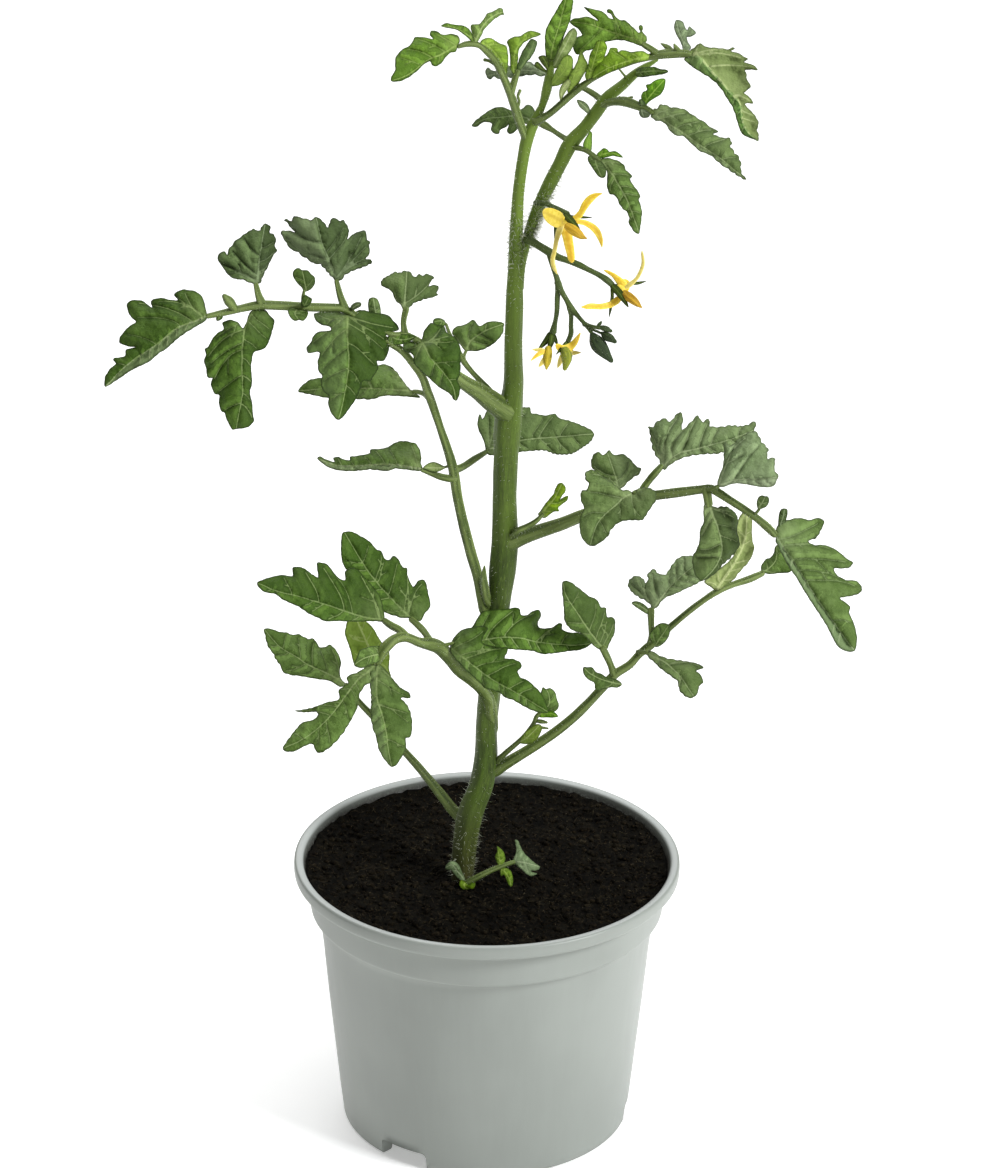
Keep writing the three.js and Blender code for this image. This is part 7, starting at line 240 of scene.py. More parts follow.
    {'name': 'f4_petal_d', 'node': 'flower4_corolla', 'small': True, 'tint': 'petalpale', 'under': [0, 0], 'at': [24, -13.3, 260.1], 'mid': [[-2.1, 0.3, 2.26], [-0.06, -0.25, -0.92], [2.27, -0.06, -1.45]], 'A': [[-0.65, 0.47], [1.1, 0.35]], 'B': [[-0.63, -0.84], [1.11, -0.66]], 'k': [-0.3, -0.3]},
    {'name': 'f4_sepal_a', 'node': 'truss_stalk', 'small': True, 'tint': 'sepal', 'under': [0, 0], 'at': [20.8, -14.4, 261.9], 'mid': [[1.61, 1.93, -1.88], [0.19, 0.16, -0.2], [-1.81, -2.04, 2.05]], 'A': [[1.04, 1.95], [-0.25, 0.54]], 'B': [[1.76, 1.37], [0.63, -0.22]], 'k': [-0.25, -0.25]},
    {'name': 'f4_sepal_b', 'node': 'truss_stalk', 'small': True, 'tint': 'sepal', 'under': [0, 0], 'at': [23.2, -11.3, 260.2], 'mid': [[-0.73, 2.15, 1.55], [0.18, 0.13, 0.01], [0.51, -2.2, -1.67]], 'A': [[-1.02, 1.66], [-0.38, -0.03]], 'B': [[-0.17, 2.04], [0.74, 0.29]], 'k': [-0.25, -0.25]},
]

# ------------------------------------------------------------------ helpers
def rnd(seed):
    return random.Random(seed)


def catmull(pts, step, closed=False, alpha=0.5):
    """Points along a smooth curve through pts, about step apart. Works in any dimension."""
    p = np.asarray(pts, float)
    keep = [0]
    for i in range(1, len(p)):
        if np.linalg.norm(p[i] - p[keep[-1]]) > 1e-4:
            keep.append(i)
    p = p[keep]
    n = len(p)
    if n < 3 and not closed:
        k = max(2, int(np.linalg.norm(p[-1] - p[0]) / step) + 1)
        return np.array([p[0] + (p[-1] - p[0]) * t for t in np.linspace(0, 1, k)])
    if closed:
        ext = np.vstack([p[-1], p, p[0], p[1]])
        spans = n
    else:
        ext = np.vstack([2 * p[0] - p[1], p, 2 * p[-1] - p[-2]])
        spans = n - 1
    out = []
    for i in range(spans):
        a, b, c, d = ext[i], ext[i + 1], ext[i + 2], ext[i + 3]
        t0 = 0.0
        t1 = t0 + max(np.linalg.norm(b - a), 1e-6) ** alpha
        t2 = t1 + max(np.linalg.norm(c - b), 1e-6) ** alpha
        t3 = t2 + max(np.linalg.norm(d - c), 1e-6) ** alpha
        k = max(1, int(round(np.linalg.norm(c - b) / step)))
        for j in range(k):
            t = t1 + (t2 - t1) * j / k
            a1 = (t1 - t) / (t1 - t0) * a + (t - t0) / (t1 - t0) * b
            a2 = (t2 - t) / (t2 - t1) * b + (t - t1) / (t2 - t1) * c
            a3 = (t3 - t) / (t3 - t2) * c + (t - t2) / (t3 - t2) * d
            b1 = (t2 - t) / (t2 - t0) * a1 + (t - t0) / (t2 - t0) * a2
            b2 = (t3 - t) / (t3 - t1) * a2 + (t - t1) / (t3 - t1) * a3
            out.append((t2 - t) / (t2 - t1) * b1 + (t - t1) / (t2 - t1) * b2)
    if not closed:
        out.append(p[-1])
    return np.array(out)


def to_poly(P, poly):
    """Distance from each point of P to a polyline, the segment it is nearest to, and how far along it."""
    a = poly[:-1]
    ab = poly[1:] - a
    L = np.maximum((ab ** 2).sum(1), 1e-12)
    d = P[:, None, :] - a[None]
    t = np.clip((d * ab[None]).sum(2) / L[None], 0, 1)
    q = d - t[..., None] * ab[None]
    dist = np.sqrt((q ** 2).sum(2))
    i = dist.argmin(1)
    r = np.arange(len(P))
    return dist[r, i], i, t[r, i]


class Build:
    """Collects closed shells and their vertex attributes into one mesh."""
    NAMES = ("dm", "dv", "dt", "de", "low", "sx", "sy", "sz", "tone")

    def __init__(self):
        self.v = []
        self.f = []
        self.mat = []
        self.att = {k: [] for k in self.NAMES}
        self.n = 0
        self.mats = []

    def slot(self, material):
        if material not in self.mats:
            self.mats.append(material)
        return self.mats.index(material)

    def add(self, verts, faces, material, **att):
        verts = np.asarray(verts, float)
        base = self.n
        self.v.append(verts)
        m = self.slot(material)
        for f in faces:
            self.f.append(tuple(int(i) + base for i in f))
            self.mat.append(m)
        n = len(verts)
        for k in self.NAMES:
            x = att.get(k, 0.0)
            self.att[k].append(np.full(n, float(x)) if np.isscalar(x) else np.asarray(x, float))
        self.n += n

    def make(self, name, flat=False):
        me = bpy.data.meshes.new(name)
        v = np.vstack(self.v) * MM
        me.from_pydata(v.tolist(), [], self.f)
        for m in self.mats:
            me.materials.append(m)
        me.polygons.foreach_set("material_index", self.mat)
        me.polygons.foreach_set("use_smooth", [not flat] * len(self.f))
        for k in self.NAMES:
            a = me.attributes.new(k, 'FLOAT', 'POINT')
            a.data.foreach_set("value", np.concatenate(self.att[k]))
        me.update()
        ob = bpy.data.objects.new(name, me)
        bpy.context.scene.collection.objects.link(ob)
        return ob


# ------------------------------------------------------------------ materials
def srgb(r, g, b):
    f = lambda c: (c / 255 / 12.92) if c / 255 <= 0.04045 else ((c / 255 + 0.055) / 1.055) ** 2.4
    return (f(r), f(g), f(b), 1.0)


class Nodes:
    def __init__(self, name):
        self.m = bpy.data.materials.new(name)
        self.m.use_nodes = True
        self.t = self.m.node_tree
        self.p = next(n for n in self.t.nodes if n.type == 'BSDF_PRINCIPLED')

    def new(self, kind, **kw):
        n = self.t.nodes.new(kind)
        for k, v in kw.items():
            setattr(n, k, v)
        return n

    def link(self, a, b):
        self.t.links.new(a, b)

    def attr(self, name):
        return self.new('ShaderNodeAttribute', attribute_name=name).outputs['Fac']

    def math(self, op, a, b=None, c=None, clamp=False):
        n = self.new('ShaderNodeMath', operation=op, use_clamp=clamp)
        for i, x in enumerate((a, b, c)):
            if x is None:
                continue
            if hasattr(x, 'is_output'):
                self.link(x, n.inputs[i])
            else:
                n.inputs[i].default_value = x
        return n.outputs[0]

    def ramp(self, x, lo, hi, a=0.0, b=1.0):
        n = self.new('ShaderNodeMapRange', interpolation_type='SMOOTHSTEP')
        self.link(x, n.inputs['Value'])
        n.inputs['From Min'].default_value = lo
        n.inputs['From Max'].default_value = hi
        n.inputs['To Min'].default_value = a
        n.inputs['To Max'].default_value = b
        return n.outputs['Result']

    def mix(self, fac, a, b, blend='MIX'):
        n = self.new('ShaderNodeMix', data_type='RGBA', blend_type=blend)
        for sock, x in ((n.inputs[0], fac), (n.inputs[6], a), (n.inputs[7], b)):
            if hasattr(x, 'is_output'):
                self.link(x, sock)
            else:
                sock.default_value = x
        return n.outputs[2]

    def coords(self, scale=1000.0):
        """Object coordinates in millimetres."""
        tc = self.new('ShaderNodeTexCoord')
        mp = self.new('ShaderNodeMapping')
        mp.inputs['Scale'].default_value = (scale, scale, scale)
        self.link(tc.outputs['Object'], mp.inputs['Vector'])
        return mp.outputs['Vector']

    def noise(self, vec, scale, detail=3.0, rough=0.55, dist=0.0):
        n = self.new('ShaderNodeTexNoise')
        n.inputs['Scale'].default_value = scale
        n.inputs['Detail'].default_value = detail
        n.inputs['Roughness'].default_value = rough
        n.inputs['Distortion'].default_value = dist
        self.link(vec, n.inputs['Vector'])
        return n.outputs['Fac']

    def voronoi(self, vec, scale, feature='F1'):
        n = self.new('ShaderNodeTexVoronoi', feature=feature)
        n.inputs['Scale'].default_value = scale
        self.link(vec, n.inputs['Vector'])
        return n.outputs['Distance']

    def bump(self, height, strength, distance_mm):
        n = self.new('ShaderNodeBump')
        n.inputs['Strength'].default_value = strength
        n.inputs['Distance'].default_value = distance_mm * MM
        self.link(height, n.inputs['Height'])
        self.link(n.outputs['Normal'], self.p.inputs['Normal'])
        return n

    def streak(self):
        """A coordinate that runs round and along a stalk: it changes slowly along the stalk."""
        c = self.new('ShaderNodeCombineXYZ')
        for i, k in enumerate(("sx", "sy", "sz")):
            self.link(self.attr(k), c.inputs[i])
        return c.outputs[0]

    def set(self, **kw):
        for k, v in kw.items():
            s = self.p.inputs[k]
            if hasattr(v, 'is_output'):
                self.link(v, s)
            else:
                s.default_value = v


def leaf_material(name, top, top2, under, under2, vein, vein_under, edge, rough=0.6, sheen=0.0, weight=1.0):
    """Upper and lower leaf surface with veins, mottling and a thin margin."""
    n = Nodes(name)
    co = n.coords()
    big = n.noise(co, 0.10, 3.0, 0.6)
    mid = n.noise(co, 0.42, 4.0, 0.62, 0.5)
    fine = n.noise(co, 2.6, 4.0, 0.65)
    mottle = n.math('ADD', n.math('MULTIPLY', big, 0.6), n.math('MULTIPLY', mid, 0.4))
    mottle = n.ramp(mottle, 0.38, 0.62, 0.12, 0.88)
    up = n.mix(mottle, top, top2)
    dark = tuple(c * 0.56 for c in top[:3]) + (1.0,)
    pale = tuple(min(1, c * 1.4) for c in top2[:3]) + (1.0,)
    # painted shade: the tissue is darkened in the furrows beside the veins, where shade falls, and left lighter on the
    # crowns between them
    near = n.math('MINIMUM', n.attr('dv'), n.math('ADD', n.attr('dm'), 0.1))
    furrow_shade = n.math('MULTIPLY', n.math('SUBTRACT', 1.0, n.ramp(near, 0.1, 0.95)), n.ramp(mid, 0.3, 0.62, 0.74, 0.38))
    up = n.mix(furrow_shade, up, dark)
    # painted shade and painted highlight across each panel: it is painted darker where it rises from the vein at its
    # foot, and paler where it rolls over to the next one, as if lit from one side
    across = n.attr('sx')
    shade = n.math('MULTIPLY', n.ramp(across, 0.0, 0.12), n.math('SUBTRACT', 1.0, n.ramp(across, 0.3, 1.6)))
    up = n.mix(n.math('MULTIPLY', shade, n.ramp(big, 0.3, 0.6, 0.25, 0.6)), up, dark)
    back = n.math('MULTIPLY', across, -1.0)
    crest_highlight = n.math('MULTIPLY', n.ramp(back, 0.25, 0.8), n.math('SUBTRACT', 1.0, n.ramp(back, 1.4, 2.8)))
    up = n.mix(n.math('MULTIPLY', crest_highlight, n.ramp(mid, 0.3, 0.6, 0.3, 0.7)), up, pale)
    cells = n.voronoi(co, 1.15)
    pits = n.math('MULTIPLY', n.math('SUBTRACT', 1.0, n.ramp(cells, 0.08, 0.42)), 0.2)
    up = n.mix(pits, up, tuple(c * 0.6 for c in top[:3]) + (1.0,))
    up = n.mix(n.ramp(fine, 0.52, 0.72, 0.0, 0.42), up, pale)
    grit = n.noise(co, 5.5, 3.0, 0.7)
    up = n.mix(n.ramp(grit, 0.56, 0.7, 0.0, 0.5), up, pale)
    up = n.mix(n.ramp(grit, 0.44, 0.3, 0.0, 0.35), up, dark)
    low = n.mix(mottle, under, under2)
    low = n.mix(n.math('MULTIPLY', n.ramp(cells, 0.15, 0.8), 0.22), low, tuple(c * 0.78 for c in under[:3]) + (1.0,))
    # painted shade in the furrows on the underside as well
    low = n.mix(n.math('MULTIPLY', furrow_shade, 0.35), low, tuple(c * 0.72 for c in under[:3]) + (1.0,))
    v1 = n.math('SUBTRACT', 1.0, n.ramp(n.attr('dm'), -0.02, 0.16))
    v2 = n.math('SUBTRACT', 1.0, n.ramp(n.attr('dv'), -0.02, 0.175))
    v3 = n.math('SUBTRACT', 1.0, n.ramp(n.attr('dt'), -0.05, 0.12))
    veins = n.math('MAXIMUM', n.math('MAXIMUM', n.math('MULTIPLY', v1, 0.8), n.math('MULTIPLY', v2, n.ramp(mid, 0.3, 0.62, 0.46 * weight, 0.88 * weight))), n.math('MULTIPLY', v3, 0.26))
    veins = n.math('MULTIPLY', veins, n.ramp(fine, 0.25, 0.6, 0.6, 1.0))
    # the leaf is paler and yellower around the place where its stalk joins it
    up = n.mix(n.math('MULTIPLY', n.attr('sz'), n.ramp(mid, 0.3, 0.6, 0.35, 0.6)), up, vein)
    # painted shade and painted light by halves: the half of a folded leaflet that faces away from the light is painted
    # dimmer, and the half that faces it is painted paler
    turn = n.attr('sy')
    dim = n.ramp(turn, 0.0, -1.0, 0.0, 0.78)
    half_lit = n.ramp(turn, 0.0, 1.0, 0.0, 0.62)
    deep = tuple(c * 0.42 for c in top[:3]) + (1.0,)
    half_lit_colour = tuple(min(1, c * 1.25) for c in under2[:3]) + (1.0,)
    up = n.mix(half_lit, n.mix(dim, up, deep), half_lit_colour)
    low = n.mix(half_lit, n.mix(dim, low, tuple(c * 0.5 for c in under[:3]) + (1.0,)), half_lit_colour)
    # the veins of a half that is painted dimmer get the same painted shade
    vein_shade = n.math('MULTIPLY', dim, 0.6)
    up = n.mix(veins, up, n.mix(vein_shade, vein, tuple(c * 0.5 for c in vein[:3]) + (1.0,)))
    low = n.mix(veins, low, n.mix(vein_shade, vein_under, tuple(c * 0.5 for c in vein_under[:3]) + (1.0,)))
    side = n.ramp(n.attr('low'), 0.35, 0.65)
    col = n.mix(side, up, low)
    rim = n.math('MULTIPLY', n.math('SUBTRACT', 1.0, n.ramp(n.attr('de'), 0.05, 0.62)), n.ramp(fine, 0.3, 0.7, 0.9, 0.45))
    col = n.mix(rim, col, edge)
    tone = n.attr('tone')
    col = n.mix(n.ramp(tone, 0.0, 1.0, 0.0, 0.5), col, tuple(min(1, c * 1.4) for c in top2[:3]) + (1.0,))
    n.set(**{'Base Color': col, 'Specular IOR Level': 0.14})
    n.link(n.math('ADD', n.ramp(fine, 0.25, 0.75, rough - 0.08, rough + 0.08), n.math('MULTIPLY', side, 0.14)), n.p.inputs['Roughness'])
    n.p.inputs['Sheen Weight'].default_value = sheen
    n.p.inputs['Sheen Roughness'].default_value = 0.5
    n.p.inputs['Subsurface Weight'].default_value = 0.0
    h = n.math('ADD', n.math('MULTIPLY', cells, 0.6), n.math('ADD', n.math('MULTIPLY', fine, 0.7), n.math('MULTIPLY', mid, 0.9)))
    h = n.math('SUBTRACT', h, n.math('MULTIPLY', n.math('MAXIMUM', v2, n.math('MULTIPLY', v3, 0.7)), 0.3))
    n.bump(h, 0.75, 0.34)
    return n.m


def stalk_material(name, base, light, dark, speck, rough=0.5, specks=0.5, high=None, sheen=0.0):
    n = Nodes(name)
    st = n.streak()
    co = n.coords()
    s1 = n.noise(st, 1.1, 4.0, 0.6)
    s2 = n.noise(st, 4.2, 3.0, 0.6)
    f = n.noise(co, 2.4, 4.0, 0.65)
    big = n.noise(co, 0.06, 2.0, 0.5)
    col = n.mix(n.ramp(s1, 0.34, 0.64), dark, base)
    col = n.mix(n.ramp(s2, 0.5, 0.72, 0.0, 0.7), col, light)
    col = n.mix(n.ramp(big, 0.4, 0.65, 0.0, 0.35), col, light)
    dots = n.voronoi(co, 2.3)
    d = n.math('MULTIPLY', n.math('SUBTRACT', 1.0, n.ramp(dots, 0.10, 0.24)), n.ramp(f, 0.42, 0.58))
    col = n.mix(n.math('MULTIPLY', d, specks), col, speck)
    if high:
        col = n.mix(n.math('MULTIPLY', n.attr('low'), 0.75), col, high)
    grit = n.noise(co, 4.6, 3.0, 0.7)
    col = n.mix(n.ramp(grit, 0.55, 0.7, 0.0, 0.45), col, light)
    col = n.mix(n.ramp(grit, 0.45, 0.3, 0.0, 0.45), col, tuple(c * 0.75 for c in dark[:3]) + (1.0,))
    around = n.attr('dm')
    # painted highlight on the ridges beside the groove, on the upper side that faces the light
    ridge_highlight = n.math('MULTIPLY', n.ramp(around, 0.25, 0.6), n.math('SUBTRACT', 1.0, n.ramp(around, 0.85, 1.25)))
    col = n.mix(n.math('MULTIPLY', n.math('MULTIPLY', ridge_highlight, n.attr('dv')), n.ramp(s1, 0.3, 0.65, 0.2, 0.5)), col, light)
    # painted shade on the lower side of the stalk, turned away from the light
    underside_shade = n.math('MULTIPLY', n.ramp(around, 1.3, 2.2), n.attr('dv'))
    col = n.mix(n.math('MULTIPLY', underside_shade, 0.6), col, tuple(c * 0.62 for c in dark[:3]) + (1.0,))
    # painted shade in the groove
    groove = n.math('MULTIPLY', n.math('SUBTRACT', 1.0, n.ramp(around, 0.05, 0.4)), n.attr('dv'))
    col = n.mix(n.math('MULTIPLY', groove, 0.6), col, dark)
    foot = n.mix(n.ramp(s1, 0.35, 0.65), speck, tuple(min(1, c * 1.9) for c in speck[:3]) + (1.0,))
    col = n.mix(n.math('MULTIPLY', n.attr('tone'), 0.9), col, foot)
    n.set(**{'Base Color': col, 'Specular IOR Level': 0.2})
    n.p.inputs['Sheen Weight'].default_value = sheen
    n.p.inputs['Sheen Roughness'].default_value = 0.4
    n.link(n.ramp(f, 0.25, 0.75, rough - 0.08, rough + 0.1), n.p.inputs['Roughness'])
    h = n.math('ADD', n.math('MULTIPLY', s2, 0.8), n.math('ADD', n.math('MULTIPLY', f, 0.5), n.math('MULTIPLY', dots, 0.35)))
    n.bump(h, 0.6, 0.22)
    return n.m


def petal_material(name, base, light, centre, rough=0.5):
    n = Nodes(name)
    co = n.coords()
    st = n.noise(co, 0.9, 3.0, 0.6)
    fine = n.noise(co, 4.5, 3.0, 0.6)
    col = n.mix(n.ramp(st, 0.35, 0.65), base, light)
    v1 = n.math('SUBTRACT', 1.0, n.ramp(n.attr('dm'), 0.0, 0.75))
    col = n.mix(n.math('MULTIPLY', v1, 0.55), col, centre)
    v2 = n.math('SUBTRACT', 1.0, n.ramp(n.attr('dv'), 0.0, 0.3))
    col = n.mix(n.math('MULTIPLY', v2, 0.3), col, centre)
    rim = n.math('MULTIPLY', n.math('SUBTRACT', 1.0, n.ramp(n.attr('de'), 0.0, 0.35)), 0.4)
    col = n.mix(rim, col, tuple(min(1, c * 1.25) for c in light[:3]) + (1.0,))
    n.set(**{'Base Color': col, 'Specular IOR Level': 0.3})
    n.link(n.ramp(fine, 0.25, 0.75, rough - 0.06, rough + 0.1), n.p.inputs['Roughness'])
    n.p.inputs['Sheen Weight'].default_value = 0.15
    n.bump(n.math('ADD', fine, n.math('MULTIPLY', n.attr('dm'), 0.4)), 0.35, 0.12)
    return n.m


def pot_material():
    n = Nodes('pot_plastic_satin')
    co = n.coords()
    cloud = n.noise(co, 0.03, 2.0, 0.5)
    grain = n.noise(co, 6.0, 3.0, 0.55)
    flow = n.new('ShaderNodeMapping')
    flow.inputs['Scale'].default_value = (1.0, 1.0, 0.12)
    n.link(co, flow.inputs['Vector'])
    lines = n.noise(flow.outputs['Vector'], 0.4, 3.0, 0.55)
    base = srgb(144, 149, 143)
    col = n.mix(n.ramp(cloud, 0.35, 0.65), base, srgb(139, 144, 138))
    col = n.mix(n.ramp(lines, 0.35, 0.7, 0.0, 0.12), col, srgb(152, 157, 152))
    scuff = n.noise(co, 0.9, 6.0, 0.75, 1.2)
    col = n.mix(n.ramp(scuff, 0.68, 0.84, 0.0, 0.25), col, srgb(168, 173, 170))
    col = n.mix(n.ramp(grain, 0.6, 0.8, 0.0, 0.06), col, srgb(120, 124, 118))
    # painted highlight along the lip's crown
    col = n.mix(n.math('MULTIPLY', n.attr('low'), 0.55), col, srgb(186, 190, 189))
    # the inside wall just above the mix, from the inner edge of the lip down, is painted nearly as dark as the soil,
    # patchy with the scuff noise
    col = n.mix(n.math('MULTIPLY', n.attr('tone'), n.ramp(scuff, 0.3, 0.55, 0.55, 1.0)), col, srgb(36, 32, 26))
    n.set(**{'Base Color': col, 'Specular IOR Level': 0.42})
    n.link(n.math('ADD', n.ramp(lines, 0.3, 0.7, 0.36, 0.42), n.ramp(scuff, 0.62, 0.8, 0.0, 0.08)), n.p.inputs['Roughness'])
    n.bump(n.math('ADD', n.math('MULTIPLY', grain, 0.3), n.math('MULTIPLY', lines, 0.15)), 0.16, 0.07)
    return n.m


def soil_material(name, dark, brown, red, light, amount):
    n = Nodes(name)
    co = n.coords()
    a = n.noise(co, 0.35, 6.0, 0.7, 0.6)
    b = n.noise(co, 1.7, 5.0, 0.7)
    c = n.voronoi(co, 1.3)
    clump = n.noise(co, 0.7, 3.0, 0.7)
    col = n.mix(n.ramp(a, 0.42, 0.62), dark, brown)
    col = n.mix(n.ramp(clump, 0.54, 0.66, 0.0, 0.7), col, tuple(c_ * 2.1 for c_ in brown[:3]) + (1.0,))
    col = n.mix(n.ramp(n.noise(co, 0.15, 3.0, 0.6), 0.42, 0.6, 0.55, 0.0), col, dark)
    col = n.mix(n.math('MULTIPLY', n.ramp(b, 0.52, 0.7), 0.6), col, red)
    col = n.mix(n.math('MULTIPLY', n.math('SUBTRACT', 1.0, n.ramp(c, 0.05, 0.16)), n.ramp(b, 0.5, 0.62, 0.0, amount)), col, light)
    n.set(**{'Base Color': col, 'Specular IOR Level': 0.05})
    n.link(n.ramp(b, 0.3, 0.7, 0.82, 0.97), n.p.inputs['Roughness'])
    n.bump(n.math('ADD', n.math('MULTIPLY', b, 1.0), n.math('MULTIPLY', a, 0.8)), 0.9, 0.5)
    return n.m


def hair_material(name, a, b):
    n = Nodes(name)
    co = n.coords()
    col = n.mix(n.noise(co, 0.8, 2.0), a, b)
    n.set(**{'Base Color': col, 'Roughness': 0.45, 'Specular IOR Level': 0.5})
    n.bump(n.noise(co, 6.0, 2.0), 0.1, 0.02)
    return n.m


LEAF = {}
LIGHT = 1.26      # how brightly the studio lights a leaf


def lit(r, g, b):
    """The colour of a surface that should look like (r, g, b) under the studio light."""
    c = srgb(r, g, b)
    return tuple(max(0.002, (v - 0.010) / LIGHT) for v in c[:3]) + (1.0,)


def leaf(tint):
    if tint in LEAF:
        return LEAF[tint]
    T = {   # upper, upper lighter, underside, underside lighter, vein, vein on the underside, margin
        'mid':     ((66, 96, 32), (98, 128, 56), (112, 134, 84), (132, 152, 104), (156, 178, 112), (176, 190, 140), (42, 54, 30)),
        'dull':    ((78, 98, 54), (106, 126, 80), (116, 134, 92), (136, 152, 112), (150, 168, 124), (176, 188, 150), (50, 58, 38)),
        'soft':    ((86, 112, 50), (116, 144, 76), (122, 144, 94), (142, 160, 114), (166, 186, 122), (184, 196, 150), (58, 70, 40)),
        'softer':  ((96, 120, 64), (128, 150, 92), (130, 148, 104), (148, 164, 124), (172, 190, 134), (190, 200, 158), (66, 78, 50)),
        'softest': ((106, 128, 78), (138, 158, 108), (138, 154, 114), (156, 170, 134), (180, 196, 146), (194, 204, 166), (74, 86, 58)),
        'palest':  ((120, 142, 94), (150, 170, 124), (148, 164, 124), (166, 180, 144), (188, 204, 158), (200, 210, 174), (86, 98, 68)),
        'dark':    ((72, 100, 38), (100, 128, 58), (104, 128, 80), (122, 146, 98), (146, 168, 106), (166, 182, 134), (42, 56, 32)),
        'dark2':   ((84, 108, 52), (112, 136, 76), (112, 134, 88), (130, 150, 106), (152, 172, 118), (170, 184, 142), (52, 64, 40)),
        'grey':    ((108, 126, 88), (140, 158, 118), (136, 152, 118), (156, 170, 138), (176, 192, 152), (194, 204, 174), (68, 78, 60)),
        'lime':    ((92, 131, 18), (130, 160, 38), (136, 164, 66), (156, 184, 86), (172, 194, 98), (188, 206, 128), (68, 84, 28)),
        'light':   ((104, 134, 62), (138, 166, 88), (140, 162, 92), (160, 180, 112), (180, 200, 128), (194, 208, 150), (66, 82, 44)),
        'bright':  ((106, 142, 34), (140, 174, 60), (138, 166, 72), (158, 184, 92), (172, 200, 96), (188, 210, 124), (62, 84, 30)),
        'bright2': ((94, 148, 30), (132, 182, 54), (132, 170, 66), (154, 190, 86), (168, 204, 90), (184, 210, 118), (56, 84, 26)),
        'fresh':   ((88, 124, 36), (120, 156, 60), (124, 154, 84), (144, 172, 102), (164, 190, 102), (182, 202, 134), (50, 68, 30)),
        'pale':    ((118, 142, 94), (146, 168, 122), (150, 170, 126), (166, 184, 144), (186, 202, 158), (198, 210, 172), (82, 98, 68)),
        'veined':  ((112, 140, 66), (142, 168, 92), (158, 176, 106), (182, 196, 130), (206, 220, 152), (214, 224, 160), (90, 100, 54)),
        'veined2': ((68, 104, 44), (100, 134, 66), (136, 156, 92), (158, 176, 112), (154, 180, 114), (192, 206, 144), (56, 68, 38)),
        'sepal':   ((66, 84, 32), (92, 110, 48), (96, 116, 58), (112, 132, 70), (112, 134, 62), (134, 152, 84), (44, 52, 26)),
    }[tint]
    c = [lit(*x) for x in T]
    LEAF[tint] = leaf_material('leaf_' + tint, *c, weight=1.0 if tint in ('mid', 'dark', 'veined', 'veined2', 'bright', 'bright2') else 0.7)
    return LEAF[tint]


def other(tint):
    if tint in LEAF:
        return LEAF[tint]
    if tint == 'stem':
        m = stalk_material('stem_green', srgb(64, 85, 22), srgb(96, 117, 44), srgb(46, 60, 17), srgb(48, 40, 24), 0.5, 0.85, srgb(112, 137, 50), 0.12)
    elif tint == 'petiole':
        m = stalk_material('stalk_green', srgb(90, 108, 48), srgb(126, 142, 82), srgb(62, 78, 34), srgb(52, 54, 32), 0.52, 0.6)
    elif tint == 'flowerstem':
        m = stalk_material('flower_stalk_green', srgb(66, 83, 38), srgb(96, 113, 58), srgb(45, 58, 27), srgb(32, 36, 22), 0.55, 0.55)
    elif tint == 'bud':
        m = stalk_material('bud_green', srgb(46, 62, 34), srgb(74, 92, 50), srgb(30, 40, 24), srgb(22, 28, 18), 0.6, 0.5)
    elif tint == 'budtip':
        m = stalk_material('opening_bud', srgb(120, 132, 40), srgb(190, 186, 60), srgb(84, 98, 34), srgb(60, 66, 26), 0.55, 0.3)
    elif tint == 'anther':
        m = stalk_material('anther_golden', srgb(196, 154, 32), srgb(226, 190, 58), srgb(140, 104, 20), srgb(104, 72, 20), 0.5, 0.45)
    elif tint == 'antherolive':
        m = stalk_material('young_anther', srgb(182, 158, 34), srgb(226, 204, 66), srgb(132, 122, 30), srgb(96, 84, 24), 0.52, 0.3)
    elif tint == 'petal':
        m = petal_material('petal_yellow', srgb(228, 196, 42), srgb(240, 216, 84), srgb(206, 154, 26))
    elif tint == 'petalgold':
        m = petal_material('petal_gold', srgb(222, 184, 40), srgb(238, 208, 78), srgb(190, 138, 26))
    elif tint == 'petalshade':
        m = petal_material('petal_shaded', srgb(198, 174, 46), srgb(216, 194, 78), srgb(168, 136, 30))
    elif tint == 'petalpale':
        m = petal_material('petal_pale', srgb(216, 200, 98), srgb(232, 220, 140), srgb(186, 164, 62))
    LEAF[tint] = m
    return m


POT_MAT = pot_material()
HAIR = hair_material('hair_pale', srgb(205, 214, 180), srgb(228, 232, 212))
# painted shade: a darker copy of the pale hair, for hairs seen dark against the bright floor
HAIR_SHADED = hair_material('hair_painted_shade', srgb(84, 94, 64), srgb(118, 128, 96))
SOIL = soil_material('potting_mix', srgb(4, 4, 3), srgb(20, 18, 12), srgb(42, 33, 22), srgb(134, 126, 104), 0.8)
CRUMB = soil_material('soil_crumbs', srgb(7, 6, 4), srgb(31, 27, 18), srgb(60, 47, 32), srgb(144, 136, 114), 0.8)
FIBRE = soil_material('soil_fibres', srgb(44, 38, 28), srgb(84, 76, 58), srgb(76, 56, 36), srgb(150, 142, 118), 0.7)


# ------------------------------------------------------------------ leaf blades
PLEATED = ('softest', 'palest', 'grey', 'dull')
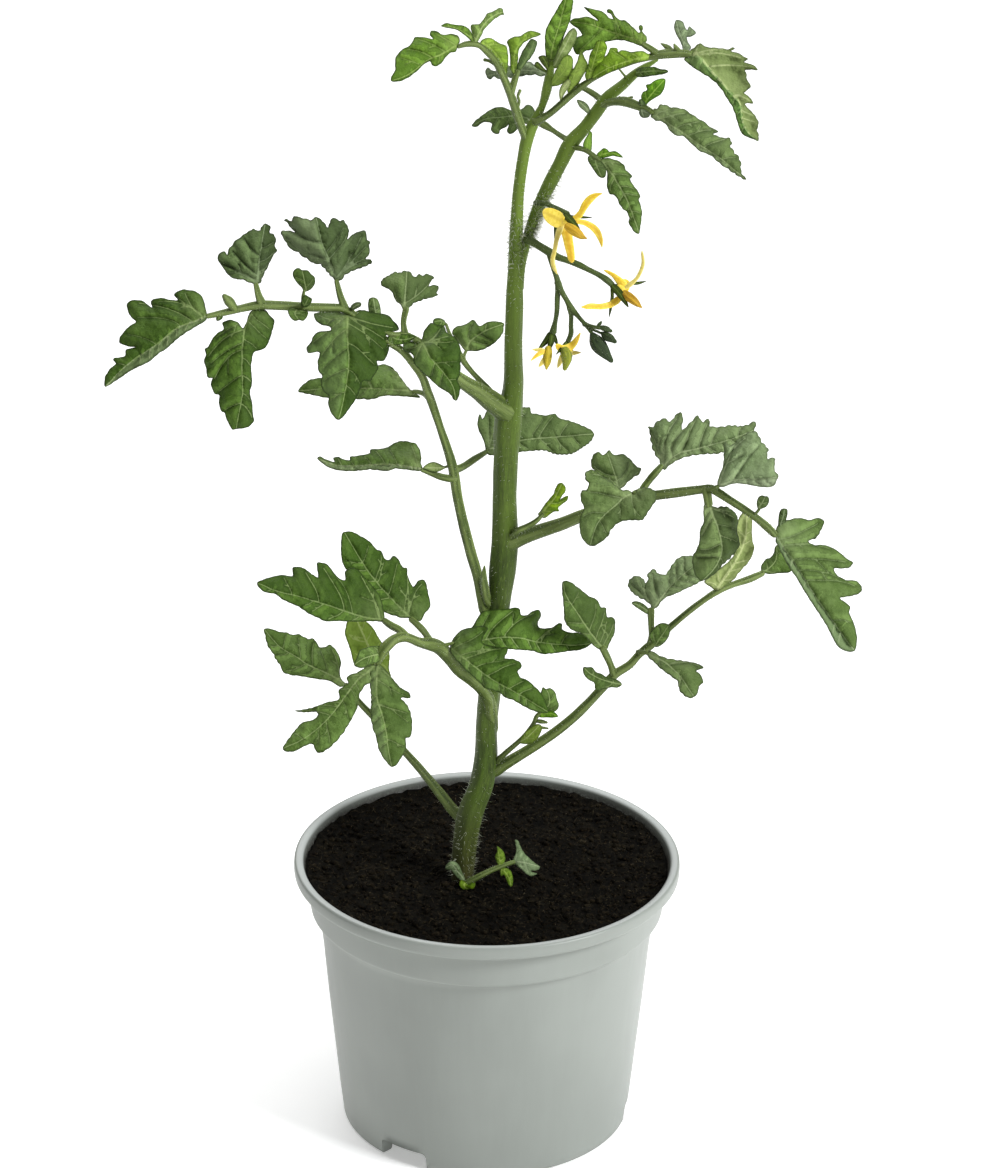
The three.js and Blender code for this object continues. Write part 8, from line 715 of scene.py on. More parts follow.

# painted shade (-) and painted light (+) for the two halves of a leaflet: how much dimmer or paler each half is painted
HALF = {
    'leaf1_leaflet_tip': (0.05, 0.1),
    'leaf2_leaflet_left_lower': (-0.55, 0.05), 'leaf2_leaflet_left_upper': (0.0, -0.5),
    'leaf2_leaflet_end_down': (0.5, -0.5), 'leaf2_leaflet_right_upper': (0.0, 0.0),
    'leaf2_leaflet_right_lower': (-0.4, 0.3),
    'leaf3_leaflet_first': (-0.5, -0.7), 'leaf3_leaflet_pair': (-0.7, -0.5),
    'leaf3_leaflet_lower': (-0.15, 0.2), 'leaf3_leaflet_upper': (0.35, 0.1),
    'leaf3_leaflet_upright': (0.25, -0.55), 'leaf3_leaflet_tip': (-1.0, -0.25),
    'leaf4_leaflet_tip': (0.0, 0.35), 'leaf4_leaflet_over_stalk': (0.0, -0.6),
    'leaf4_leaflet_up_small': (-0.05, 0.4), 'leaf4_leaflet_up': (-0.35, -0.25),
    'leaf4_leaflet_end_up': (-0.15, 0.8), 'leaf4_leaflet_hanging': (0.1, -1.0),
    'leaf5_leaflet_tip': (-0.45, 0.5), 'leaf5_leaflet_back_left': (0.0, -0.75),
    'leaf5_leaflet_down_left': (-0.2, -0.6), 'leaf5_leaflet_back_mid': (0.65, -0.5),
    'leaf5_leaflet_down_mid': (0.5, -0.75), 'leaf5_leaflet_behind': (-0.25, 0.3),
    'leaf5_leaflet_right': (-0.6, -0.5), 'leaf5_leaflet_left': (0.0, 1.0),
    'leaf5_leaflet_s3': (-0.45, -0.9), 'leaf6_leaflet_up': (-0.3, -0.75),
    'leaf6_leaflet_front': (-0.6, 0.3), 'leaf8_leaflet_tip': (-0.3, -0.3),
    'leaf8_leaflet_hook': (0.35, 0.45), 'leaf8_leaflet_dark': (0.6, 0.8),
    'apex_leaf_low': (0.7, 0.6), 'apex_leaf_side': (0.55, 0.9), 'apex_leaf_fold': (0.9, 1.0),
    'apex_leaf_main': (0.15, 0.1), 'leaf9_leaflet_back': (-0.35, 0.2),
    'leaf9_leaflet_tip': (-0.4, 0.2), 'leaf10_leaflet_tip': (-0.4, 0.7),
    'leaf10_leaflet_left_lobe': (0.1, 0.35), 'leaf10_leaflet_bright': (-0.2, -0.7),
    'leaf10_leaflet_bright_up': (0.6, 0.8), 'leaf10_bud_left': (0.6, 0.2),
    'leaf10_leaflet_twist_b': (0.6, 0.8), 'rear_leaf': (0.15, 0.15), 'rear_leaf_small': (0.35, 0.25),
    'leaf8_leaflet_left': (-0.3, 0.4), 'leaf8_leaflet_inner': (0.35, 0.45), 'leaf10_leaflet_bright_right': (0.0, -0.6),
    'sprout_leaf_left': (-0.3, -0.7), 'sprout_leaf_up': (0.3, 0.25), 'sprout_leaf_end': (0.25, 0.3),
}


def veins_of(mid, S, arc, small, R, close=1.0):
    """Side veins that run from the midrib to the teeth of one edge, each with its own strength."""
    L = arc[-1]
    w, i, t = to_poly(S, mid)
    s = arc[i] + t * (arc[i + 1] - arc[i])
    n = len(S)
    tips = []
    for j in range(n):
        a = w[j - 1] if j else 0.0
        b = w[j + 1] if j < n - 1 else 0.0
        if w[j] >= a and w[j] >= b and w[j] > 0.28 * w.max():
            tips.append((s[j], w[j], S[j]))
    gap = (2.2 if small else 3.9) * close
    picked = []
    for tip in sorted(tips, key=lambda x: -x[1]):
        if all(abs(tip[0] - q[0]) > gap for q in picked):
            picked.append(tip + (1.0,))
    # fill wide empty stretches with weaker veins
    room = max(gap * 1.6, L / 5.5 * close)
    marks = sorted(q[0] for q in picked)
    ends = [L * 0.05] + marks + [L * 0.95]
    for a, b in zip(ends[:-1], ends[1:]):
        k = int((b - a) / room)
        for q in range(1, k + 1):
            at = a + (b - a) * (q + (R.random() - 0.5) * 0.5) / (k + 1)
            j = int(np.argmin(np.abs(s - at)))
            if w[j] > 0.15 * w.max():
                picked.append((s[j], w[j], S[j], 0.55))
    out = []
    for at, wide, P, power in picked:
        s0 = min(max(at - wide * (0.62 + 0.42 * R.random()), L * 0.03), L * 0.9)
        x = np.interp(s0, arc, mid[:, 0])
        y = np.interp(s0, arc, mid[:, 1])
        s1 = min(s0 + 1.0, L)
        tang = np.array([np.interp(s1, arc, mid[:, 0]) - x, np.interp(s1, arc, mid[:, 1]) - y])
        tang /= max(np.linalg.norm(tang), 1e-6)
        start = np.array([x, y])
        reach = np.linalg.norm(P - start)
        end = start + (P - start) * 0.9
        out_dir = (P - start) - ((P - start) @ tang) * tang
        out_dir /= max(np.linalg.norm(out_dir), 1e-6)
        bow = 0.42 + 0.3 * R.random()
        ctrl = start + (out_dir * bow + tang * (0.22 + 0.2 * R.random())) * reach * 0.62
        q = np.linspace(0, 1, 9)[:, None]
        curve = (1 - q) ** 2 * start + 2 * q * (1 - q) * ctrl + q ** 2 * end
        wob = (R.random() - 0.5) * min(0.5, reach * 0.05)
        nrm = np.array([-out_dir[1], out_dir[0]])
        curve = curve + nrm * (np.sin(q * math.pi * 2) * wob)
        power *= 0.6 + 0.4 * R.random()
        out.append((curve, power, tang))
        # a weaker fork that leaves the vein halfway
        if reach > 5.0 and R.random() < 0.45:
            f = 0.42 + 0.22 * R.random()
            j = int(f * 8)
            d = curve[min(j + 1, 8)] - curve[j]
            d /= max(np.linalg.norm(d), 1e-6)
            o = np.array([-d[1], d[0]])
            if o @ tang < 0:
                o = -o
            if R.random() < 0.3:
                o = -o
            ln = reach * (1 - f) * (0.5 + 0.25 * R.random())
            u = np.linspace(0, 1, 6)[:, None]
            fork = curve[j] + u * ln * (d * 0.72 + o * 0.5) + u ** 2 * ln * (o * 0.12)
            out.append((fork, power * 0.5, tang))
    return out


def inside(P, loop):
    x, y = P[:, 0], P[:, 1]
    c = np.zeros(len(P), bool)
    x1, y1 = loop[:, 0], loop[:, 1]
    x2, y2 = np.roll(x1, -1), np.roll(y1, -1)
    for k in range(len(loop)):
        if y1[k] == y2[k]:
            continue
        hit = (y1[k] > y) != (y2[k] > y)
        c ^= hit & (x < (x2[k] - x1[k]) * (y - y1[k]) / (y2[k] - y1[k]) + x1[k])
    return c


def blade(build, data, seed):
    R = rnd(seed)
    C = np.array(data['at'], float)
    nrm = EYE - C
    nrm /= np.linalg.norm(nrm)
    e1 = np.cross([0, 0, 1.0], nrm)
    e1 /= np.linalg.norm(e1)
    e2 = np.cross(nrm, e1)
    small = data['small']
    tint = data['tint']
    M = np.array(data['mid'], float)
    A = np.array(data['A'], float)
    B = np.array(data['B'], float)
    petal = tint.startswith('petal')
    size = max(np.ptp(np.vstack([A, B]), axis=0).max(), 1.0)
    g = 0.30 if size < 5 else 0.42 if size < 12 else 0.52
    mid = catmull(M, g * 1.05)
    mid2 = mid[:, :2]
    arc = np.r_[0, np.cumsum(np.hypot(*np.diff(mid2, axis=0).T))]
    L = arc[-1]
    outline_pts = np.vstack([M[0, :2], A, M[-1, :2], B[::-1]])
    # a narrow leaf base: the blade runs on to the stalk
    outline = catmull(outline_pts, g * 0.9, closed=True)
    # fine irregularity along the margin
    if not petal and tint != 'sepal' and size > 8:
        d = np.roll(outline, -1, 0) - np.roll(outline, 1, 0)
        d /= np.maximum(np.linalg.norm(d, axis=1), 1e-6)[:, None]
        nn = np.stack([d[:, 1], -d[:, 0]], 1)
        amp = 0.10
        sh = np.array([noise.noise(Vector((p[0] * 0.9, p[1] * 0.9, seed))) for p in outline])
        # small rounded scallops
        x, y = outline[:, 0], outline[:, 1]
        turns = np.sign((x * np.roll(y, -1) - np.roll(x, -1) * y).sum())
        step = np.hypot(*(np.roll(outline, -1, 0) - outline).T)
        run = np.cumsum(step)
        pace = np.array([2.3 * (1 + 0.7 * noise.noise(Vector((u * 0.11, seed * 1.9, 2.0)))) for u in run])
        scallop = np.abs(np.sin(np.cumsum(step / pace) * math.pi)) ** 0.8 - 0.55
        deep = np.array([0.65 + 1.1 * noise.noise(Vector((u * 0.07, seed * 0.7, 9.0))) for u in run])
        depth = {'softer': 0.42, 'softest': 0.5, 'palest': 0.42, 'grey': 0.5, 'dull': 0.36, 'soft': 0.22, 'veined': 0.15}.get(tint, 0.14)
        outline = outline + nn * (sh * amp + scallop * np.clip(deep, 0.15, 1.3) * depth * min(1.0, size / 20) * turns)[:, None]
    centre_A = A.mean(0)

    def side_of(P, idx):
        seg = mid2[np.minimum(idx + 1, len(mid2) - 1)] - mid2[idx]
        rel = P - mid2[idx]
        return np.sign(seg[:, 0] * rel[:, 1] - seg[:, 1] * rel[:, 0])

    _, ia, _ = to_poly(A, mid2)
    sgnA = np.sign(side_of(A, ia).sum()) or 1.0
    lateral = []
    if not petal:
        for S in (A, B):
            if len(S) >= 3:
                lateral += veins_of(mid2, S, arc, small, R, 0.62 if tint in PLEATED else 0.8)
    tert = []
    for c, _, _ in lateral:
        n = len(c)
        Lc = np.linalg.norm(c[-1] - c[0])
        if Lc < 3.0:
            continue
        for f in (0.3, 0.48, 0.66, 0.82):
            j = int(f * (n - 1))
            t = c[min(j + 1, n - 1)] - c[j]
            t /= max(np.linalg.norm(t), 1e-6)
            for sg in (1, -1):
                o = np.array([-t[1], t[0]]) * sg
                ln = (0.9 + R.random() * 1.2) * (1 - f * 0.4)
                q = np.linspace(0, 1, 4)[:, None]
                tert.append(c[j] + q * ln * (o * 0.8 + t * 0.55) + q ** 2 * ln * t * 0.25)
    # points to triangulate
    pts = [tuple(p) for p in outline]
    n_out = len(pts)
    edges = []
    loop = np.array(outline)
    inner_mid = mid2[1:-1]
    ok = inside(inner_mid, loop)
    prev = None
    for p, o in zip(inner_mid, ok):
        if o:
            pts.append(tuple(p))
            if prev is not None:
                edges.append((prev, len(pts) - 1))
            prev = len(pts) - 1
        else:
            prev = None
    fixed = [np.array(outline), inner_mid[ok] if ok.any() else np.zeros((0, 2))]
    for c, _, _ in lateral:
        c2 = catmull(c, g * 1.15)[1:]
        oin = inside(c2, loop)
        prev = None
        for p, o in zip(c2, oin):
            if not o:
                prev = None
                continue
            near = np.min(np.hypot(*(np.vstack(fixed) - p).T)) if fixed else 9
            if near < g * 0.45:
                prev = None
                continue
            pts.append(tuple(p))
            if prev is not None:
                edges.append((prev, len(pts) - 1))
            prev = len(pts) - 1
        fixed.append(c2[oin])
    fixed = np.vstack([f for f in fixed if len(f)])
    lo, hi = loop.min(0), loop.max(0)
    xs = np.arange(lo[0], hi[0], g)
    ys = np.arange(lo[1], hi[1], g * 0.866)
    grid = []
    for j, y in enumerate(ys):
        off = g / 2 if j % 2 else 0
        for x in xs:
            grid.append((x + off + (R.random() - 0.5) * g * 0.35, y + (R.random() - 0.5) * g * 0.35))
    grid = np.array(grid) if grid else np.zeros((0, 2))
    if len(grid):
        grid = grid[inside(grid, loop)]
    if len(grid):
        keep = np.ones(len(grid), bool)
        for k in range(0, len(grid), 400):
            part = grid[k:k + 400]
            dd = np.sqrt(((part[:, None, :] - fixed[None]) ** 2).sum(2)).min(1)
            keep[k:k + 400] = dd > g * 0.55
        pts += [tuple(p) for p in grid[keep]]
    vs, es, fs, _, _, _ = delaunay_2d_cdt([Vector(p) for p in pts], edges, [list(range(n_out))], 1, 1e-5)
    V = np.array([[v[0], v[1]] for v in vs])
    F = np.array([f for f in fs if len(f) == 3])
    if len(F) == 0:
        print('empty blade', data['name'])
        return
    a, b, c = V[F[:, 0]], V[F[:, 1]], V[F[:, 2]]
    area = (b[:, 0] - a[:, 0]) * (c[:, 1] - a[:, 1]) - (b[:, 1] - a[:, 1]) * (c[:, 0] - a[:, 0])
    F = F[np.abs(area) > 1e-7]
    area = area[np.abs(area) > 1e-7]
    F[area < 0] = F[area < 0][:, ::-1]
    used = np.unique(F)
    remap = -np.ones(len(V), int)
    remap[used] = np.arange(len(used))
    V = V[used]
    F = remap[F]
    # measures at every vertex
    w, idx, t = to_poly(V, mid2)
    s = arc[idx] + t * (arc[idx + 1] - arc[idx])
    hm = mid[idx, 2] + t * (mid[idx + 1, 2] - mid[idx, 2])
    isA = side_of(V, idx) * sgnA > 0
    de, _, _ = to_poly(V, np.vstack([loop, loop[:1]]))
    dv = np.full(len(V), 9.0)
    dvraw = np.full(len(V), 9.0)
    # across: signed distance over each panel from its nearest side vein, which the leaf material uses to paint shade on
    # one side of each panel and a highlight on the other
    across = np.full(len(V), 9.0)
    closest = np.full(len(V), 9.0)
    for cv, power, tang in lateral:
        d, i2, t2 = to_poly(V, cv)
        seg = cv[np.minimum(i2 + 1, len(cv) - 1)] - cv[i2]
        rel = V - cv[i2]
        run = cv[-1] - cv[0]
        tipward = np.sign(run[0] * tang[1] - run[1] * tang[0]) or 1.0
        way = np.sign(seg[:, 0] * rel[:, 1] - seg[:, 1] * rel[:, 0]) * tipward
        beyond = (i2 + t2) > (len(cv) - 1) * 0.995
        take = d + (1 - power) * 0.5 < closest
        closest = np.where(take, d + (1 - power) * 0.5, closest)
        across = np.where(take, np.where(beyond, 9.0, way * (d + (1 - power) * 0.5)), across)
        f = (i2 + t2) / (len(cv) - 1)
        wv = (0.16 if not small else 0.08) - 0.08 * f - (1 - power) * 0.13
        dv = np.minimum(dv, d - wv + (f > 0.97) * 0.3)
        dvraw = np.minimum(dvraw, d + (1 - power) * 0.7)
    dt = np.full(len(V), 9.0)
    for cv in tert:
        d, i2, t2 = to_poly(V, cv)
        dt = np.minimum(dt, d - 0.02 + 0.06 * (i2 + t2) / (len(cv) - 1))
    half = (0.24 if not small else 0.14) * (1 - 0.78 * s / L)
    dm = w - half
    kk = np.where(isA, data['k'][0], data['k'][1])
    ws = np.sqrt(w * w + 0.5) - math.sqrt(0.5)
    h = hm + kk * ws
    lowA, lowB = data['under']
    low = np.where(isA, float(lowA), float(lowB))
    sgn = 1 - 2 * low
    wmax = max(w.max(), 1.0)
    if petal:
        h = h + sgn * 0.25 * (w / wmax) ** 2
    else:
        # the blade is puffed up between the veins
        near = np.minimum(dvraw, w + 0.25)
        wide = (1.25 if tint in PLEATED else 2.1) if not small else 1.2
        q = np.sqrt(np.minimum(near, wide) / wide) * 0.55 + (1 - np.exp(-(near / (wide * 0.6)) ** 2)) * 0.45
        ribbed = 1.15 if tint in PLEATED else 1.0
        amp = (1.2 if not small else 0.5) * min(1.0, size / 16) * ribbed
        fade = 1 - np.exp(-(de / 1.6) ** 2)
        h = h + sgn * amp * q * (0.3 + 0.7 * fade)
        crease = np.array([noise.noise(Vector((p[0] * 0.36, p[1] * 0.36, seed * 0.9))) for p in V])
        h = h + sgn * (0.5 - np.abs(crease)) * 0.5 * min(1.0, size / 20) * np.minimum(1.0, near / 1.0)
        # the margin rolls under slightly and waves
        roll = np.exp(-(de / 1.35) ** 2)
        lip = np.array([0.6 + 1.2 * noise.noise(Vector((p[0] * 0.3, p[1] * 0.3, seed * 1.3 + 4))) for p in V])
        h = h - sgn * 0.62 * roll * lip * min(1.0, size / 20)
        wave = np.array([noise.noise(Vector((p[0] * 0.13, p[1] * 0.13, seed * 1.7))) + 0.55 * noise.noise(Vector((p[0] * 0.34, p[1] * 0.34, seed * 2.3))) for p in V])
        h = h + wave * (0.6 + 1.7 * (w / wmax) ** 1.3) * min(1.0, size / 26)
        fine = np.array([noise.noise(Vector((p[0] * 0.95, p[1] * 0.95, seed * 0.7))) for p in V])
        h = h + fine * 0.24 * min(1.0, size / 14)
        if tint in PLEATED:
            # fine pleats that fan out from the stalk
            x, y = V[:, 0] - mid2[0, 0], V[:, 1] - mid2[0, 1]
            fan = np.arctan2(y, x)
            far = np.hypot(x, y)
            pleat = np.array([noise.noise(Vector((a * 5.5, f * 0.05, seed * 2.9))) for a, f in zip(fan, far)])
            h = h + pleat * 1.1 * np.minimum(1.0, far / 9) * min(1.0, size / 16)
    P = C + V[:, :1] * e1 + V[:, 1:] * e2 + h[:, None] * nrm
    # vertex normals
    fa, fb, fc = P[F[:, 0]], P[F[:, 1]], P[F[:, 2]]
    fn = np.cross(fb - fa, fc - fa)
    N = np.zeros_like(P)
    for k in range(3):
        np.add.at(N, F[:, k], fn)
    N /= np.maximum(np.linalg.norm(N, axis=1), 1e-12)[:, None]
    th = 0.22 if not petal else 0.17
    if small and not petal:
        th = 0.19
    rib = np.exp(-(w / (0.4 if not small else 0.26)) ** 2) * (0.42 if not small else 0.2) * (1 - 0.8 * s / L)
    ribv = np.exp(-(np.maximum(dvraw, 0) / 0.3) ** 2) * 0.14
    bulge = (rib + ribv) if not petal else rib * 0.3
    thin = 0.45 + 0.55 * (1 - np.exp(-(de / 0.5) ** 2))
    front = P + N * (th * thin + bulge * low)[:, None]
    back = P - N * (th * thin + bulge * (1 - low))[:, None]
    n = len(P)
    tris = [tuple(f) for f in F] + [(f[0] + n, f[2] + n, f[1] + n) for f in F]
    count = {}
    for f in F:
        for k in range(3):
            e = (int(f[k]), int(f[(k + 1) % 3]))
            count[e] = 1
    for (p, q) in list(count):
        if (q, p) not in count:
            tris.append((q, p, p + n))
            tris.append((q, p + n, q + n))
    mat = leaf(tint) if not petal else other(tint)
    tone = np.full(n, max(0.0, noise.noise(Vector((seed * 3.1, 0.3, 0.7)))) * 0.35)
    # painted shade and painted light for each half of this leaflet
    ha, hb = HALF.get(data['name'], (0.0, 0.0))
    over = np.clip(w / 0.9, 0, 1)
    turn = np.where(isA, ha, hb) * over + (ha + hb) / 2 * (1 - over)
    root = np.exp(-(s / (0.17 * L + 0.8)) ** 2 - (w / (0.16 * L + 0.6)) ** 2) * (0.9 if not small else 0.4)
    build.add(np.vstack([front, back]), tris, mat,
              dm=np.r_[dm, dm], dv=np.r_[dv, dv], dt=np.r_[dt, dt], de=np.r_[de, de],
              low=np.r_[low, 1 - low], tone=np.r_[tone, tone], sx=np.r_[across, across],
              sy=np.r_[turn, turn], sz=np.r_[root, root])


# ------------------------------------------------------------------ stalks
def frames(c):
    t = np.gradient(c, axis=0)
    t /= np.maximum(np.linalg.norm(t, axis=1), 1e-9)[:, None]
    u = np.array([0.0, 1.0, 0.0]) if abs(t[0][1]) < 0.9 else np.array([1.0, 0, 0])
    U = []
    for i in range(len(c)):
        u = u - (u @ t[i]) * t[i]
        u /= np.linalg.norm(u)
        U.append(u.copy())
    U = np.array(U)
    return t, U, np.cross(t, U)


# UPPER also sets the side of a stalk that is painted lighter on its ridges and darker on the far side
UPPER = np.array([0.1, -0.5, 0.86])     # the side of a stalk that its groove lies on


def stalk(build, pts, radii, tint, seed, sides=None, ribs=0.045, collar=1.25, point=False, tone=None, high=None, groove=0.0):
    P = np.column_stack([np.array(pts, float), np.array(radii, float)])
    rmax = P[:, 3].max()
    step = max(0.35, min(1.3, rmax * 0.55))
    c = catmull(P, step)
    r = np.maximum(c[:, 3], 0.12)
    c = c[:, :3]
    t, U, W = frames(c)
    arc = np.r_[0, np.cumsum(np.linalg.norm(np.diff(c, axis=0), axis=1))]
    n_s = sides or (30 if rmax > 3 else 20 if rmax > 1.2 else 14 if rmax > 0.7 else 10)
    ang = np.linspace(0, 2 * np.pi, n_s, endpoint=False)
    R = rnd(seed)
    ph = R.random() * 6.28
    k1, k2 = (5, 9) if rmax > 1.5 else (4, 7)
    rings = []
    round_ = []
    sx = []
    sy = []
    sz = []
    tn = []
    hi = []
    for i in range(len(c)):
        q = ang + 0.012 * arc[i]
        prof = 1 + ribs * np.cos(k1 * q + ph) + ribs * 0.45 * np.cos(k2 * q + 1.3)
        lump = 1 + 0.035 * noise.noise(Vector((arc[i] * 0.35 / max(rmax, 0.6), seed * 1.1, 0)))
        flare = 1 + (collar - 1) * math.exp(-(arc[i] / (rmax * 1.6)) ** 2)
        top = UPPER - (UPPER @ t[i]) * t[i]
        turn = math.atan2(top @ W[i], top @ U[i])
        off = np.abs((ang - turn + math.pi) % (2 * math.pi) - math.pi)
        round_.append(off)
        if groove:
            prof = prof - 0.16 * groove * np.exp(-(off / 0.34) ** 2) + 0.07 * groove * np.exp(-((off - 0.75) / 0.3) ** 2)
        rr = r[i] * prof * lump * flare
        if rmax > 1.5:
            rr = rr * (1 + 0.02 * np.array([noise.noise(Vector((math.cos(a) * 1.6, math.sin(a) * 1.6, arc[i] * 0.22 + seed))) for a in ang]))
        ring = c[i] + np.outer(np.cos(ang) * rr, U[i]) + np.outer(np.sin(ang) * rr, W[i])
        rings.append(ring)
        sx.append(np.cos(ang) * rmax)
        sy.append(np.sin(ang) * rmax)
        sz.append(np.full(n_s, arc[i] * 0.10 + seed * 3.0))
        tn.append(np.full(n_s, tone(c[i]) if tone else 0.0))
        hi.append(np.full(n_s, high(c[i]) if high else 0.0))
    # rounded ends
    def cap(i, sign):
        extra = []
        steps = (0.45, 0.8, 0.96)
        for f in steps:
            rad = math.cos(f * math.pi / 2)
            push = math.sin(f * math.pi / 2)
            extra.append(c[i] + (rings_base[i] - c[i]) * rad + t[i] * sign * push * r[i] * (1.6 if point and sign > 0 else 0.7))
        return extra
    rings_base = list(rings)
    start = cap(0, -1)[::-1]
    end = cap(len(c) - 1, 1)
    full = start + rings + end
    def ext(lst):
        return [lst[0]] * len(start) + lst + [lst[-1]] * len(end)
    sx, sy, sz, tn, hi, round_ = ext(sx), ext(sy), ext(sz), ext(tn), ext(hi), ext(round_)
    V = np.vstack(full)
    m = len(full)
    faces = []
    for i in range(m - 1):
        for k in range(n_s):
            a = i * n_s + k
            b = i * n_s + (k + 1) % n_s
            faces.append((a, b, b + n_s, a + n_s))
    faces.append(tuple(range(n_s))[::-1])
    last = (m - 1) * n_s
    faces.append(tuple(last + k for k in range(n_s)))
    build.add(V, faces, other(tint), sx=np.concatenate(sx), sy=np.concatenate(sy), sz=np.concatenate(sz), tone=np.concatenate(tn), low=np.concatenate(hi),
              dm=np.concatenate(round_), dv=groove)
    return c, r, t, U, W, arc


def hairs(build, line, count, seed, length=(1.2, 2.2), where=None, base=0.045, droop=0.0, grey=0.3, lean=None, lay=0.0):
    """Fine straight-to-curved hairs standing on a stalk, as slim closed spikes."""
    c, r, t, U, W, arc = line
    R = rnd(seed)
    lists = {False: ([], []), True: ([], [])}
    made = 0
    tries = 0
    while made < count and tries < count * 6:
        tries += 1
        s = R.random() * arc[-1]
        i = int(np.searchsorted(arc, s))
        i = min(max(i, 0), len(c) - 1)
        if where and R.random() > where(c[i]):
            continue
        a = R.random() * 2 * math.pi
        out = math.cos(a) * U[i] + math.sin(a) * W[i]
        if lean is not None and R.random() > 0.5 + 0.5 * float(out @ lean):
            continue
        # a share grey of the hairs gets the darker hair, a painted-shade copy of the pale one
        V, F = lists[R.random() < grey]
        foot = c[i] + out * r[i] * 0.93
        ln = length[0] + (length[1] - length[0]) * R.random() ** 1.5
        tilt = t[i] * (R.random() - 0.5) * (0.9 + 2.4 * lay) + np.cross(out, t[i]) * (R.random() - 0.5) * (0.7 + 2.0 * lay)
        d1 = out + tilt
        d1 /= np.linalg.norm(d1)
        d2 = d1 + np.array([R.random() - 0.5, R.random() - 0.5, R.random() - 0.5 - droop]) * 0.6
        d2 /= np.linalg.norm(d2)
        x = np.cross(d1, [0.3, 0.5, 0.8])
        x /= np.linalg.norm(x)
        y = np.cross(d1, x)
        o = len(V)
        for k in range(3):
            q = k * 2.0944
            V.append(foot + (x * math.cos(q) + y * math.sin(q)) * base)
        m = foot + d1 * ln * 0.5
        for k in range(3):
            q = k * 2.0944
            V.append(m + (x * math.cos(q) + y * math.sin(q)) * base * 0.62)
        V.append(m + d2 * ln * 0.5)
        for k in range(3):
            n = (k + 1) % 3
            F.append((o + k, o + n, o + 3 + n, o + 3 + k))
            F.append((o + 3 + k, o + 3 + n, o + 6))
        F.append((o + 2, o + 1, o))
        made += 1
    for dull, (V, F) in lists.items():
        if V:
            build.add(np.array(V), F, HAIR_SHADED if dull else HAIR)


# ------------------------------------------------------------------ pot
NOTCHES = (-124.0, -4.0, 116.0)
NOTCH_H = 5.6
NOTCH_HALF = math.degrees(8.5 / 45.2)


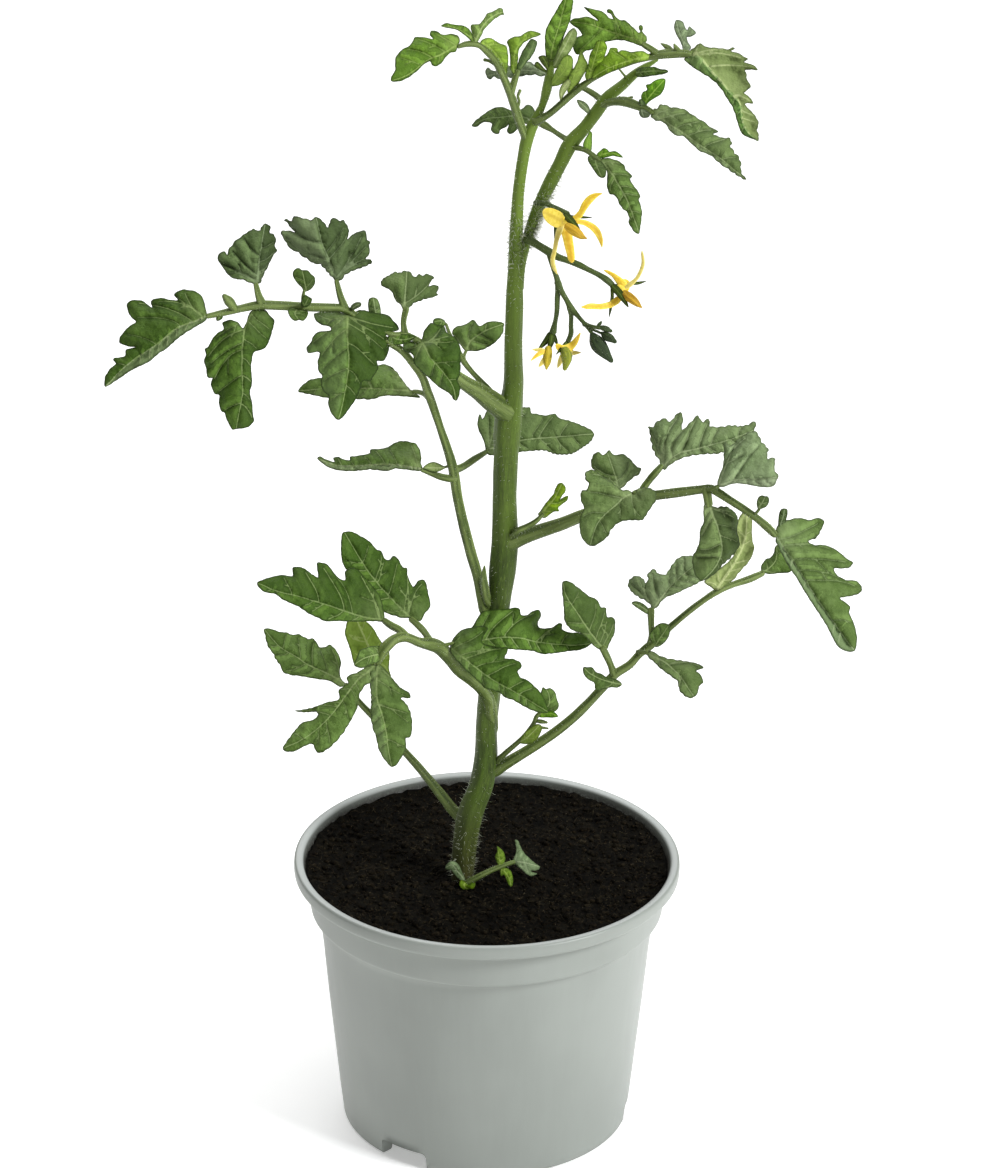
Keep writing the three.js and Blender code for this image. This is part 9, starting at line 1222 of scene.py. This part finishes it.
def pot():
    b = Build()
    band, lip, inner = 56.0, 60.0, 54.2
    prof = [  # radius, height, and how dark the inside wall is painted (above 0) or how strong the painted highlight on the lip's crown is (below 0); the outline runs from the middle underneath, up the outside, and down the inside
        (0.0, 4.8, 0), (14, 4.8, 0), (28, 4.8, 0), (40.6, 4.8, 0), (40.9, 4.5, 0), (41.1, 0.5, 0), (41.6, 0.06, 0), (43.2, 0.0, 0), (44.7, 0.06, 0), (45.25, 0.5, 0),
        (45.5, 3.0, 0), (45.8, 5.6, 0), (46.2, 9.0, 0), (47.3, 20, 0), (48.4, 31, 0), (49.4, 41, 0), (50.4, 52.0, 0), (51.1, 60.0, 0), (52.1, 68.6, 0), (52.55, 71.6, 0),
        (52.75, 71.85, 0), (53.4, 72.05, 0), (54.6, 72.35, 0), (54.98, 72.8, 0), (55.1, 73.5, 0), (55.4, 77.0, 0), (55.8, 81.2, 0), (55.95, 82.9, 0), (56.2, 83.45, 0), (56.9, 83.75, 0), (58.8, 83.95, 0),
        (59.6, 84.15, 0), (59.95, 84.6, 0), (60.05, 85.4, 0), (60.05, 86.5, 0), (60.0, 87.3, 0), (59.85, 87.85, 0), (59.5, 88.14, 0), (59.1, 88.2, -1), (58.4, 88.2, -1), (57.8, 88.12, -1), (57.4, 87.9, -1), (57.15, 87.55, -0.3), (57.05, 87.1, 0.4), (56.95, 86.5, 0.6),
        (56.8, 85.8, 0.85), (56.4, 84.9, 1), (55.7, 83.9, 1), (55.1, 82.8, 1), (54.6, 81.6, 1), (54.2, 80.4, 1), (53.9, 78.0, 1), (53.3, 73.4, 1), (51.3, 71.2, 1), (49.7, 58, 1),
        (47.2, 32, 1), (44.6, 9.0, 1), (43.9, 7.0, 1), (42.8, 6.4, 1), (28, 6.4, 1), (0.0, 6.4, 1)]
    angles = [i * 360 / 168 for i in range(168)]
    soft = ((0.0, 0.0), (0.12, 4.1), (0.5, 4.9), (1.2, 5.4), (2.2, NOTCH_H))
    marks = {}
    for nc in NOTCHES:
        for sg in (-1, 1):
            edge = nc + sg * NOTCH_HALF
            for off, h in soft:
                marks[round((edge - sg * off) % 360, 4)] = h
    def lift(a):
        a = a % 360
        if round(a, 4) in marks:
            return marks[round(a, 4)]
        for nc in NOTCHES:
            d = abs((a - nc + 180) % 360 - 180)
            if d < NOTCH_HALF - 0.01:
                return NOTCH_H
        return 0.0
    keep = [a for a in angles if all(abs((a - m + 180) % 360 - 180) > 0.45 for m in marks)]
    cols = sorted(keep + list(marks))
    n = len(cols)
    V, T = [], []
    rows = []
    for r, z, inside_dark_and_crest in prof:
        if r == 0:
            rows.append([len(V)])
            V.append((0, 0, z))
            T.append(inside_dark_and_crest)
            continue
        row = []
        for a in cols:
            q = math.radians(a)
            h = lift(a)
            zz = z
            rr = r
            if h > 0 and 41.0 < r < 46.0 and z < h:
                zz = max(z, h * (1 if r < 46 else 1))
                if r >= 45.2:
                    rr = 45.2 + 0.111 * zz
            wob = 0.0
            row.append(len(V))
            V.append(((rr + wob) * math.cos(q), (rr + wob) * math.sin(q), zz))
            T.append(inside_dark_and_crest)
        rows.append(row)
    F = []
    for i in range(len(rows) - 1):
        A_, B_ = rows[i], rows[i + 1]
        for k in range(n):
            k2 = (k + 1) % n
            if len(A_) == 1:
                F.append((A_[0], B_[k2], B_[k]))
            elif len(B_) == 1:
                F.append((A_[k], A_[k2], B_[0]))
            else:
                F.append((A_[k], A_[k2], B_[k2], B_[k]))
    T = np.array(T, float)
    # tone carries the darkened inside wall, low the painted highlight on the lip's crown
    b.add(np.array(V, float), F, POT_MAT, tone=np.maximum(T, 0.0), low=np.maximum(-T, 0.0))
    ob = b.make('pot_shell')
    return ob


def soil():
    b = Build()
    N_R, N_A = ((66, 220))
    rim = 56.25
    V = [(0, 0, 83.9)]
    rows = [[0]]
    def top(x, y, r):
        d = 0.55 * noise.noise(Vector((x * 0.08, y * 0.08, 3.0))) + 0.75 * noise.noise(Vector((x * 0.27, y * 0.27, 7.0)))
        d += 0.55 * noise.noise(Vector((x * 0.75, y * 0.75, 1.0))) + 0.3 * noise.noise(Vector((x * 1.8, y * 1.8, 5.0)))
        mound = 0.8 * math.exp(-((x + 7.4) ** 2 + (y + 8.0) ** 2) / 90.0)
        edge = 2.0 * max(0.0, (r - 46.0) / (rim - 46.0)) ** 1.6
        return 83.75 + d + mound + edge
    for i in range(1, N_R + 1):
        r = rim * (i / N_R) ** 0.85
        row = []
        for k in range(N_A):
            a = 2 * math.pi * (k + 0.5 * (i % 2)) / N_A
            rr = r
            if i == N_R:
                rr = rim - 0.1
            x, y = rr * math.cos(a), rr * math.sin(a)
            row.append(len(V))
            V.append((x, y, top(x, y, rr)))
        rows.append(row)
    off = 0.5 * (N_R % 2)
    for r, z in ((54.6, 82.6), (53.7, 79.5), (53.4, 75.5), (53.0, 73.6), (50.8, 71.0), (49.3, 58), (46.8, 32), (44.2, 9.0), (42.6, 6.9)):
        row = []
        for k in range(N_A):
            a = 2 * math.pi * (k + off) / N_A
            row.append(len(V))
            V.append((r * math.cos(a), r * math.sin(a), z))
        rows.append(row)
    rows.append([len(V)])
    V.append((0, 0, 6.9))
    F = []
    for i in range(len(rows) - 1):
        A_, B_ = rows[i], rows[i + 1]
        shift = (i % 2 == 0) if i < N_R else True
        for k in range(N_A):
            k2 = (k + 1) % N_A
            if len(A_) == 1:
                F.append((A_[0], B_[k], B_[k2]))
            elif len(B_) == 1:
                F.append((A_[k2], A_[k], B_[0]))
            elif i >= N_R:
                F.append((A_[k2], A_[k], B_[k], B_[k2]))
            elif i % 2 == 1:   # outer row starts half a step back
                F.append((A_[k], B_[k], B_[k2]))
                F.append((A_[k], B_[k2], A_[k2]))
            else:
                F.append((A_[k], B_[k], A_[k2]))
                F.append((A_[k2], B_[k], B_[k2]))
    b.add(np.array(V, float), F, SOIL)
    body = b.make('soil_body')

    # crumbs: small rough lumps of peat and bark
    phi = (1 + 5 ** 0.5) / 2
    ico = np.array([(-1, phi, 0), (1, phi, 0), (-1, -phi, 0), (1, -phi, 0), (0, -1, phi), (0, 1, phi), (0, -1, -phi), (0, 1, -phi), (phi, 0, -1), (phi, 0, 1), (-phi, 0, -1), (-phi, 0, 1)], float)
    ico /= np.linalg.norm(ico[0])
    icof = [(0, 11, 5), (0, 5, 1), (0, 1, 7), (0, 7, 10), (0, 10, 11), (1, 5, 9), (5, 11, 4), (11, 10, 2), (10, 7, 6), (7, 1, 8), (3, 9, 4), (3, 4, 2), (3, 2, 6), (3, 6, 8), (3, 8, 9), (4, 9, 5), (2, 4, 11), (6, 2, 10), (8, 6, 7), (9, 8, 1)]
    def split(v, f):
        v = [tuple(x) for x in v]
        cache = {}
        out = []
        def m(a, c):
            key = (min(a, c), max(a, c))
            if key not in cache:
                q = np.array(v[a]) + np.array(v[c])
                q /= np.linalg.norm(q)
                cache[key] = len(v)
                v.append(tuple(q))
            return cache[key]
        for a, c, d in f:
            ac, cd, da = m(a, c), m(c, d), m(d, a)
            out += [(a, ac, da), (c, cd, ac), (d, da, cd), (ac, cd, da)]
        return np.array(v), out
    ico2, icof2 = split(ico, icof)
    R = rnd(11)
    cb = Build()
    total = 5600
    for j in range(total):
        r = 55.6 * math.sqrt(R.random())
        a = R.random() * 2 * math.pi
        x, y = r * math.cos(a), r * math.sin(a)
        big = R.random()
        s = 0.16 + 0.26 * R.random() if big < 0.8 else 0.42 + 0.62 * R.random()
        if r + s > 56.0:
            continue
        base, faces = (ico2, icof2) if s > 0.62 else (ico, icof)
        sc = np.array([s * (0.7 + 0.8 * R.random()), s * (0.7 + 0.8 * R.random()), s * (0.5 + 0.5 * R.random())])
        v = base * (1 + 0.28 * np.array([noise.noise(Vector((p[0] * 1.7 + j, p[1] * 1.7, p[2] * 1.7))) for p in base]))[:, None] * sc
        q = R.random() * 6.28
        rot = np.array([[math.cos(q), -math.sin(q), 0], [math.sin(q), math.cos(q), 0], [0, 0, 1]])
        v = v @ rot.T + np.array([x, y, top(x, y, r) + s * 0.12])
        cb.add(v, faces, CRUMB)
    crumbs = cb.make('soil_crumbs')

    fb = Build()
    for j in range(1100):
        r = 54.5 * math.sqrt(R.random())
        a = R.random() * 2 * math.pi
        x, y = r * math.cos(a), r * math.sin(a)
        ln = 0.6 + 2.6 * R.random() ** 2
        q = R.random() * 6.28
        d = np.array([math.cos(q), math.sin(q), 0])
        n = np.array([-d[1], d[0], 0])
        bend = (R.random() - 0.5) * ln * 0.5
        p0 = np.array([x, y, top(x, y, r) + 0.25])
        line = []
        for k in range(5):
            u = k / 4 - 0.5
            pt = p0 + d * u * ln + n * bend * (u * u * 4 - 0.5)
            rr = math.hypot(pt[0], pt[1])
            if rr > 55.4:
                pt[:2] *= 55.4 / rr
            pt[2] = top(pt[0], pt[1], min(rr, 55.4)) + 0.14 + 0.2 * R.random()
            line.append(pt)
        w = 0.035 + 0.045 * R.random()
        line = np.array(line)
        t, U, W = frames(line)
        vv = []
        for k in range(5):
            ww = w * (1 if 0 < k < 4 else 0.5)
            for c in range(4):
                ang = c * math.pi / 2
                vv.append(line[k] + U[k] * math.cos(ang) * ww + W[k] * math.sin(ang) * ww)
        ff = [(k * 4 + c, k * 4 + (c + 1) % 4, (k + 1) * 4 + (c + 1) % 4, (k + 1) * 4 + c) for k in range(4) for c in range(4)]
        ff += [(3, 2, 1, 0), (16, 17, 18, 19)]
        fb.add(np.array(vv), ff, FIBRE)
    fibres = fb.make('soil_fibres')
    return body, crumbs, fibres


# ------------------------------------------------------------------ camera, light and floor
def look_at(ob, target):
    d = Vector(target) - ob.location
    ob.rotation_mode = 'QUATERNION'
    ob.rotation_quaternion = d.to_track_quat('-Z', 'Y')


PITCH = math.radians(23.53)
ROLL = math.radians(0.51)
DIST = 1.2083
LOOK = Vector((0.00329, 0.0, 0.1805))
cam_data = bpy.data.cameras.new('camera')
cam_data.sensor_fit = 'VERTICAL'
cam_data.sensor_height = 36.0
cam_data.lens = 4000.0 * 36.0 / 1168.0
cam_data.clip_start = 0.05
cam_data.clip_end = 50.0
cam = bpy.data.objects.new('camera', cam_data)
bpy.context.scene.collection.objects.link(cam)
fwd = Vector((0, math.cos(PITCH), -math.sin(PITCH)))
cam.location = LOOK - fwd * DIST
cam.rotation_mode = 'QUATERNION'
from mathutils import Matrix, Quaternion
back = -fwd
right = Vector((1, 0, 0))
up = back.cross(right)
base = Matrix((right, up, back)).transposed().to_quaternion()
cam.rotation_quaternion = Quaternion(back, ROLL) @ base
bpy.context.scene.camera = cam


def area(name, loc, target, size, power, color=(1, 1, 1)):
    d = bpy.data.lights.new(name, 'AREA')
    d.shape = 'RECTANGLE'
    d.size = size[0]
    d.size_y = size[1]
    d.energy = power
    d.color = color
    o = bpy.data.objects.new(name, d)
    o.location = loc
    bpy.context.scene.collection.objects.link(o)
    look_at(o, target)
    return o


area('key_light', (1.25, -0.75, 1.15), (0.0, 0, 0.17), (0.55, 0.55), 31.0, (0.975, 0.99, 1.0))
area('fill_light', (-1.5, -1.3, 0.9), (0, 0, 0.2), (1.2, 1.2), 0.4, (1.0, 0.99, 0.97))
area('top_light', (-0.25, 0.35, 1.9), (-0.1, 0.1, 0.0), (1.2, 1.2), 20.0)
area('back_light', (-0.3, 1.9, 1.4), (0, 0.9, 0.0), (1.8, 1.0), 12.0)

world = bpy.data.worlds.new('studio_world')
world.use_nodes = True
bg = next(n for n in world.node_tree.nodes if n.type == 'BACKGROUND')
bg.inputs['Color'].default_value = (1.0, 1.0, 1.0, 1.0)
bg.inputs['Strength'].default_value = 0.22
bpy.context.scene.world = world
bpy.context.scene.view_settings.view_transform = 'Standard'
bpy.context.scene.view_settings.look = 'None'

fl = bpy.data.meshes.new('studio_floor')
fl.from_pydata([(-6, -6, -0.0002), (6, -6, -0.0002), (6, 6, -0.0002), (-6, 6, -0.0002)], [], [(0, 1, 2, 3)])
fm = Nodes('floor_pale')
fc = fm.noise(fm.coords(), 0.02, 2.0)
fm.set(**{'Base Color': fm.mix(fc, (0.93, 0.93, 0.925, 1), (0.95, 0.95, 0.95, 1)), 'Roughness': 0.9, 'Specular IOR Level': 0.1, 'Emission Color': (1.0, 1.0, 1.0, 1.0), 'Emission Strength': 0.3})
fl.materials.append(fm.m)
floor = bpy.data.objects.new('studio_floor', fl)
bpy.context.scene.collection.objects.link(floor)
floor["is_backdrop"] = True


# ------------------------------------------------------------------ build everything
def finish_piece(ob, nodes):
    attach(ob, 'root')
    if nodes:
        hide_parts(*nodes)


finish_piece(pot(), ['pot'])
body, crumbs, fibres = soil()
finish_piece(body, ['soil'])
finish_piece(crumbs, [])
finish_piece(fibres, [])

by_node = {}
for i, t in enumerate(TUBES):
    by_node.setdefault(t['node'], {'t': [], 'b': []})['t'].append((i, t))
for i, bl in enumerate(BLADES):
    by_node.setdefault(bl['node'] or bl['name'], {'t': [], 'b': []})['b'].append((i, bl))


def base_tone(p):
    """The stem is brown and rough where it leaves the soil."""
    return max(0.0, min(1.0, (112.0 - p[2]) / 26.0)) * 0.85


def higher(p):
    """The stem is paler and greyer towards its top."""
    return max(0.0, min(1.0, (p[2] - 190.0) / 110.0))


AXES = [(t['node'], np.array([p + [r] for p, r in zip(t['pts'], t['r'])], float)) for t in TUBES if t['tint'] == 'stem']


def rooted(node, pts, rad):
    """A leaf stalk starts inside the stem that carries it, so that it grows out of it without a step."""
    p = np.array(pts[0], float)
    best = None
    for name, ax in AXES:
        if name == node and len(pts) == len(ax) and np.allclose(ax[0, :3], pts[0]):
            continue
        d, i, t = to_poly(p[None, :], ax[:, :3])
        i, t = int(i[0]), float(t[0])
        q = ax[i] + (ax[i + 1] - ax[i]) * t
        if best is None or d[0] < best[0]:
            best = (float(d[0]), q)
    if best is None:
        return pts, rad
    dist, q = best
    if dist > q[3] * 1.6 + 1.5 or dist < 0.3:
        return pts, rad
    ahead = np.array(pts[1], float) - p
    into = q[:3] + 0.35 * (p - q[:3]) - 0.3 * ahead / max(np.linalg.norm(ahead), 1e-6)
    return [list(into)] + pts, [rad[0] * 0.95] + rad


count = 0
for node, items in by_node.items():
    b = Build()
    for i, t in items['t']:
        pts, rad = [list(p) for p in t['pts']], list(t['r'])
        tint = t['tint']
        if tint in ('petiole', 'flowerstem'):
            pts, rad = rooted(node, pts, rad)
        bud = tint in ('bud', 'budtip', 'anther', 'antherolive')
        kw = dict(ribs=0.045, collar=1.12)
        tone = None
        if node == 'main_stem' and tint == 'stem':
            kw = dict(ribs=0.035, collar=1.0)
            tone = base_tone
            kw['high'] = higher
        elif bud:
            kw = dict(ribs=0.10, collar=1.0, point=True, sides=20)
        elif tint.startswith('petal'):
            kw = dict(ribs=0.02, collar=1.0, sides=14)
        elif rad[0] < 0.9:
            kw = dict(ribs=0.04, collar=1.08)
        if tint == 'stem' and node == 'side_branch':
            kw = dict(ribs=0.035, collar=1.1, high=lambda p: 0.85)
        if tint == 'petiole':
            kw['groove'] = 1.0 if max(rad) > 0.8 else 0.6
        elif tint == 'flowerstem':
            kw['groove'] = 0.4
        line = stalk(b, pts, rad, tint, 40 + i, tone=tone, **kw)
        L = line[5][-1]
        rm = max(rad)
        if node == 'main_stem' and tint == 'stem':
            hairs(b, line, 1500, 900 + i, (0.8, 1.7), where=lambda p: 0.4 + 0.6 * math.exp(-((p[2] - 292) / 18) ** 2), base=0.05)
            hairs(b, line, 900, 960 + i, (1.4, 2.9), where=lambda p: math.exp(-((p[2] - 290) / 8) ** 2), base=0.07, grey=0.25, lay=1.0)
            hairs(b, line, 560, 980 + i, (1.2, 2.6), where=lambda p: math.exp(-((p[2] - 95) / 13) ** 2), base=0.06, grey=0.45)
        elif node == 'side_branch' and tint == 'stem':
            hairs(b, line, 500, 900 + i, (0.8, 1.7), where=lambda p: 0.2 + 0.8 * math.exp(-((p[2] - 300) / 14) ** 2), base=0.05)
            hairs(b, line, 1700, 960 + i, (1.8, 3.5), where=lambda p: math.exp(-((p[2] - 296) / 7) ** 2), base=0.06, grey=0.5, lean=np.array([0.85, -0.1, -0.5]), lay=0.5)
        elif tint in ('petiole',):
            hairs(b, line, int(L * 7.0 * max(0.6, rm / 1.4)), 900 + i, (0.5, 1.15), base=0.03)
        elif tint in ('flowerstem', 'bud', 'budtip'):
            hairs(b, line, int(L * 9.0), 900 + i, (0.35, 0.8), base=0.028)
        elif tint == 'stem':
            hairs(b, line, int(L * 5.0), 900 + i, (0.8, 1.6), base=0.035)
    for i, bl in items['b']:
        blade(b, bl, i + 1)
    ob = b.make(node + '_look')
    count += sum(len(p.vertices) - 2 for p in ob.data.polygons)
    finish_piece(ob, [node])
print('plant triangles', count)

total = 0
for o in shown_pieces():
    k = sum(len(p.vertices) - 2 for p in o.data.polygons)
    total += k
    if k > 60000:
        print('large piece', o.name, k)
print('all triangles', total)
